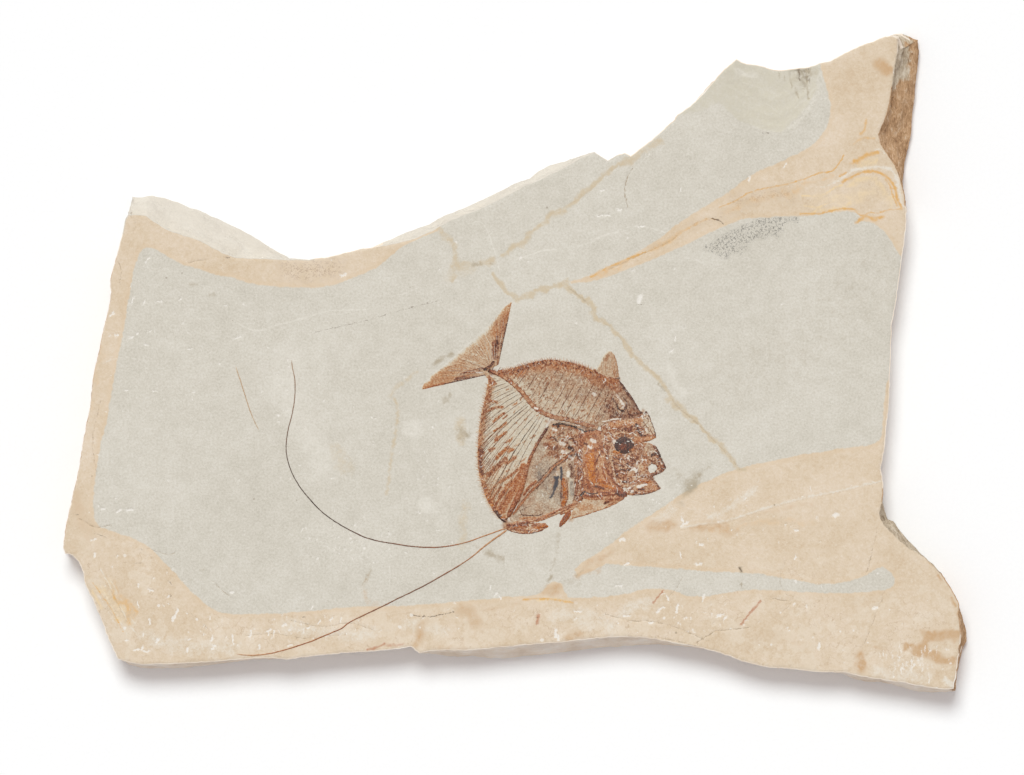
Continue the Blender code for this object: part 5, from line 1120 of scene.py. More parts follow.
@dataclass(frozen=True)
class Signal:
    """A number or colour that flows between a material's nodes, with plain arithmetic."""

    kit: "NodeKit"
    socket: bpy.types.NodeSocket

    def __add__(self, other: "Term") -> "Signal":
        """The sum of the two."""
        return self.kit.math("ADD", self, other)

    def __sub__(self, other: "Term") -> "Signal":
        """This one less the other."""
        return self.kit.math("SUBTRACT", self, other)

    def __mul__(self, other: "Term") -> "Signal":
        """The product of the two."""
        return self.kit.math("MULTIPLY", self, other)


Term = Union[Signal, float, tuple]


class NodeKit:
    """Short calls that add shader nodes to one material and join them."""

    def __init__(self, name: str) -> None:
        """Makes the material with an empty Principled shader.

        Args:
            name: The material's name.
        """
        self.material = bpy.data.materials.new(name)
        self.material.use_nodes = True
        self.tree = self.material.node_tree
        self.shader = self.tree.nodes["Principled BSDF"]
        metres = self.node("TexCoord", {}, "Object")
        self.place = self.node("VectorMath", {0: metres, "Scale": 1.0 / MM}, operation="SCALE")

    def _join(self, value: Term, socket: bpy.types.NodeSocket) -> None:
        """Links a signal to an input, or sets the input to a number or colour.

        Args:
            value: The signal, number or colour.
            socket: The input.
        """
        if isinstance(value, Signal):
            self.tree.links.new(value.socket, socket)
        else:
            socket.default_value = value

    def node(self, kind: str, inputs: dict[Union[int, str], Term], output: Union[int, str] = 0,
             **options: str) -> Signal:
        """Adds one node.

        Args:
            kind: What node it is.
            inputs: What each of its inputs gets.
            output: Which of its outputs counts.
            **options: Its settings.

        Returns:
            The output.
        """
        made = self.tree.nodes.new("ShaderNode" + kind)
        for name, option in options.items():
            setattr(made, name, option)
        for name, value in inputs.items():
            self._join(value, made.inputs[name])
        return Signal(self, made.outputs[output])

    def value(self, channel: str) -> Signal:
        """One of the mesh's per-point values."""
        return self.node("Attribute", {}, "Fac", attribute_name=channel)

    def stretched(self, *scale: float) -> Signal:
        """The place in mm, multiplied along each axis."""
        return self.node("VectorMath", {0: self.place, 1: scale}, operation="MULTIPLY")

    def noise(self, length: float, detail: float = 3.0, roughness: float = 0.55, bend: float = 0.0,
              place: Optional[Signal] = None) -> Signal:
        """Noise around 0.5.

        Args:
            length: Size of its features, in mm.
            detail: How many finer layers it has.
            roughness: How strong they are.
            bend: How far it is distorted.
            place: Where it is read, if not at the place in mm.

        Returns:
            The noise.
        """
        inputs = {"Vector": place or self.place, "Scale": 1.0 / length, "Detail": detail,
                  "Roughness": roughness, "Distortion": bend}
        return self.node("TexNoise", inputs, "Fac")

    def cells(self, length: float) -> Signal:
        """The distance to the middle of a net of cells: 0 there, about 1 on their borders."""
        return self.node("TexVoronoi", {"Vector": self.place, "Scale": 1.0 / length}, "Distance")

    def spots(self, length: float, radius: float, share: float, ragged: float = 0.3) -> Signal:
        """Separate small spots.

        Args:
            length: Distance between places where a spot may be, in mm.
            radius: Size of a spot, in cells.
            share: Which share of the places has one.
            ragged: How ragged their outline is.

        Returns:
            1 inside a spot, 0 outside.
        """
        cells = self.cells(length)
        split = {0: Signal(self, cells.socket.node.outputs["Color"])}
        chosen = self.node("SeparateColor", split)
        size = (Signal(self, chosen.socket.node.outputs[1]) + 0.35) * radius
        away = cells + (self.noise(length * 0.35) - 0.5) * ragged
        spot = self.math("DIVIDE", size - away, radius * 0.3)
        return self.math("LESS_THAN", chosen, share) * self.clamp(spot)

    def math(self, operation: str, *values: Term) -> Signal:
        """One arithmetic step."""
        return self.node("Math", dict(enumerate(values)), operation=operation)

    def clamp(self, value: Term) -> Signal:
        """The value kept from 0 to 1."""
        return self.node("Clamp", {0: value})

    def band(self, value: Term, low: float, high: float) -> Signal:
        """0 below low, 1 above high, smooth between. High may be under low."""
        inputs = {"Value": value, "From Min": low, "From Max": high}
        return self.node("MapRange", inputs, interpolation_type="SMOOTHSTEP")

    def ramp(self, value: Term, stops: Stops) -> Signal:
        """A colour for each value.

        Args:
            value: What chooses the colour.
            stops: Rows of place and display levels.

        Returns:
            The colour.
        """
        made = self.node("ValToRGB", {0: value})
        elements = made.socket.node.color_ramp.elements
        while len(elements) < len(stops):
            elements.new(1.0)
        for element, (place, levels) in zip(elements, stops):
            element.position = place
            element.color = linear(levels)
        return made

    def mix(self, share: Term, low: Term, high: Term) -> Signal:
        """A blend of two colours."""
        return self.node("Mix", {0: share, 6: low, 7: high}, 2, data_type="RGBA")

    def lay(self, colour: Signal, share: Term, levels: Levels) -> Signal:
        """The colour with a share of one in display levels laid over it."""
        return self.mix(share, colour, linear(levels))

    def bump(self, height: Signal, depth: float, strength: float) -> Signal:
        """Small relief of a depth in mm."""
        return self.node("Bump", {"Height": height, "Distance": depth * MM, "Strength": strength})

    def finish(self, colour: Signal, roughness: Term, normal: Signal, specular: float
               ) -> bpy.types.Material:
        """Joins the last steps to the shader.

        Args:
            colour: The surface's colour.
            roughness: How dull it is.
            normal: Its small relief.
            specular: Strength of the reflection.

        Returns:
            The finished material.
        """
        last = {"Base Color": colour, "Roughness": roughness, "Normal": normal,
                "Specular IOR Level": specular}
        for name, value in last.items():
            self._join(value, self.shader.inputs[name])
        return self.material


GREY = ((0.38, (198, 192, 178)), (0.50, (212, 206, 193)), (0.61, (222, 217, 206)))
WHITE_STONE = (240, 235, 227)


def grey_stone(kit: NodeKit) -> Signal:
    """The colour of the grey heart of the limestone."""
    level = kit.noise(60.0, 4.0) * 0.14 + kit.noise(9.0, 5.0, 0.6) * 0.22
    return kit.ramp(level + kit.noise(1.5, 4.0, 0.8) * 0.64, GREY)


@dataclass(frozen=True)
class StoneFinish:
    """The limestone: grey heart, cream rim, cracks, stains, bruises and broken walls.

    Attributes:
        name: The material's name.
        specular: Strength of the reflection.
        dullness: Least roughness, and how much the grain adds.
        relief: Depth in mm and strength of the small relief.
        cream: The rim's colours.
        film: The colours of bone film in the joints of the skeleton.
        broken: The colours of the broken wall: pale fresh stone, made lighter still as painted light so that
            walls turned away from the lamp look brightly lit.
        ledge: Those of the pale ledge.
        rust: Those of the rusty wall.
        ash: Those of its grey parts.
        stains: Each stain's channel, display levels and strength.
    """

    name: str = "limestone"
    specular: float = 0.25
    dullness: Range = (0.72, 0.25)
    relief: Range = (0.26, 0.9)
    cream: Stops = ((0.39, (210, 187, 158)), (0.47, (218, 199, 173)), (0.54, (224, 206, 183)),
                    (0.65, (231, 217, 199)))
    film: Stops = ((0.40, (120, 82, 60)), (0.50, (168, 124, 92)), (0.60, (198, 168, 136)))
    # Paler than the stone's own colour: painted light, so that walls turned away from the lamp look lit.
    broken: Stops = ((0.36, (234, 216, 195)), (0.50, (248, 234, 217)), (0.64, (255, 247, 236)))
    ledge: Stops = ((0.34, (219, 210, 196)), (0.55, (227, 219, 206)), (0.74, (232, 226, 215)))
    rust: Stops = ((0.36, (130, 98, 70)), (0.45, (176, 138, 101)), (0.53, (204, 166, 128)),
                   (0.60, (220, 190, 156)), (0.68, (232, 214, 190)))
    ash: Stops = ((0.36, (138, 122, 102)), (0.45, (180, 162, 138)), (0.53, (206, 190, 166)),
                  (0.62, (226, 214, 196)))
    stains: tuple[tuple[str, Levels, float], ...] = (
        ("scar", (206, 199, 180), 0.80), ("pale", (231, 226, 215), 0.72),
        ("yellow", (236, 209, 160), 0.85), ("orange", (220, 172, 104), 0.95),
        ("stain", (203, 169, 131), 1.0), ("mend", (206, 189, 161), 0.95),
        ("smudge", (172, 158, 134), 0.80), ("red", (188, 132, 102), 0.90),
    )

    def make(self) -> bpy.types.Material:
        """Builds the material.

        Returns:
            The finished material.
        """
        kit = NodeKit(self.name)
        cloud = kit.noise(34.0, 5.0, 0.6)
        patch = kit.noise(5.0, 5.0, 0.7, 0.3)
        grain = kit.noise(1.3, 4.0, 0.8)
        colour = self._heart_and_rim(kit, cloud, patch, grain)
        ragged = (patch - 0.5) * 1.5 + (grain - 0.5) * 1.2
        for channel, levels, amount in self.stains:
            value = kit.value(channel)
            share = kit.band(value + ragged * 0.55, 0.12, 0.92) * kit.band(value, 0.0, 0.2)
            colour = kit.lay(colour, share * kit.clamp(ragged + 0.86) * amount, levels)
        crack = kit.band(kit.value("crack"), 0.25, 0.9) * kit.band(patch, 0.40, 0.52)
        colour = kit.lay(colour, crack * 0.75, (168, 148, 122))
        # Dark lines: real dark veins and cracks, and one painted shadow under a bruise.
        dark = kit.band(kit.value("dark"), 0.25, 0.8) * kit.band(patch, 0.40, 0.5)
        colour = kit.lay(colour, dark * 0.85, (112, 94, 78))
        colour = self._specks(kit, colour, patch, grain)
        film = kit.ramp(patch * 0.5 + grain * 0.5, self.film)
        colour = kit.mix(kit.value("film") * 0.95, colour, film)
        colour = self._walls(kit, colour, patch)
        walls = kit.noise(3.0, 6.0, 0.7, place=kit.stretched(0.6, 0.6, 2.2))
        relief = grain * 0.9 + patch * 1.0 + kit.value("wall") * (walls * 5.0)
        dull = grain * self.dullness[1] + self.dullness[0]
        return kit.finish(colour, dull, kit.bump(relief, *self.relief), self.specular)

    def _heart_and_rim(self, kit: NodeKit, cloud: Signal, patch: Signal, grain: Signal) -> Signal:
        """Lays the grey heart and the cream rim, with its bedding and the sharp line between them.

        Args:
            kit: The material's nodes.
            cloud: Broad noise.
            patch: Noise of a few mm.
            grain: Fine noise.

        Returns:
            The colour of the bare face.
        """
        cream = kit.ramp(cloud * 0.32 + patch * 0.24 + grain * 0.44, self.cream)
        beds = kit.band(kit.math("PINGPONG", kit.noise(26.0, 4.0, 0.6) * 9.0, 0.5), 0.07, 0.0)
        beds = beds * kit.band(kit.value("flecks"), 0.35, 0.8) * kit.band(cloud, 0.46, 0.56)
        cream = kit.lay(cream, beds * 0.5, (190, 164, 134))
        slabs = kit.band(kit.noise(15.0, 5.0, 0.65), 0.53, 0.57) * kit.value("flecks")
        cream = kit.lay(cream, slabs * 0.3, (236, 225, 208))
        edge = kit.value("heart") + (patch - 0.5) * 3.4
        colour = kit.mix(kit.band(edge, -0.6, 0.6), cream, grey_stone(kit))
        halo = kit.band(edge, -4.0, -0.8) * kit.band(edge, 0.6, -0.4)
        return kit.lay(colour, halo * 0.3, (221, 196, 164))

    @staticmethod
    def _specks(kit: NodeKit, colour: Signal, patch: Signal, grain: Signal) -> Signal:
        """Lays the mineral dots, the brown stipple, the white bruises and the rare dark specks.

        Args:
            kit: The material's nodes.
            colour: What they lie on.
            patch: Noise of a few mm.
            grain: Fine noise.

        Returns:
            The colour with the specks on it.
        """
        dots = kit.band(kit.noise(1.5, 4.0, 0.8, 0.6), 0.50, 0.57)
        dots = dots * kit.band(kit.value("dendrites") + (patch - 0.5), 0.2, 0.8)
        dots = dots * kit.band(kit.value("heart"), 0.0, 1.0)
        colour = kit.lay(colour, dots * 0.70, (112, 108, 100))
        colour = kit.lay(colour, kit.band(grain, 0.50, 0.58) * kit.value("stipple") * 0.6, (160, 130, 100))
        flecks = kit.spots(8.0, 0.13, 0.4) * kit.band(kit.value("flecks"), 0.1, 0.9)
        colour = kit.lay(colour, flecks * 0.7, WHITE_STONE)
        chips = kit.value("chip") + (grain - 0.5) * 2.4
        colour = kit.lay(colour, kit.band(chips, 0.2, 1.0) * 0.85, WHITE_STONE)
        return kit.lay(colour, kit.spots(15.0, 0.04, 0.5, 0.05) * 0.5, (140, 124, 104))

    def _walls(self, kit: NodeKit, colour: Signal, patch: Signal) -> Signal:
        """Lays the colours of the broken edge over the top's colours.

        Args:
            kit: The material's nodes.
            colour: The face's colour.
            patch: Noise of a few mm.

        Returns:
            The colour of face and walls.
        """
        beds = kit.noise(3.4, 5.0, 0.65, place=kit.stretched(0.12, 0.12, 1.0))
        level = beds * 0.5 + kit.noise(14.0, 5.0, 0.65) * 0.5
        strokes = kit.noise(2.0, 7.0, 0.8, 0.8, place=kit.stretched(1.0, 0.4, 0.6))
        mixed = strokes * 0.75 + kit.noise(9.0, 4.0) * 0.25
        high = kit.band(kit.value("grey") + (strokes - 0.5) * 3.0, 0.1, 0.9)
        rusty = kit.mix(high, kit.ramp(mixed, self.rust), kit.ramp(mixed, self.ash))
        # The broken wall's ramp is lighter than the stone itself: painted light on walls that face away from
        # the lamp.
        side = kit.mix(kit.band(kit.value("ledge"), 0.1, 0.5), kit.ramp(level, self.broken),
                       kit.ramp(level, self.ledge))
        # The rusty value is the real rust of the right-hand walls, and on the left wall painted shade.
        share = kit.value("rusty") + (patch - 0.5) * 0.6
        side = kit.mix(kit.band(share, 0.15, 0.5), side, rusty)
        return kit.mix(kit.band(kit.value("wall"), 0.15, 0.65), colour, side)


@dataclass(frozen=True)
class BoneFinish:
    """Mineralised bone or film: a tone from bare stone to black, in cool, rusty and golden scales.

    Attributes:
        slot: The name of its slot, which the material takes unless a name is given.
        mottle: How strongly fine noise moves the tone.
        patch_length: Size of the larger mottles, in mm.
        cream: How many cream grains show.
        scales: How strongly a net of rounded scales shows.
        roughness: Base roughness.
        specular: Strength of the reflection.
        deeper: How much darker it all is.
        name: The material's name, if not the slot's.
        grain_roughness: How much the grain adds to the roughness.
        relief: Depth in mm and strength of the small relief.
        cool: Its colours by tone where it is cool.
        rust: Those where it is warm.
        gold: Those where it is warmest.
    """

    slot: str
    mottle: float = 0.50
    patch_length: float = 2.2
    cream: float = 0.6
    scales: float = 0.0
    roughness: float = 0.62
    specular: float = 0.3
    deeper: float = 0.0
    name: str = ""
    grain_roughness: float = 0.25
    relief: Range = (0.25, 0.9)
    cool: Stops = ((0.12, (207, 198, 178)), (0.34, (176, 157, 136)), (0.52, (146, 121, 101)),
                   (0.68, (112, 86, 72)), (0.84, (76, 59, 52)), (1.0, (46, 42, 40)))
    rust: Stops = ((0.12, (214, 195, 165)), (0.30, (205, 163, 121)), (0.46, (187, 125, 77)),
                   (0.60, (165, 92, 48)), (0.76, (118, 56, 34)), (1.0, (54, 32, 24)))
    gold: Stops = ((0.12, (216, 190, 148)), (0.36, (212, 158, 88)), (0.52, (196, 120, 40)),
                   (0.68, (158, 80, 28)), (1.0, (60, 34, 22)))

    def make(self) -> bpy.types.Material:
        """Builds the material.

        Returns:
            The finished material.
        """
        kit = NodeKit(self.name or self.slot)
        patch = kit.noise(self.patch_length, 4.0, 0.7, 0.8)
        grain = kit.noise(1.0, 2.0, 0.75)
        flake = kit.noise(1.25, 3.0, 0.75, 1.0, place=kit.stretched(1.1, 0.8, 1.0))
        tone = kit.value("tone")
        swing = (patch - 0.5) * 1.3 + (grain - 0.5) * 2.4
        if self.scales:
            swing = swing + (kit.cells(1.9) - 0.42) * self.scales
        reach = kit.band(tone, 0.0, 0.3) * self.mottle
        tone = tone + kit.band(tone, 0.05, 0.3) * self.deeper + swing * reach
        warmth = kit.value("warm") + (kit.noise(7.0) - 0.5) * 0.5 + (flake - 0.5) * 0.8
        colour = kit.mix(kit.clamp(warmth), kit.ramp(tone, self.cool), kit.ramp(tone, self.rust))
        colour = kit.mix(kit.band(kit.value("warm"), 0.90, 0.98), colour, kit.ramp(tone, self.gold))
        colour = kit.mix(kit.band(tone, 0.02, 0.18), grey_stone(kit), colour)
        # The white value is bare pale bone, and in a few places a painted highlight.
        pale = kit.band(kit.value("white") + (grain - 0.5) * 1.2, 0.3, 0.75)
        colour = kit.lay(colour, pale * 0.85, (230, 224, 212))
        grains = kit.band(flake, 0.54, 0.66) * kit.band(tone, 0.12, 0.3)
        colour = kit.lay(colour, grains * self.cream, (226, 212, 190))
        blue = kit.band(kit.value("blue") + (patch - 0.5) * 0.8, 0.15, 1.0)
        colour = kit.lay(colour, blue * kit.band(kit.value("blue"), 0.0, 0.1), (78, 76, 80))
        normal = kit.bump(patch * 0.8 + grain * 0.6, *self.relief)
        return kit.finish(colour, grain * self.grain_roughness + self.roughness, normal, self.specular)


MADE: dict[BoneFinish, bpy.types.Material] = {}


class Finish(Enum):
    """The materials of the fish."""

    BODY_FILM = BoneFinish("body_film", mottle=0.34, cream=0.35, deeper=0.05)
    FLANK_FILM = BoneFinish("body_film", name="flank_film", mottle=0.30, patch_length=1.7, cream=0.4,
                            scales=0.6, deeper=0.06)
    FIN_FILM = BoneFinish("fin_film", mottle=0.30, patch_length=1.3, cream=0.25, deeper=0.01)
    BONE = BoneFinish("bone", mottle=0.40, cream=0.4, roughness=0.5, specular=0.4, deeper=0.09)
    AMBER = BoneFinish("amber_bone", mottle=0.32, cream=0.2, roughness=0.42, specular=0.5, deeper=0.10)
    PALE = BoneFinish("pale_bone", mottle=0.34, cream=0.3, deeper=0.06)
    DARK = BoneFinish("dark_bone", mottle=0.26, patch_length=1.0, cream=0.05, roughness=0.4,
                      specular=0.5, deeper=0.06)
    RAY = BoneFinish("ray_bone", mottle=0.24, cream=0.2)

    def material(self) -> bpy.types.Material:
        """The one material of this finish.

        Returns:
            The material, which is made when it is first asked for.
        """
        if self.value not in MADE:
            MADE[self.value] = self.value.make()
        return MADE[self.value]


# ------------------------------------------------------------------ the slab

# Each channel of the stone that has listed marks, those marks, and how soft their edges are.
FACE_MARKS = (
    ("crack", CRACKS, 0.8), ("dark", DARK_LINES, 0.8), ("red", RED_LINES, 0.8),
    ("orange", ORANGE_MARKS, 1.0), ("yellow", YELLOWS, 1.0), ("stain", STAINS, 0.9),
    ("mend", MENDS, 0.8), ("pale", PALE_MARKS, 0.9), ("smudge", SMUDGES, 1.0),
    ("dendrites", DENDRITES, 0.8), ("stipple", STIPPLES, 1.0), ("rusty", RUSTY_AND_SHADED_WALLS, 0.4),
    ("grey", GREY_WALL, 0.6), ("ledge", LEDGE, 0.3),
)
NARROW_MARKS = (*CRACKS, *DARK_LINES, *RED_LINES, *PALE_MARKS, *ORANGE_MARKS, *YELLOWS, *SMUDGES)


def reach_of(length: float, heading: float) -> tuple[float, float]:
    """How far a length goes in x and in y at a heading in degrees."""
    turn = math.radians(heading)
    return length * math.cos(turn), length * math.sin(turn)


@dataclass
class Slab:
    """The stone: a flat split face with seams, flecks and a flake scar, and a broken edge all round.

    Attributes:
        edge_step: Distance between columns of the broken edge, in mm.
        face_step: Distance between points of the split face, in mm.
        narrow: Half width in mm up to which a mark gets points of its own.
        foot_undercut: How far the foot is set back, in mm.
        crest_rounding: How far the top's edge is set in, in mm.
        crest_wall: How much of the wall's colour reaches the crest.
        roughness: Roughness of the broken edge in mm, and its growth with the slope.
        most_roughness: The greatest it gets, in mm.
        roughness_length: Its length along the edge, in mm.
        bedding_length: Its length up the edge, in mm.
        colour_wander: How far the edge's colours stray along it from one height to the next, in mm.
        scar_centre: Middle of the flattened ball that leaves the flake scar.
        scar_radii: Its radii.
        crease: Angle in degrees above which an edge stays sharp.
        weld: Distance in metres within which points become one.
    """

    edge_step: float = 2.3
    face_step: float = 2.15
    narrow: float = 1.6
    foot_undercut: float = 2.4
    crest_rounding: float = 0.8
    crest_wall: float = 0.28
    roughness: Range = (2.2, 0.12)
    most_roughness: float = 3.6
    roughness_length: float = 17.0
    bedding_length: float = 5.0
    colour_wander: float = 20.0
    scar_centre: tuple[float, float, float] = (172.0, 206.0, SLAB_TOP + 8.0)
    scar_radii: tuple[float, float, float] = (43.0, 67.0, 13.0)
    crease: float = 38.0
    weld: float = 0.00001

    channels = ("heart", "crack", "dark", "red", "yellow", "orange", "stain", "mend", "pale", "smudge",
                "dendrites", "stipple", "scar", "flecks", "chip", "film", "wall", "rusty", "grey", "ledge")
    # Share of the height and share of the way in, up a plain wall.
    profile = ((0.0, 0.0), (0.2, 0.04), (0.44, 0.36), (0.7, 0.8), (0.967, 1.0), (1.0, 1.0))
    # Share of the height and how rough the wall is there.
    cover = ((0.15, 0.0), (0.36, 1.0), (0.85, 0.9), (0.967, 0.0))
    rings = (0.0, 0.06, 0.13, 0.2, 0.27, 0.34, 0.41, 0.48, 0.55, 0.62, 0.69, 0.76, 0.83, 0.9, 0.967, 1.0)

    def __post_init__(self) -> None:
        """Lays out the outer and inner line of the broken edge."""
        self.rng = np.random.default_rng(SEED)
        rows = [(*row, *row) if len(row) == 2 else row for row in SLAB_EDGE]
        edge = dense(rows, self.edge_step, closed=True)
        self.outer, self.inner = edge[:, :2], edge[:, 2:]
        self.inward = sideways(self.outer, closed=True)
        ragged = rough(self.outer, 5.0, 3, 2.0)[:, None] * 0.45
        self.outer = self.outer + self.inward * np.maximum(ragged, -0.3)
        worn = rough(self.inner, 4.0, 3, 5.0)[:, None] * 0.5
        self.inner = self.inner + self.inward * np.maximum(worn, -0.2)
        self.crest = self.inner + self.inward * self.crest_rounding

    def scar_depth(self, points: np.ndarray) -> np.ndarray:
        """Works out the flake scar.

        Args:
            points: Rows of (x, y).

        Returns:
            How far it lowers the face at each, in mm.
        """
        x, y = ((points - self.scar_centre[:2]) / self.scar_radii[:2]).T
        ball = self.scar_centre[2] - self.scar_radii[2] * np.sqrt(np.clip(1.0 - x**2 - y**2, 0.0, 1.0))
        depth = np.maximum(SLAB_TOP - ball, 0.0)
        ripples = 0.22 * np.sin(depth * 5.0 + rough(points, 9.0) * 3.0)
        return depth + np.where(depth > 0.3, ripples, 0.0)

    @staticmethod
    def broken(place: np.ndarray, share: float, length: float, bedding: float) -> np.ndarray:
        """Noise on the broken edge.

        Args:
            place: Rows of (x, y) on it.
            share: Their share of the slab's height.
            length: The noise's length along the edge, in mm.
            bedding: Its length up the edge, in mm.

        Returns:
            One value for each place.
        """
        return rough(place, length, 1, SLAB_TOP * share / bedding)

    def wall_rings(self) -> list[np.ndarray]:
        """Works out the broken edge.

        Returns:
            The (x, y, z) points of each of its rings, from the foot to the crest.
        """
        most = self.roughness[0] + self.roughness[1] * np.hypot(*(self.inner - self.outer).T)
        top = SLAB_TOP - self.scar_depth(self.crest)
        found = []
        for share in self.rings[:-1]:
            place = self.outer + (self.inner - self.outer) * np.interp(share, *zip(*self.profile))
            foot = self.foot_undercut * max(0.0, 1.0 - share / 0.2)
            coarse = self.broken(place, share, self.roughness_length, self.bedding_length) + 0.5
            beds = self.broken(place, share, 40.0, 1.5) * 0.9 + self.broken(place, share, 3.4, 2.2) * 0.8
            cover = np.interp(share, *zip(*self.cover))
            set_back = np.clip(coarse * most, 0.0, self.most_roughness) * cover + beds * cover + foot
            found.append(np.column_stack([place + self.inward * set_back[:, None], top * share]))
        return [*found, np.column_stack([self.crest, top])]

    def wall_places(self, ring: np.ndarray, share: float) -> np.ndarray:
        """Moves a ring along the edge, so that no colour ends in a straight line up the wall.

        Args:
            ring: The ring's points.
            share: Its share of the slab's height.

        Returns:
            The (x, y) places that it takes its colours from.
        """
        along = np.column_stack([self.inward[:, 1], -self.inward[:, 0]])
        reach = self.colour_wander * np.interp(share, (0.0, 0.8, 1.0), (1.0, 0.7, 0.0))
        place = ring[:, :2]
        moved = self.broken(place, share, 18.0, 6.0) + 0.5 * self.broken(place, share, 5.0, 2.0)
        return place + along * (moved * reach)[:, None]

    def scatter_chips(self) -> np.ndarray:
        """Scatters the small white bruises and scratches.

        Returns:
            Rows of (x, y, x, y, half width, strength), where the places are the two ends.
        """
        found = []
        for x, y, half, width, heading in CHIPS:
            dx, dy = reach_of(half, heading)
            found.append((x - dx, y - dy, x + dx, y + dy, width, 1.0))
        for x, y, reach_x, reach_y, count, heading, spread, least, most in SCRATCHED:
            for _ in range(count):
                at_x = x + reach_x * self.rng.normal() * 0.6
                at_y = y + reach_y * self.rng.normal() * 0.6
                turned = self.rng.normal(heading, spread)
                half = self.rng.uniform(least, most) * 0.5 * self.rng.uniform(0.2, 0.7 if spread > 9 else 1.0)
                width = self.rng.uniform(0.3, 0.62) + 0.5 * self.rng.random() ** 6
                dx, dy = reach_of(half, turned)
                strength = self.rng.uniform(0.25, 0.85)
                found.append((at_x - dx, at_y - dy, at_x + dx, at_y + dy, width, strength))
        rows = np.array(found)
        middles = (rows[:, :2] + rows[:, 2:4]) / 2
        return rows[inside(middles, self.crest) & (covers(middles, 3.0) == 0)]

    @staticmethod
    def bruised(points: np.ndarray) -> np.ndarray:
        """How bruised the stone is: most along its lower rim and in the corners beside it.

        Args:
            points: Rows of (x, y).

        Returns:
            A value from 0 to 1 for each.
        """
        x, y = points.T
        lower_rim = smooth(-150.0, -172.0, y) * 0.9
        left = smooth(-90.0, -150.0, y) * smooth(-200.0, -250.0, x)
        right = smooth(-110.0, -150.0, y) * smooth(60.0, 140.0, x) * 0.8
        patch = 0.35 * np.exp(-((x + 145) / 40) ** 2 - ((y + 30) / 60) ** 2)
        return np.clip(np.maximum.reduce([lower_rim, left, right, patch]), 0.0, 1.0)

    def face_points(self) -> np.ndarray:
        """Places for the face's vertices, closer together where a narrow mark needs them.

        Returns:
            Rows of (x, y).
        """
        found = [scattered(self.crest, self.face_step, self.rng, 0.9)]
        for width, _, *numbers in NARROW_MARKS:
            if width <= self.narrow:
                middle = rounded(pairs(numbers), 1.6)
                middle = middle + sideways(middle) * (rough(middle, 6.0, 2)[:, None] * 0.5)
                found += [middle + sideways(middle) * side * width for side in (-1.7, -0.85, 0.0, 0.85, 1.7)]
        for *ends, width, _ in self.chips:
            line = dense(pairs(ends), 0.7)
            found += [line + sideways(line) * side * width for side in (-1.5, -0.7, 0.0, 0.7, 1.5)]
        places = np.vstack(found)
        places = places[inside(places, self.crest)]
        return places[distance(places, looped(self.crest)) > 0.5]

    def paint(self, points: np.ndarray) -> Painter:
        """Works out the stone's colour values at places seen from above.

        Args:
            points: Rows of (x, y).

        Returns:
            The painter that holds the values.
        """
        painter = Painter(points, wobble=0.6, broad_from=2.4)
        painter.fill(**dict.fromkeys(self.channels, 0.0))
        values = painter.values
        heart = np.array(GREY_HEART, float)
        away = distance(points, looped(heart))
        values["heart"] = np.clip(np.where(inside(points, heart), away, -away), -30.0, 30.0)
        for channel, marks, soft in FACE_MARKS:
            for width, strength, *numbers in marks:
                painter.mark(numbers, width * 1.3, 1.0, soft, **{channel: strength})
        scar = np.array(SCAR, float)
        rim = distance(painter.places, looped(scar))
        values["scar"] = np.where(inside(painter.places, scar), 0.75 * smooth(0.0, 2.5, rim), 0.0)
        values["pale"] = np.maximum(values["pale"], 0.25 * smooth(1.6, 0.4, rim))
        values["flecks"] = self.bruised(points)
        joint = (covers(points, 1.9) > 1) & ~inside(points, np.array(MOUTH_GAP, float))
        values["film"] = joint.astype(float)
        for width, strength, *numbers in JOINTS:
            painter.mark(numbers, width, strength, 0.4, film=1.0)
        return painter

    def chip_values(self, points: np.ndarray) -> np.ndarray:
        """Works out how deep in a bruise each place is.

        Args:
            points: Rows of (x, y).

        Returns:
            A value from 0 to 1 for each.
        """
        found = np.zeros(len(points))
        for *ends, width, strength in self.chips:
            line = pairs(ends)
            close = near(points, line, width * 1.3)
            away = distance(points[close], line) / width
            found[close] = np.maximum(found[close], strength * smooth(1.2, 0.5, away))
        return found

    def add_face(self, skin: Skin) -> None:
        """Adds the split face.

        Args:
            skin: The mesh that it is added to.
        """
        flat, faces = triangulate(self.crest, self.face_points())
        painter = self.paint(flat)
        values = painter.values
        values["chip"] = self.chip_values(painter.places)
        inset = distance(flat, looped(self.crest))
        values["wall"] = 0.16 * smooth(1.2, 0.0, inset)
        waves = 0.09 * rough(flat, 38.0, 3) + 0.05 * rough(flat, 5.0, 2)
        height = SLAB_TOP - self.scar_depth(flat) + smooth(0.0, 6.0, inset) * waves
        height = height - 0.25 * values["crack"] - 0.2 * values["chip"]
        skin.add(np.column_stack([flat, height]), faces, **values)

    def add_walls(self, skin: Skin) -> None:
        """Adds the broken edge and the underside.

        Args:
            skin: The mesh that they are added to.
        """
        rings = self.wall_rings()
        count = len(self.outer)
        above = np.arange(count)
        ahead = (above + 1) % count
        faces = np.vstack([np.column_stack([above - count, ahead, ahead - count]),
                           np.column_stack([above - count, above, ahead])])
        for share, ring in zip(self.rings, rings):
            values = self.paint(self.wall_places(ring, share)).values
            wall = self.crest_wall if share == 1.0 else 1.0
            skin.add(ring, faces if share else faces[:0], **{**values, "wall": wall, "film": 0.0})
        under, faces = triangulate(rings[0][:, :2], np.zeros((0, 2)))
        skin.add(np.column_stack([under, np.zeros(len(under))]), faces[:, ::-1], wall=1.0)

    def build(self) -> bpy.types.Object:
        """Makes the whole stone as one closed mesh.

        Returns:
            The dressed piece.
        """
        self.chips = self.scatter_chips()
        skin = Skin(self.channels)
        self.add_face(skin)
        self.add_walls(skin)
        stone = skin.build("limestone_slab", StoneFinish().make(), self.crease)
        stone.modifiers.new("weld", "WELD").merge_threshold = self.weld
        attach(stone, "root")
        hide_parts("slab")
        log.info("%s: %d points", stone.name, skin.count)
        return stone


# ------------------------------------------------------------------ the fish


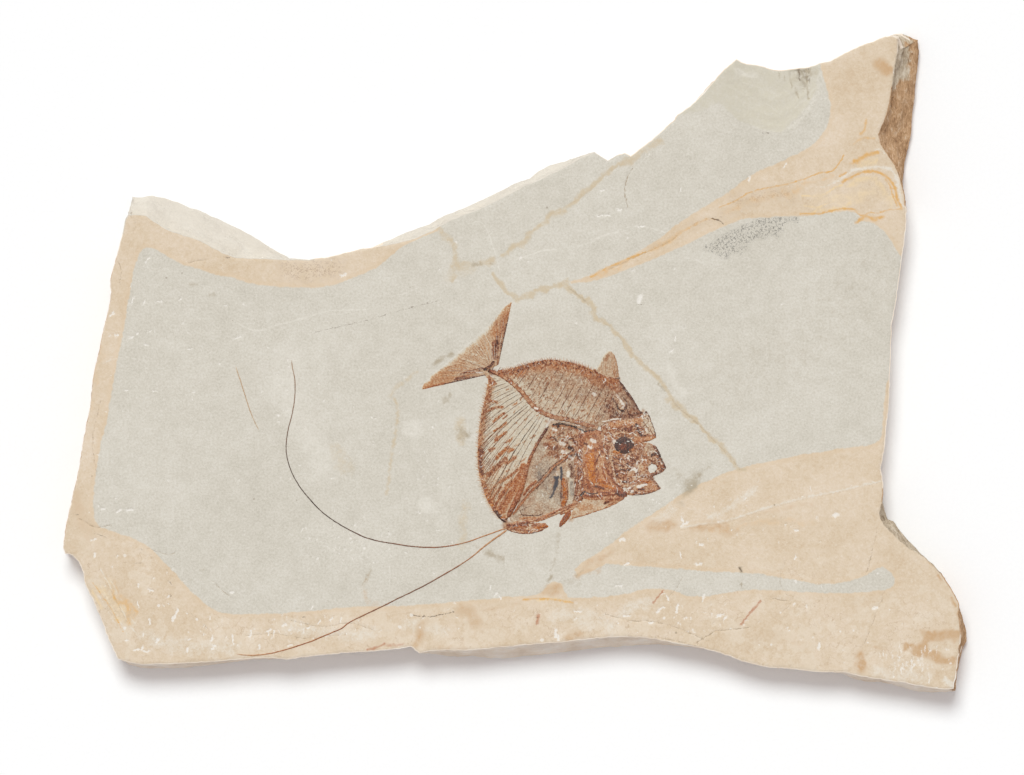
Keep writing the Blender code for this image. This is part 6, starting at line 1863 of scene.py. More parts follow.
def band_outline(line: Line) -> np.ndarray:
    """The closed outline of a band.

    Args:
        line: Rows of (x, y, half width) along its middle.

    Returns:
        Rows of (x, y).
    """
    rows = rounded(line, 1.5)
    offset = sideways(rows[:, :2]) * rows[:, 2:]
    return np.vstack([rows[:, :2] + offset, (rows[:, :2] - offset)[::-1]])


def ring_outline(root: Line, margin: Line) -> np.ndarray:
    """The closed outline between a root line and a margin."""
    return np.vstack([np.array(root, float), np.array(margin, float)[::-1]])


OUTLINES = {
    "tail_fin": ring_outline(TAIL_ROOT, TAIL_MARGIN),
    "upper_flank": ring_outline(FLANK_ROOT, FLANK_MARGIN),
    "dorsal_fin": ring_outline(DORSAL_ROOT, DORSAL_MARGIN),
    "fin_support_fan": ring_outline(FAN_ROOT, FAN_MARGIN),
    "backbone": band_outline([(x, y, 1.7) for x, y in BACKBONE]),
    "belly_strut": band_outline(BELLY_STRUT),
    "skull": SKULL, "lower_jaw": LOWER_JAW, "gill_cover": GILL_COVER, "throat": THROAT,
    "shoulder_bone": SHOULDER_BONE, "abdomen": ABDOMEN, "belly_keel": BELLY_KEEL,
    "pelvic_spine": PELVIC_SPINE,
}


def covers(points: np.ndarray, reach: float, skip: str = "") -> np.ndarray:
    """Counts the pieces of the fish that are near each point.

    Args:
        points: Rows of (x, y).
        reach: How near is near, in mm.
        skip: The node of a piece that isn't counted.

    Returns:
        One number for each point.
    """
    found = np.zeros(len(points), int)
    for node, outline in OUTLINES.items():
        if node != skip:
            found += inside(points, grown(np.array(outline, float), reach))
    return found


def closed_up(edge: np.ndarray, node: str, wide: float, slim: float = 0.3) -> np.ndarray:
    """Grows an outline, and further where a neighbour is close, so that no gap shows between them.

    Args:
        edge: The closed outline.
        node: The node whose outline it is.
        wide: How far it grows towards a neighbour, in mm.
        slim: How far it grows elsewhere, in mm.

    Returns:
        The grown outline.
    """
    far = grown(edge, wide)
    return np.where(covers(far, wide, node)[:, None] > 0, far, grown(edge, slim))


def paint_marks(painter: Painter, tables: Sequence[Marks]) -> None:
    """Lays the marks of the tables, the white places and the blue-black stains.

    Args:
        painter: What they are laid on.
        tables: The tables whose marks may cross the piece.
    """
    for tone, warm, width, rise, *numbers in (row for table in tables for row in table):
        painter.mark(numbers, width * 1.15, 1.0, 0.5, rise, 0.5, tone=tone, warm=warm)
    for strength, width, rise, *numbers in WHITE_PLACES:
        painter.mark(numbers, width * 1.2, strength, 0.6, rise, white=1.0)
    for strength, width, rise, *numbers in BLUE_STAINS:
        painter.mark(numbers, width * 1.2, 1.0, 0.6, rise, blue=strength)


@dataclass(frozen=True)
class Mess:
    """A scatter of small broken-bone marks over an area.

    Attributes:
        count: How many.
        tones: Lowest and highest tone.
        warmth: Lowest and highest warmth.
        widths: Smallest and largest half width in mm.
        lengths: Shortest and longest, in mm.
        heading: Main direction in degrees, or None for any.
        spread: How far headings stray, in degrees.
        rise: Greatest height, in mm.
        white: Which share of the marks is bare white instead.
        area: The outline that they keep to, or none for the whole piece.
    """

    count: int
    tones: Range
    warmth: Range
    widths: Range = (0.25, 0.6)
    lengths: Range = (1.2, 4.0)
    heading: Optional[float] = None
    spread: float = 40.0
    rise: float = 0.12
    white: float = 0.12
    area: Optional[Line] = None

    def lay(self, painter: Painter, outline: np.ndarray, rng: np.random.Generator) -> None:
        """Lays the marks.

        Args:
            painter: What they are laid on.
            outline: The edge of the piece.
            rng: Places them.
        """
        if self.area is not None:
            outline = np.array(self.area, float)
        places = rng.uniform(outline.min(axis=0), outline.max(axis=0), (self.count * 3, 2))
        for x, y in places[inside(places, outline)][: self.count]:
            if self.heading is None:
                heading = rng.uniform(0, 360)
            else:
                heading = self.heading + rng.normal(0, self.spread)
            half = rng.uniform(*self.lengths) / 2
            dx, dy = reach_of(half, heading)
            bend = rng.normal(0, 0.2) * half
            numbers = (x - dx, y - dy, x - dy / half * bend, y + dx / half * bend, x + dx, y + dy)
            width, rise = rng.uniform(*self.widths), rng.uniform(0.2, 1.0) * self.rise
            if rng.random() < self.white:
                painter.mark(numbers, width, 0.8, 0.6, white=0.8)
            else:
                painter.mark(numbers, width, 0.85, 0.6, rise,
                             tone=rng.uniform(*self.tones), warm=rng.uniform(*self.warmth))


@dataclass
class FishPiece:
    """One visible piece of the fish.

    Attributes:
        name: Its name.
        node: The CAD node that it stands for.
        finish: What it is made of.
        reach: How far it grows towards a neighbour, in mm.
        skin: Its mesh.
    """

    name: str
    node: str
    finish: Finish
    reach: float = 1.9
    skin: Skin = field(default_factory=lambda: Skin(("tone", "warm", "white", "blue")))

    def add_strip(self, line: np.ndarray, half_widths: np.ndarray, rise: Union[np.ndarray, float],
                  base: float, tone: Union[np.ndarray, float], warm: Union[np.ndarray, float]) -> None:
        """Adds a low rounded ridge.

        Args:
            line: Places along it.
            half_widths: Half its width at each place, in mm.
            rise: Its height, in mm.
            base: The height of what lies below, in mm.
            tone: Its tone at each place, or one for all.
            warm: Its warmth, likewise.
        """
        points, faces = strip(line, half_widths, rise, base)
        tones, warmth = (np.repeat(np.broadcast_to(value, len(line)), len(RIDGE)) for value in (tone, warm))
        self.skin.add(points, faces, tone=tones, warm=warmth)

    @property
    def slot(self) -> str:
        """The slot that its finish belongs to."""
        return self.finish.value.slot

    def dress(self) -> bpy.types.Object:
        """Makes the object, ties it to the frame and hides the CAD part that it stands for.

        Returns:
            The dressed piece.
        """
        made = self.skin.build(self.name, self.finish.material())
        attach(made, "root")
        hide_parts(self.node)
        self.slot
        log.info("%s: %d points", self.name, self.skin.count)
        return made


@dataclass
class Relief(FishPiece):
    """A piece in low relief inside an outline, with marks laid over its ground.

    Attributes:
        marks: Tables of marks that may cross it.
        mess: Scatters of small marks over it.
        step: Distance between its points, in mm.
        thickness: Height of its ground over the stone, in mm.
        ragged: How far its edge wanders, in mm.
        ragged_length: Length of that wandering, in mm.
        shoulder: How wide the slope up from its edge is, in mm.
        lip: How far from its edge it comes clear of the stone, in mm.
        lumps: Height and length of its small lumps, in mm.
        holes: Outlines left open.
    """

    marks: tuple[Marks, ...] = ()
    mess: tuple[Mess, ...] = ()
    step: float = 0.45
    thickness: float = 0.3
    ragged: float = 0.3
    ragged_length: float = 1.3
    shoulder: float = 0.9
    lip: float = 0.35
    lumps: Range = (0.05, 1.2)
    holes: tuple[Line, ...] = ()

    def outline(self) -> Line:
        """Its closed edge."""
        return OUTLINES[self.node]

    def ground(self, points: np.ndarray) -> tuple[np.ndarray, np.ndarray]:
        """The tone and warmth of its ground at each point."""
        raise NotImplementedError

    def add_relief(self, rng: np.random.Generator) -> None:
        """Adds the relief.

        Args:
            rng: Places its points and small marks.
        """
        edge = closed_up(dense(self.outline(), self.step * 1.2, closed=True), self.node, self.reach)
        wander = rough(edge, self.ragged_length, 2)[:, None]
        edge = edge + wander * sideways(edge, closed=True) * self.ragged
        flat, faces = triangulate(edge, scattered(edge, self.step, rng, self.step * 0.45))
        away = distance(flat, looped(edge))
        for hole in self.holes:
            faces = faces[~inside(flat[faces].mean(axis=1), dense(hole, self.step, closed=True))]
            away = np.minimum(away, distance(flat, looped(dense(hole, 0.5, closed=True))))
        painter = Painter(flat)
        painter.fill(white=0.0, blue=0.0)
        painter.values["tone"], painter.values["warm"] = self.ground(flat)
        for mess in self.mess:
            mess.lay(painter, edge, rng)
        paint_marks(painter, self.marks)
        body = self.thickness * smooth(0.0, self.shoulder, away)
        lumps = self.lumps[0] * rough(flat, self.lumps[1], 2)
        rise = FILM_BASE - SUNK + body + painter.height + lumps
        height = SUNK + rise * smooth(-0.15, self.lip, away)
        self.skin.add(np.column_stack([flat, height]), faces, **painter.values)


@dataclass
class Plate(Relief):
    """A plate of bone.

    Attributes:
        tone: Tone of its ground.
        warm: Its warmth.
    """

    tone: float = 0.4
    warm: float = 0.5

    def ground(self, points: np.ndarray) -> tuple[np.ndarray, np.ndarray]:
        """The tone and warmth of its ground at each point."""
        return self.tone + 0.12 * rough(points, 4.0, 3), self.warm + 0.20 * rough(points, 6.0, 2, 4.0)

    def build(self, rng: np.random.Generator) -> bpy.types.Object:
        """Makes the plate."""
        self.add_relief(rng)
        return self.dress()


@dataclass(frozen=True)
class Rays:
    """Fine lines drawn over a sheet, from its root line to its margin.

    Attributes:
        count: How many.
        width: Half width in mm.
        rise: Height in mm.
        tone: Tone of the line.
        warm: Its warmth.
        start: Lowest and highest share of the way out at which one starts.
        end: Lowest and highest share at which one ends.
    """

    count: int
    width: float
    rise: float
    tone: float
    warm: float
    start: Range = (0.0, 0.2)
    end: Range = (0.8, 1.0)


@dataclass(frozen=True)
class Fringe:
    """Short fine spines that stand past a sheet's margin.

    Attributes:
        length: Their length in mm.
        tone: Their tone.
        first: Share of the way along the margin where they start.
        last: Share where they end.
        spacing: Distance between them, in mm.
    """

    length: float
    tone: float
    first: float
    last: float
    spacing: float = 0.6


@dataclass
class Sheet(Relief):
    """A thin film between a root line and a margin, with fine rays drawn over it and a fringe.

    Attributes:
        root: Where its rays start.
        margin: Where they end.
        powers: How they crowd towards the start of the root and of the margin.
        bow: How far the last ray bends sideways, in mm.
        shade: Gives the tone and warmth at each place from the share of the way out, the distance to
            the margin in mm and the place itself.
        rays: Sets of fine lines.
        fringe: The spines past the margin.
    """

    thickness: float = 0.12
    step: float = 0.5
    ragged: float = 0.4
    ragged_length: float = 1.2
    shoulder: float = 1.6
    lip: float = 0.3
    lumps: Range = (0.04, 1.0)
    root: Line = ()
    margin: Line = ()
    powers: Range = (1.0, 1.0)
    bow: float = 0.0
    shade: Optional[Callable] = None
    rays: tuple[Rays, ...] = ()
    fringe: Optional[Fringe] = None

    def outline(self) -> Line:
        """Its closed edge."""
        return ring_outline(self.root, self.margin)

    def ground(self, points: np.ndarray) -> tuple[np.ndarray, np.ndarray]:
        """The tone and warmth of its ground.

        Args:
            points: Rows of (x, y).

        Returns:
            The tone and the warmth at each point.
        """
        to_root = distance(points, np.array(self.root, float))
        away = distance(points, np.array(self.margin, float))
        return self.shade(to_root / np.maximum(to_root + away, 1e-6), away, points)

    def ray(self, share: float) -> np.ndarray:
        """Draws one ray.

        Args:
            share: How far along the root it starts, from 0 to 1.

        Returns:
            Its places, from the root to the margin.
        """
        start = places_at(self.root, share ** self.powers[0])
        end = places_at(self.margin, share ** self.powers[1])
        along = (end - start) / max(math.hypot(*(end - start)), 1e-6)
        side = np.array([along[1], -along[0]]) * self.bow * share
        t = np.linspace(0.0, 1.0, 9)[:, None]
        return start + (end - start) * t + side * np.sin(math.pi * t)

    def build(self, rng: np.random.Generator) -> bpy.types.Object:
        """Makes the film, its rays and its fringe.

        Args:
            rng: Varies them.

        Returns:
            The dressed piece.
        """
        self.add_relief(rng)
        for rays in self.rays:
            for i in range(rays.count):
                self.add_ray(rays, i, rng)
        if self.fringe:
            self.add_fringe(self.fringe, rng)
        return self.dress()

    def add_ray(self, rays: Rays, i: int, rng: np.random.Generator) -> None:
        """Lays one fine line over the film.

        Args:
            rays: The set that it belongs to.
            i: Its place in the set.
            rng: Varies it.
        """
        line = rounded(self.ray((i + 0.5 + rng.uniform(-0.25, 0.25)) / rays.count), 1.0)
        line = line + sideways(line) * rough(line, 5.0, 2)[:, None] * 0.25
        first, last = rng.uniform(*rays.start) * len(line), rng.uniform(*rays.end) * len(line)
        line = line[int(first): int(last)]
        if len(line) < 4:
            return
        t = np.linspace(0.0, 1.0, len(line))
        crumble = 0.65 + 0.7 * rough(line, 1.6, 2, float(i))
        widths = rays.width * rng.uniform(0.7, 1.3) * np.clip(crumble, 0.1, 1.3)
        widths = widths * np.minimum(1.0, np.minimum(t, 1.0 - t) * 9 + 0.15)
        tones = rays.tone + rng.normal(0, 0.07) + 0.15 * (crumble - 0.65)
        warm = rays.warm + rng.normal(0, 0.12)
        self.add_strip(line, widths, rays.rise, FILM_BASE + self.thickness, tones, warm)

    def add_fringe(self, fringe: Fringe, rng: np.random.Generator) -> None:
        """Lays the short fine spines that stand past the margin.

        Args:
            fringe: What they are like.
            rng: Varies them.
        """
        margin = dense(self.margin, fringe.spacing)
        outward = -sideways(margin)
        if np.sum((margin - np.array(self.root, float).mean(axis=0)) * outward) < 0:
            outward = -outward
        lean = np.gradient(margin, axis=0)
        lean = lean / np.hypot(*lean.T)[:, None]
        t = np.linspace(0.0, 1.0, 4)
        for i in range(int(fringe.first * len(margin)), int(fringe.last * len(margin))):
            heading = outward[i] + lean[i] * rng.normal(-0.35, 0.2)
            reach = fringe.length * rng.uniform(0.4, 1.3)
            line = margin[i] - heading * 1.2 + heading * t[:, None] * (reach + 1.2)
            tone = fringe.tone + rng.normal(0, 0.08) - 0.18 * t
            self.add_strip(line, 0.27 * (1.1 - t), 0.16 * (1.1 - t), FILM_BASE, tone, rng.uniform(0.6, 1.0))


@dataclass
class Rod(FishPiece):
    """A rounded bone along a line of (x, y, half width).

    Attributes:
        line: Its centre line.
        colours: Tone and warmth, from its start to its end.
        flatness: Its height as a share of its half width.
        slim: Scales the half widths.
        least: The least half width, in mm.
        step: Distance between its points, in mm.
    """

    line: Line = ()
    colours: tuple[Range, ...] = ((0.5, 0.8),)
    flatness: float = 0.9
    slim: float = 1.0
    least: float = 0.15
    step: float = 0.8

    def build(self, rng: np.random.Generator) -> bpy.types.Object:
        """Makes the bone.

        Args:
            rng: Not drawn from here.

        Returns:
            The dressed piece.
        """
        rows = rounded(self.line, self.step)
        middle, widths = rows[:, :2], np.maximum(rows[:, 2] * self.slim, self.least)
        t = np.linspace(0.0, 1.0, len(middle))
        stops = np.linspace(0.0, 1.0, len(self.colours))
        tone, warm = (np.interp(t, stops, column) for column in zip(*self.colours))
        middle = middle + sideways(middle) * (rough(middle, 3.0, 2)[:, None] * 0.12)
        widths = widths * (1.0 + 0.25 * rough(middle, 2.0, 2, 8.0))
        widths = widths * np.minimum(1.0, np.minimum(t, 1.0 - t) * len(t) / 3.0 + 0.25)
        self.add_strip(middle, widths, widths * self.flatness, FILM_BASE, tone, warm)
        return self.dress()


@dataclass
class Backbone(FishPiece):
    """The column: hourglass vertebrae, darker where they meet, with short processes on both sides.

    Attributes:
        line: Its centre line.
        vertebrae: How many.
        rows: Rows of points in each.
        columns: Points across it.
        widths: Half its width at the end and from its middle on, in mm.
        waist: Half the width of a vertebra's middle, as a share of its rim's.
    """

    line: Line = ()
    vertebrae: int = 24
    rows: int = 10
    columns: int = 11
    widths: Range = (1.5, 2.1)
    waist: float = 0.72

    def build(self, rng: np.random.Generator) -> bpy.types.Object:
        """Makes the column as a relief grid along its centre line.

        Args:
            rng: Varies its processes.

        Returns:
            The dressed piece.
        """
        count = self.vertebrae * self.rows + 1
        t = np.linspace(0.0, 1.0, count)
        middle = places_at(rounded(self.line, 1.0), t)
        right = sideways(middle)
        size = np.interp(t, (0.0, 0.4, 1.0), (self.widths[0], self.widths[1], self.widths[1] * 0.95))
        across = np.tile(np.linspace(-1.0, 1.0, self.columns), count)
        row = np.repeat(np.arange(count), self.columns)
        t = t[row]
        rim = np.abs((t * self.vertebrae) % 1.0 - 0.5) * 2.0
        half = size[row] * (self.waist + (1.0 - self.waist) * rim**2)
        flat = middle[row] + right[row] * (half * across)[:, None]
        lift = np.sqrt(np.maximum(0.0, 1.0 - across**2)) * (0.55 + 0.25 * rim) + 0.08 * rough(flat, 0.9, 2)
        height = np.where(np.abs(across) > 0.99, SUNK, FILM_BASE + lift)
        streak = rough(flat, 2.4, 2, 6.0)
        pale = smooth(0.25, 0.6, rough(flat, 1.3, 2, 2.0)) * smooth(0.06, 0.2, t)
        tone = 0.42 + 0.16 * across**2 + 0.20 * streak + 0.10 * (rim > 0.82) + 0.25 * smooth(0.1, 0.0, t)
        painter = Painter(flat)
        painter.values = {"tone": tone, "warm": 0.80 - 0.25 * t + 0.2 * streak, "white": 0.63 * pale,
                          "blue": np.zeros(len(flat))}
        paint_marks(painter, ())
        self.skin.add(np.column_stack([flat, height]), grid_faces(count, self.columns), **painter.values)
        self.add_processes(middle, right, rng)
        return self.dress()

    def add_processes(self, middle: np.ndarray, right: np.ndarray, rng: np.random.Generator) -> None:
        """Lays the thin spines that leave the column on both sides.

        Args:
            middle: Places along the column.
            right: The direction to its right at each.
            rng: Varies them.
        """
        t = np.linspace(0.0, 1.0, 6)
        for i in range(6, len(middle) - 8, self.rows):
            for side, reach in ((-1.0, rng.uniform(4.0, 9.0)), (1.0, rng.uniform(2.0, 4.0))):
                heading = right[i] * side + (middle[i + 1] - middle[i]) * rng.uniform(0.0, 1.2)
                heading = heading / math.hypot(*heading)
                line = middle[i] + heading * np.linspace(0.8, reach, 6)[:, None]
                self.add_strip(line, 0.2 * (1.1 - 0.7 * t), 0.22 * (1.1 - t), FILM_BASE + 0.1,
                               rng.uniform(0.35, 0.6), rng.uniform(0.4, 0.8))


def round_noise(turns: np.ndarray, size: float, heights: np.ndarray) -> np.ndarray:
    """Noise round a circle, without a seam.

    Args:
        turns: Angles in radians.
        size: How many features there are round it.
        heights: Which noise each angle reads.

    Returns:
        One value for each angle.
    """
    return np.array([noise.noise(Vector((math.cos(turn) * size, math.sin(turn) * size, height)))
                     for turn, height in zip(turns, heights)])


@dataclass
class Eye(FishPiece):
    """The dark lens: a low dome with radial streaks.

    Attributes:
        centre: Its middle.
        core: The middle of its paler and warmer core.
        radii: Its half width and half height, in mm.
        rise: Height of the dome over its rim, in mm.
        glints: x, y and half width of each glint, a small white painted highlight on the lens.
    """

    centre: Range = (72.2, -55.2)
    core: Range = (71.4, -56.4)
    radii: Range = (6.9, 6.0)
    rise: float = 0.5
    glints: Line = ((74.6, -52.4, 0.5), (69.4, -54.2, 0.4), (72.6, -53.4, 0.35), (77.6, -52.8, 0.6))

    def build(self, rng: np.random.Generator) -> bpy.types.Object:
        """Makes the eye.

        Args:
            rng: Places its points.

        Returns:
            The dressed piece.
        """
        turns = np.linspace(0.0, 2 * math.pi, 90, endpoint=False)
        reach = 1.0 + 0.07 * round_noise(turns, 2.2, np.ones(90))
        circle = np.stack([np.cos(turns), np.sin(turns)], axis=1)
        edge = self.centre + circle * self.radii * reach[:, None]
        flat, faces = triangulate(edge, scattered(edge, 0.36, rng, 0.2))
        away = np.hypot(*((flat - self.centre) / self.radii).T)
        x, y = (flat - self.centre).T
        streak = round_noise(np.arctan2(y, x), 6.0, away * 1.4)
        core = smooth(3.4, 1.2, np.hypot(*(flat - self.core).T))
        painter = Painter(flat)
        painter.values = {
            "tone": 0.84 + (0.14 * streak + 0.08 * rough(flat, 1.0, 2)) - 0.12 * core,
            "warm": 0.38 + 0.45 * core,
            "white": 0.7 * smooth(0.30, 0.5, streak) * smooth(0.5, 0.85, away),
            "blue": np.zeros(len(flat)),
        }
        paint_marks(painter, ())
        # Painted highlights: small white glints of light on the lens.
        for x, y, width in self.glints:
            painter.mark((x - 0.5, y, x + 0.6, y - 0.5), width, 0.8, white=0.9)
        dome = self.rise * np.sqrt(np.clip(1.0 - away**2, 0.0, 1.0)) + 0.12 * streak
        height = np.where(away < 0.97, FILM_BASE + 0.4 + dome, SUNK)
        self.skin.add(np.column_stack([flat, height]), faces, **painter.values)
        return self.dress()


# ------------------------------------------------------------------ the films' grounds
# Each gets the share of the way out, the distance to the margin in mm and the places, and gives the
# tone and the warmth at each place.

Shade = tuple[np.ndarray, np.ndarray]


def tail_shade(share: np.ndarray, away: np.ndarray, points: np.ndarray) -> Shade:
    """Tan fading into the stone at the trailing edge, pinker in the two lobes.

    Args:
        share: Not used here.
        away: Distance to the margin.
        points: The places.

    Returns:
        The tone and the warmth.
    """
    x, y = points.T
    lobes = np.maximum(smooth(14, 34, y), smooth(-30, -52, x))
    tone = 0.29 + 0.06 * lobes + 0.07 * rough(points, 3.0, 3)
    return tone * smooth(-0.5, 5.0, away + 1.2 * rough(points, 2.6, 2)), 0.55 + 0.15 * lobes


def flank_shade(share: np.ndarray, away: np.ndarray, points: np.ndarray) -> Shade:
    """Dark at the back's margin, brown under it and grey-tan towards the backbone.

    Args:
        share: Share of the way out.
        away: Distance to the margin.
        points: The places.

    Returns:
        The tone and the warmth.
    """
    ruffle = away + 0.9 * rough(points, 2.2, 2)
    margin = smooth(2.4, 0.4, ruffle)
    brown = smooth(9.0, 4.5, ruffle) * smooth(72, 62, points[:, 0])
    head = smooth(45, 66, points[:, 0])
    tone = 0.33 + 0.13 * brown + 0.20 * margin - 0.14 * smooth(0.5, 0.1, share) * (1 - head) + 0.10 * head
    tone = tone + 0.10 * rough(points, 1.7, 2) * (0.6 + 0.8 * brown) + 0.06 * rough(points, 8.0, 2)
    return tone, 0.26 + 0.45 * brown + 0.02 * head + 0.15 * rough(points, 4.5, 2, 3.0)


def dorsal_shade(share: np.ndarray, away: np.ndarray, points: np.ndarray) -> Shade:
    """A tan fin, darker towards its front edge.

    Args:
        share: Not used here.
        away: Distance to the margin.
        points: The places.

    Returns:
        The tone and the warmth.
    """
    front = smooth(60, 67, points[:, 0])
    tone = 0.30 + 0.08 * front + 0.06 * rough(points, 2.0, 2)
    return tone * smooth(-0.8, 1.6, away + 2.0 * front), 0.42 + 0.1 * front


def fan_shade(share: np.ndarray, away: np.ndarray, points: np.ndarray) -> Shade:
    """Pale between the rays, brown and rusty near the margin.

    Args:
        share: Not used here.
        away: Distance to the margin.
        points: The places.

    Returns:
        The tone and the warmth.
    """
    edge = smooth(5.6, 1.2, away + 1.6 * rough(points, 2.0, 3))
    low = smooth(-60, -95, points[:, 1])
    return 0.15 + 0.22 * edge + 0.10 * low + 0.05 * rough(points, 2.4, 3), 0.15 + 0.5 * edge + 0.35 * low


# ------------------------------------------------------------------ the small marks of each piece

UPPER_TRUNK = ((24.4, -42.4), (40, -44), (39.4, -66), (31, -67), (20.2, -60), (19, -53))
FAN_RIM = (*FAN_MARGIN, *((x + 3.4, y + 0.6) for x, y in reversed(FAN_MARGIN)))
BACK_RIM = (*FLANK_MARGIN[:12], *((x - 0.4, y - 3.6) for x, y in reversed(FLANK_MARGIN[:12])))
SKULL_MESS = (
    Mess(520, (0.08, 0.22), (0.2, 0.6), (0.2, 0.5), (1.0, 3.6), rise=0.16, white=0.35),
    Mess(520, (0.38, 0.62), (0.5, 0.92), (0.2, 0.5), (0.9, 3.4), white=0.0),
    Mess(300, (0.60, 0.86), (0.3, 0.8), (0.18, 0.36), (0.8, 2.8), rise=0.08, white=0.0),
    Mess(70, (0.5, 0.75), (0.5, 0.9), (0.2, 0.4), (3.0, 7.0), -12.0, 24.0),
)
GILL_MESS = (
    Mess(120, (0.10, 0.26), (0.5, 0.9), (0.2, 0.5), (1.4, 5.0), -75.0, 25.0, white=0.2),
    Mess(140, (0.38, 0.60), (0.7, 1.0), (0.2, 0.5), (1.4, 5.0), -75.0, 25.0, white=0.0),
    Mess(60, (0.60, 0.80), (0.5, 0.9), (0.18, 0.34), (1.0, 3.6), -70.0, 30.0, white=0.0),
)
BREAST_MESS = (
    Mess(110, (0.10, 0.24), (0.2, 0.6), (0.2, 0.5), (1.0, 3.6), 85.0, 30.0, white=0.4),
    Mess(110, (0.42, 0.70), (0.4, 0.9), (0.2, 0.5), (1.0, 4.0), 85.0, 30.0, white=0.0),
)
TRUNK_MESS = (
    Mess(60, (0.10, 0.20), (0.2, 0.5), (0.25, 0.55), (1.0, 3.0), 50.0, white=0.5, area=UPPER_TRUNK),
    Mess(150, (0.34, 0.66), (0.4, 0.9), (0.22, 0.55), (1.0, 3.6), 50.0, white=0.0, area=UPPER_TRUNK),
    Mess(50, (0.66, 0.9), (0.2, 0.7), (0.2, 0.36), (0.8, 2.6), 50.0, white=0.0, area=UPPER_TRUNK),
    Mess(60, (0.24, 0.4), (0.1, 0.4), (0.2, 0.5), (0.8, 3.0), 50.0, white=0.1),
)
FLANK_MESS = (
    Mess(260, (0.42, 0.84), (0.4, 0.95), (0.25, 0.6), (0.8, 2.2), 70.0, 30.0, 0.08, 0.04, BACK_RIM),
    Mess(420, (0.40, 0.66), (0.2, 0.7), (0.22, 0.5), (0.8, 2.4), 58.0, 14.0, 0.05, 0.0),
    Mess(330, (0.12, 0.24), (0.1, 0.5), (0.2, 0.42), (0.8, 2.4), -55.0, 14.0, 0.05, 0.1),
)
FAN_MESS = (
    Mess(300, (0.42, 0.80), (0.4, 0.95), (0.25, 0.6), (0.9, 2.6), 40.0, 22.0, white=0.06, area=FAN_RIM),
    Mess(90, (0.12, 0.26), (0.4, 0.8), (0.25, 0.5), (0.9, 2.2), 40.0, 22.0, white=0.1, area=FAN_RIM),
    Mess(60, (0.45, 0.68), (0.6, 0.92), (0.25, 0.6), (1.2, 3.6), 42.0, 8.0, white=0.05),
)
KEEL_MESS = (
    Mess(70, (0.10, 0.22), (0.3, 0.6), (0.2, 0.45), (1.4, 4.4), 12.0, 14.0, white=0.3),
    Mess(60, (0.45, 0.70), (0.7, 0.92), (0.2, 0.5), (1.4, 4.4), 12.0, 14.0, white=0.0),
)
JAW_MESS = (
    Mess(46, (0.10, 0.24), (0.3, 0.6), (0.2, 0.45), (1.0, 3.6), 5.0, 28.0, white=0.5),
    Mess(50, (0.42, 0.70), (0.5, 0.92), (0.2, 0.45), (1.0, 3.6), 5.0, 28.0, white=0.0),
)
DORSAL_MARKS = (
    (0.56, 0.4, 0.5, 0.15, 65.6, 5, 66.8, 1.4, 68, -3, 68.8, -9.4), (0.50, 0.5, 1.4, 0, 60, 1.6, 61.6, 4.6),
    (0.46, 0.6, 1.6, 0, 66, -6, 67.4, -9),
)
TAIL_RAYS = (Rays(34, 0.24, 0.12, 0.50, 0.6, end=(0.75, 0.95)),
             Rays(22, 0.2, 0.16, 0.12, 0.4, end=(0.5, 0.85)),
             Rays(60, 0.18, 0.10, 0.42, 0.6, (0.45, 0.7)))
FLANK_RAYS = (Rays(19, 0.34, 0.16, 0.64, 0.5, (0.0, 0.06), (0.55, 0.95)),
              Rays(44, 0.2, 0.1, 0.16, 0.3, (0.0, 0.3), (0.35, 0.8)))
DORSAL_RAYS = (Rays(12, 0.2, 0.12, 0.48, 0.5), Rays(8, 0.16, 0.12, 0.16, 0.4))
FAN_RAYS = (Rays(17, 0.27, 0.22, 0.70, 0.35, (0.0, 0.03), (0.92, 1.0)),
            Rays(80, 0.22, 0.16, 0.58, 0.65, (0.66, 0.86), (0.95, 1.0)),
            Rays(34, 0.18, 0.12, 0.50, 0.5, (0.35, 0.7), (0.9, 1.0)))


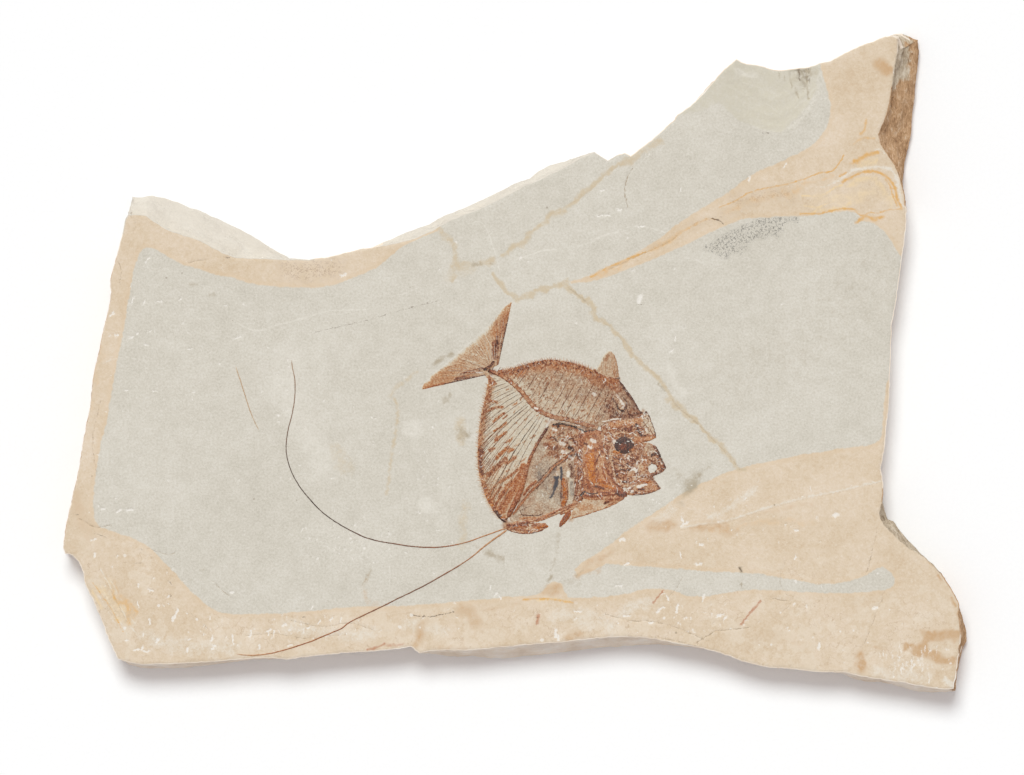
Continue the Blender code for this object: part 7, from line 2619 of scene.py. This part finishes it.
def fish_pieces() -> list[FishPiece]:
    """Lists every piece of the fish, from the tail to the head.

    Returns:
        The pieces, in the order in which they are built.
    """
    film, bone, amber, ray = Finish.BODY_FILM, Finish.BONE, Finish.AMBER, Finish.RAY
    return [
        Sheet("tail_rays", "tail_fin", Finish.FIN_FILM, root=TAIL_ROOT, margin=TAIL_EDGE, shade=tail_shade,
              marks=(TAIL_MARKS,), step=0.46, thickness=0.1, ragged=0.07, rays=TAIL_RAYS),
        Sheet("flank_film", "upper_flank", Finish.FLANK_FILM, root=FLANK_ROOT, margin=FLANK_MARGIN,
              powers=(1.1, 0.9), shade=flank_shade, marks=(FLANK_MARKS,), mess=FLANK_MESS, step=0.42,
              fringe=Fringe(1.9, 0.54, 0.02, 0.72), rays=FLANK_RAYS),
        Sheet("dorsal_rays", "dorsal_fin", Finish.FIN_FILM, root=DORSAL_ROOT, margin=DORSAL_MARGIN,
              shade=dorsal_shade, marks=(DORSAL_MARKS,), step=0.38, ragged=0.2, rays=DORSAL_RAYS),
        Sheet("fan_rays", "fin_support_fan", film, root=FAN_ROOT, margin=FAN_MARGIN, powers=(0.75, 1.3),
              bow=2.2, shade=fan_shade, marks=(FAN_MARKS,), mess=FAN_MESS, step=0.44,
              fringe=Fringe(2.2, 0.40, 0.04, 0.97), rays=FAN_RAYS),
        Plate("belly_bones", "abdomen", film, tone=0.32, warm=0.2, marks=(TRUNK_MARKS,), mess=TRUNK_MESS,
              thickness=0.12, step=0.42),
        Plate("shoulder_bones", "shoulder_bone", bone, tone=0.42, warm=0.55, marks=(TRUNK_MARKS,),
              mess=BREAST_MESS, thickness=0.2, step=0.4),
        Plate("gill_plates", "gill_cover", amber, tone=0.42, warm=0.78, marks=(TRUNK_MARKS, GILL_MARKS),
              mess=GILL_MESS, step=0.38),
        Plate("throat_film", "throat", Finish.PALE, tone=0.24, marks=(TRUNK_MARKS, GILL_MARKS),
              thickness=0.1),
        Plate("keel_bones", "belly_keel", bone, tone=0.37, warm=0.7, marks=(KEEL_MARKS,), mess=KEEL_MESS,
              thickness=0.2, step=0.4),
        Plate("hip_spine", "pelvic_spine", amber, 0.8, tone=0.52, warm=0.85, marks=(KEEL_MARKS,), step=0.38),
        Backbone("vertebrae", "backbone", bone, line=((-18.4, -5.2), *BACKBONE)),
        Rod("strut_bone", "belly_strut", bone, line=BELLY_STRUT,
            colours=((0.74, 0.45), (0.58, 0.7), (0.50, 0.8), (0.52, 0.85), (0.58, 0.8))),
        Plate("skull_bones", "skull", bone, 1.1, tone=0.36, warm=0.55, marks=(SKULL_MARKS,),
              mess=SKULL_MESS, holes=(MOUTH_GAP,), thickness=0.35, step=0.36),
        Plate("jaw_bones", "lower_jaw", bone, 1.1, tone=0.38, warm=0.6, marks=(SKULL_MARKS,), mess=JAW_MESS,
              step=0.36),
        Eye("eye_lens", "eye", Finish.DARK),
        Rod("upper_trailing_ray", "pelvic_ray_upper", ray, line=((-6, -110.4, 0.7), *PELVIC_RAY_UPPER),
            slim=0.74, step=1.2,
            colours=((0.40, 0.85), (0.50, 0.8), (0.66, 0.55), (0.70, 0.4), (0.76, 0.15), (0.84, 0.05),
                     (0.86, 0.0), (0.80, 0.0), (0.66, 0.05), (0.56, 0.15), (0.42, 0.3))),
        Rod("lower_trailing_ray", "pelvic_ray_lower", ray, line=((-6, -111.4, 0.9), *PELVIC_RAY_LOWER),
            slim=0.8, step=1.2,
            colours=((0.40, 0.85), (0.42, 0.85), (0.62, 0.5), (0.70, 0.3), (0.66, 0.4), (0.60, 0.6),
                     (0.60, 0.75), (0.58, 0.85), (0.52, 0.9), (0.40, 0.8))),
        Rod("ray_piece", "ray_fragment", ray, line=RAY_FRAGMENT, slim=0.8, step=1.2,
            colours=((0.22, 0.5), (0.30, 0.5), (0.30, 0.45), (0.20, 0.4))),
    ]


# ------------------------------------------------------------------ the studio


@dataclass(frozen=True)
class TableFinish:
    """The white table's finish.

    Attributes:
        name: The material's name.
        colours: Its faint mottle.
        roughness: How dull it is.
        specular: Strength of the reflection.
    """

    name: str = "white_table"
    colours: Stops = ((0.3, (251, 251, 251)), (0.7, (253, 253, 253)))
    roughness: float = 0.9
    specular: float = 0.1

    def make(self) -> bpy.types.Material:
        """Builds the material.

        Returns:
            The finished material.
        """
        kit = NodeKit(self.name)
        grain = kit.noise(2.0)
        colour, relief = kit.ramp(grain, self.colours), kit.bump(grain, 0.02, 0.2)
        return kit.finish(colour, self.roughness, relief, self.specular)


@dataclass(frozen=True)
class Studio:
    """A white table, soft light from the upper left and a camera looking straight down.

    Attributes:
        camera_height: Height of the camera over the stone's face, in metres.
        frame_width: Width of what it sees at the face, in metres.
        centre: Where it points, in metres.
        sensor: Width of its sensor, in mm.
        key_power: Power of the lamp.
        key_place: Where the lamp shines from.
        key_colour: Its colour.
        key_spread: How wide it looks from the stone, in degrees.
        sky: Strength of the even light from all round.
        sky_colour: Its colour.
        table_reach: Half the table's width, in metres.
    """

    camera_height: float = 6.0
    frame_width: float = 0.68267
    centre: Range = (-0.00267, -0.01667)
    sensor: float = 36.0
    key_power: float = 2.12
    key_place: tuple[float, float, float] = (-0.16, 0.66, 1.0)
    key_colour: tuple[float, float, float] = (0.947, 1.0, 1.0)
    key_spread: float = 27.0
    sky: float = 0.50
    sky_colour: tuple[float, float, float, float] = (1.0, 0.94, 0.94, 1.0)
    table_reach: float = 4.0

    def build(self) -> None:
        """Makes the table, the lamp, the sky and the camera."""
        self.add_table()
        self.add_lamp()
        self.add_sky()
        self.add_camera()
        view = bpy.context.scene.view_settings
        view.view_transform, view.look = "Standard", "None"
        log.info("studio: table, lamp, sky and camera")

    def add_table(self) -> None:
        """The table top, far wider than the stone."""
        mesh = bpy.data.meshes.new("table_top")
        reach = self.table_reach
        places = [(-reach, -reach, 0.0), (reach, -reach, 0.0), (reach, reach, 0.0), (-reach, reach, 0.0)]
        mesh.from_pydata(places, [], [(0, 1, 2, 3)])
        mesh.materials.append(TableFinish().make())
        table = linked("table_top", mesh)

    def add_lamp(self) -> None:
        """A large soft lamp, far enough away to light the whole stone evenly."""
        data = bpy.data.lights.new("key", "SUN")
        data.angle = math.radians(self.key_spread)
        data.energy = self.key_power
        data.color = self.key_colour
        lamp = linked("key", data)
        lamp.location = self.key_place
        lamp.rotation_euler = Vector(self.key_place).to_track_quat("Z", "Y").to_euler()

    def add_sky(self) -> None:
        """Even light from all round."""
        world = bpy.data.worlds.new("sky")
        world.use_nodes = True
        back = world.node_tree.nodes["Background"]
        back.inputs["Color"].default_value = self.sky_colour
        back.inputs["Strength"].default_value = self.sky
        bpy.context.scene.world = world

    def add_camera(self) -> None:
        """The camera, with a long lens."""
        data = bpy.data.cameras.new("camera")
        data.sensor_width = self.sensor
        data.lens = self.sensor * self.camera_height / self.frame_width
        data.clip_end = 50.0
        camera = linked("camera", data)
        camera.location = (*self.centre, SLAB_TOP * MM + self.camera_height)
        bpy.context.scene.camera = camera


def main() -> None:
    """Builds the stone, the fish and the studio in order."""
    Slab().build()
    rng = np.random.default_rng(SEED)
    for piece in fish_pieces():
        piece.build(rng)
    Studio().build()


if __name__ == "__main__":
    main()
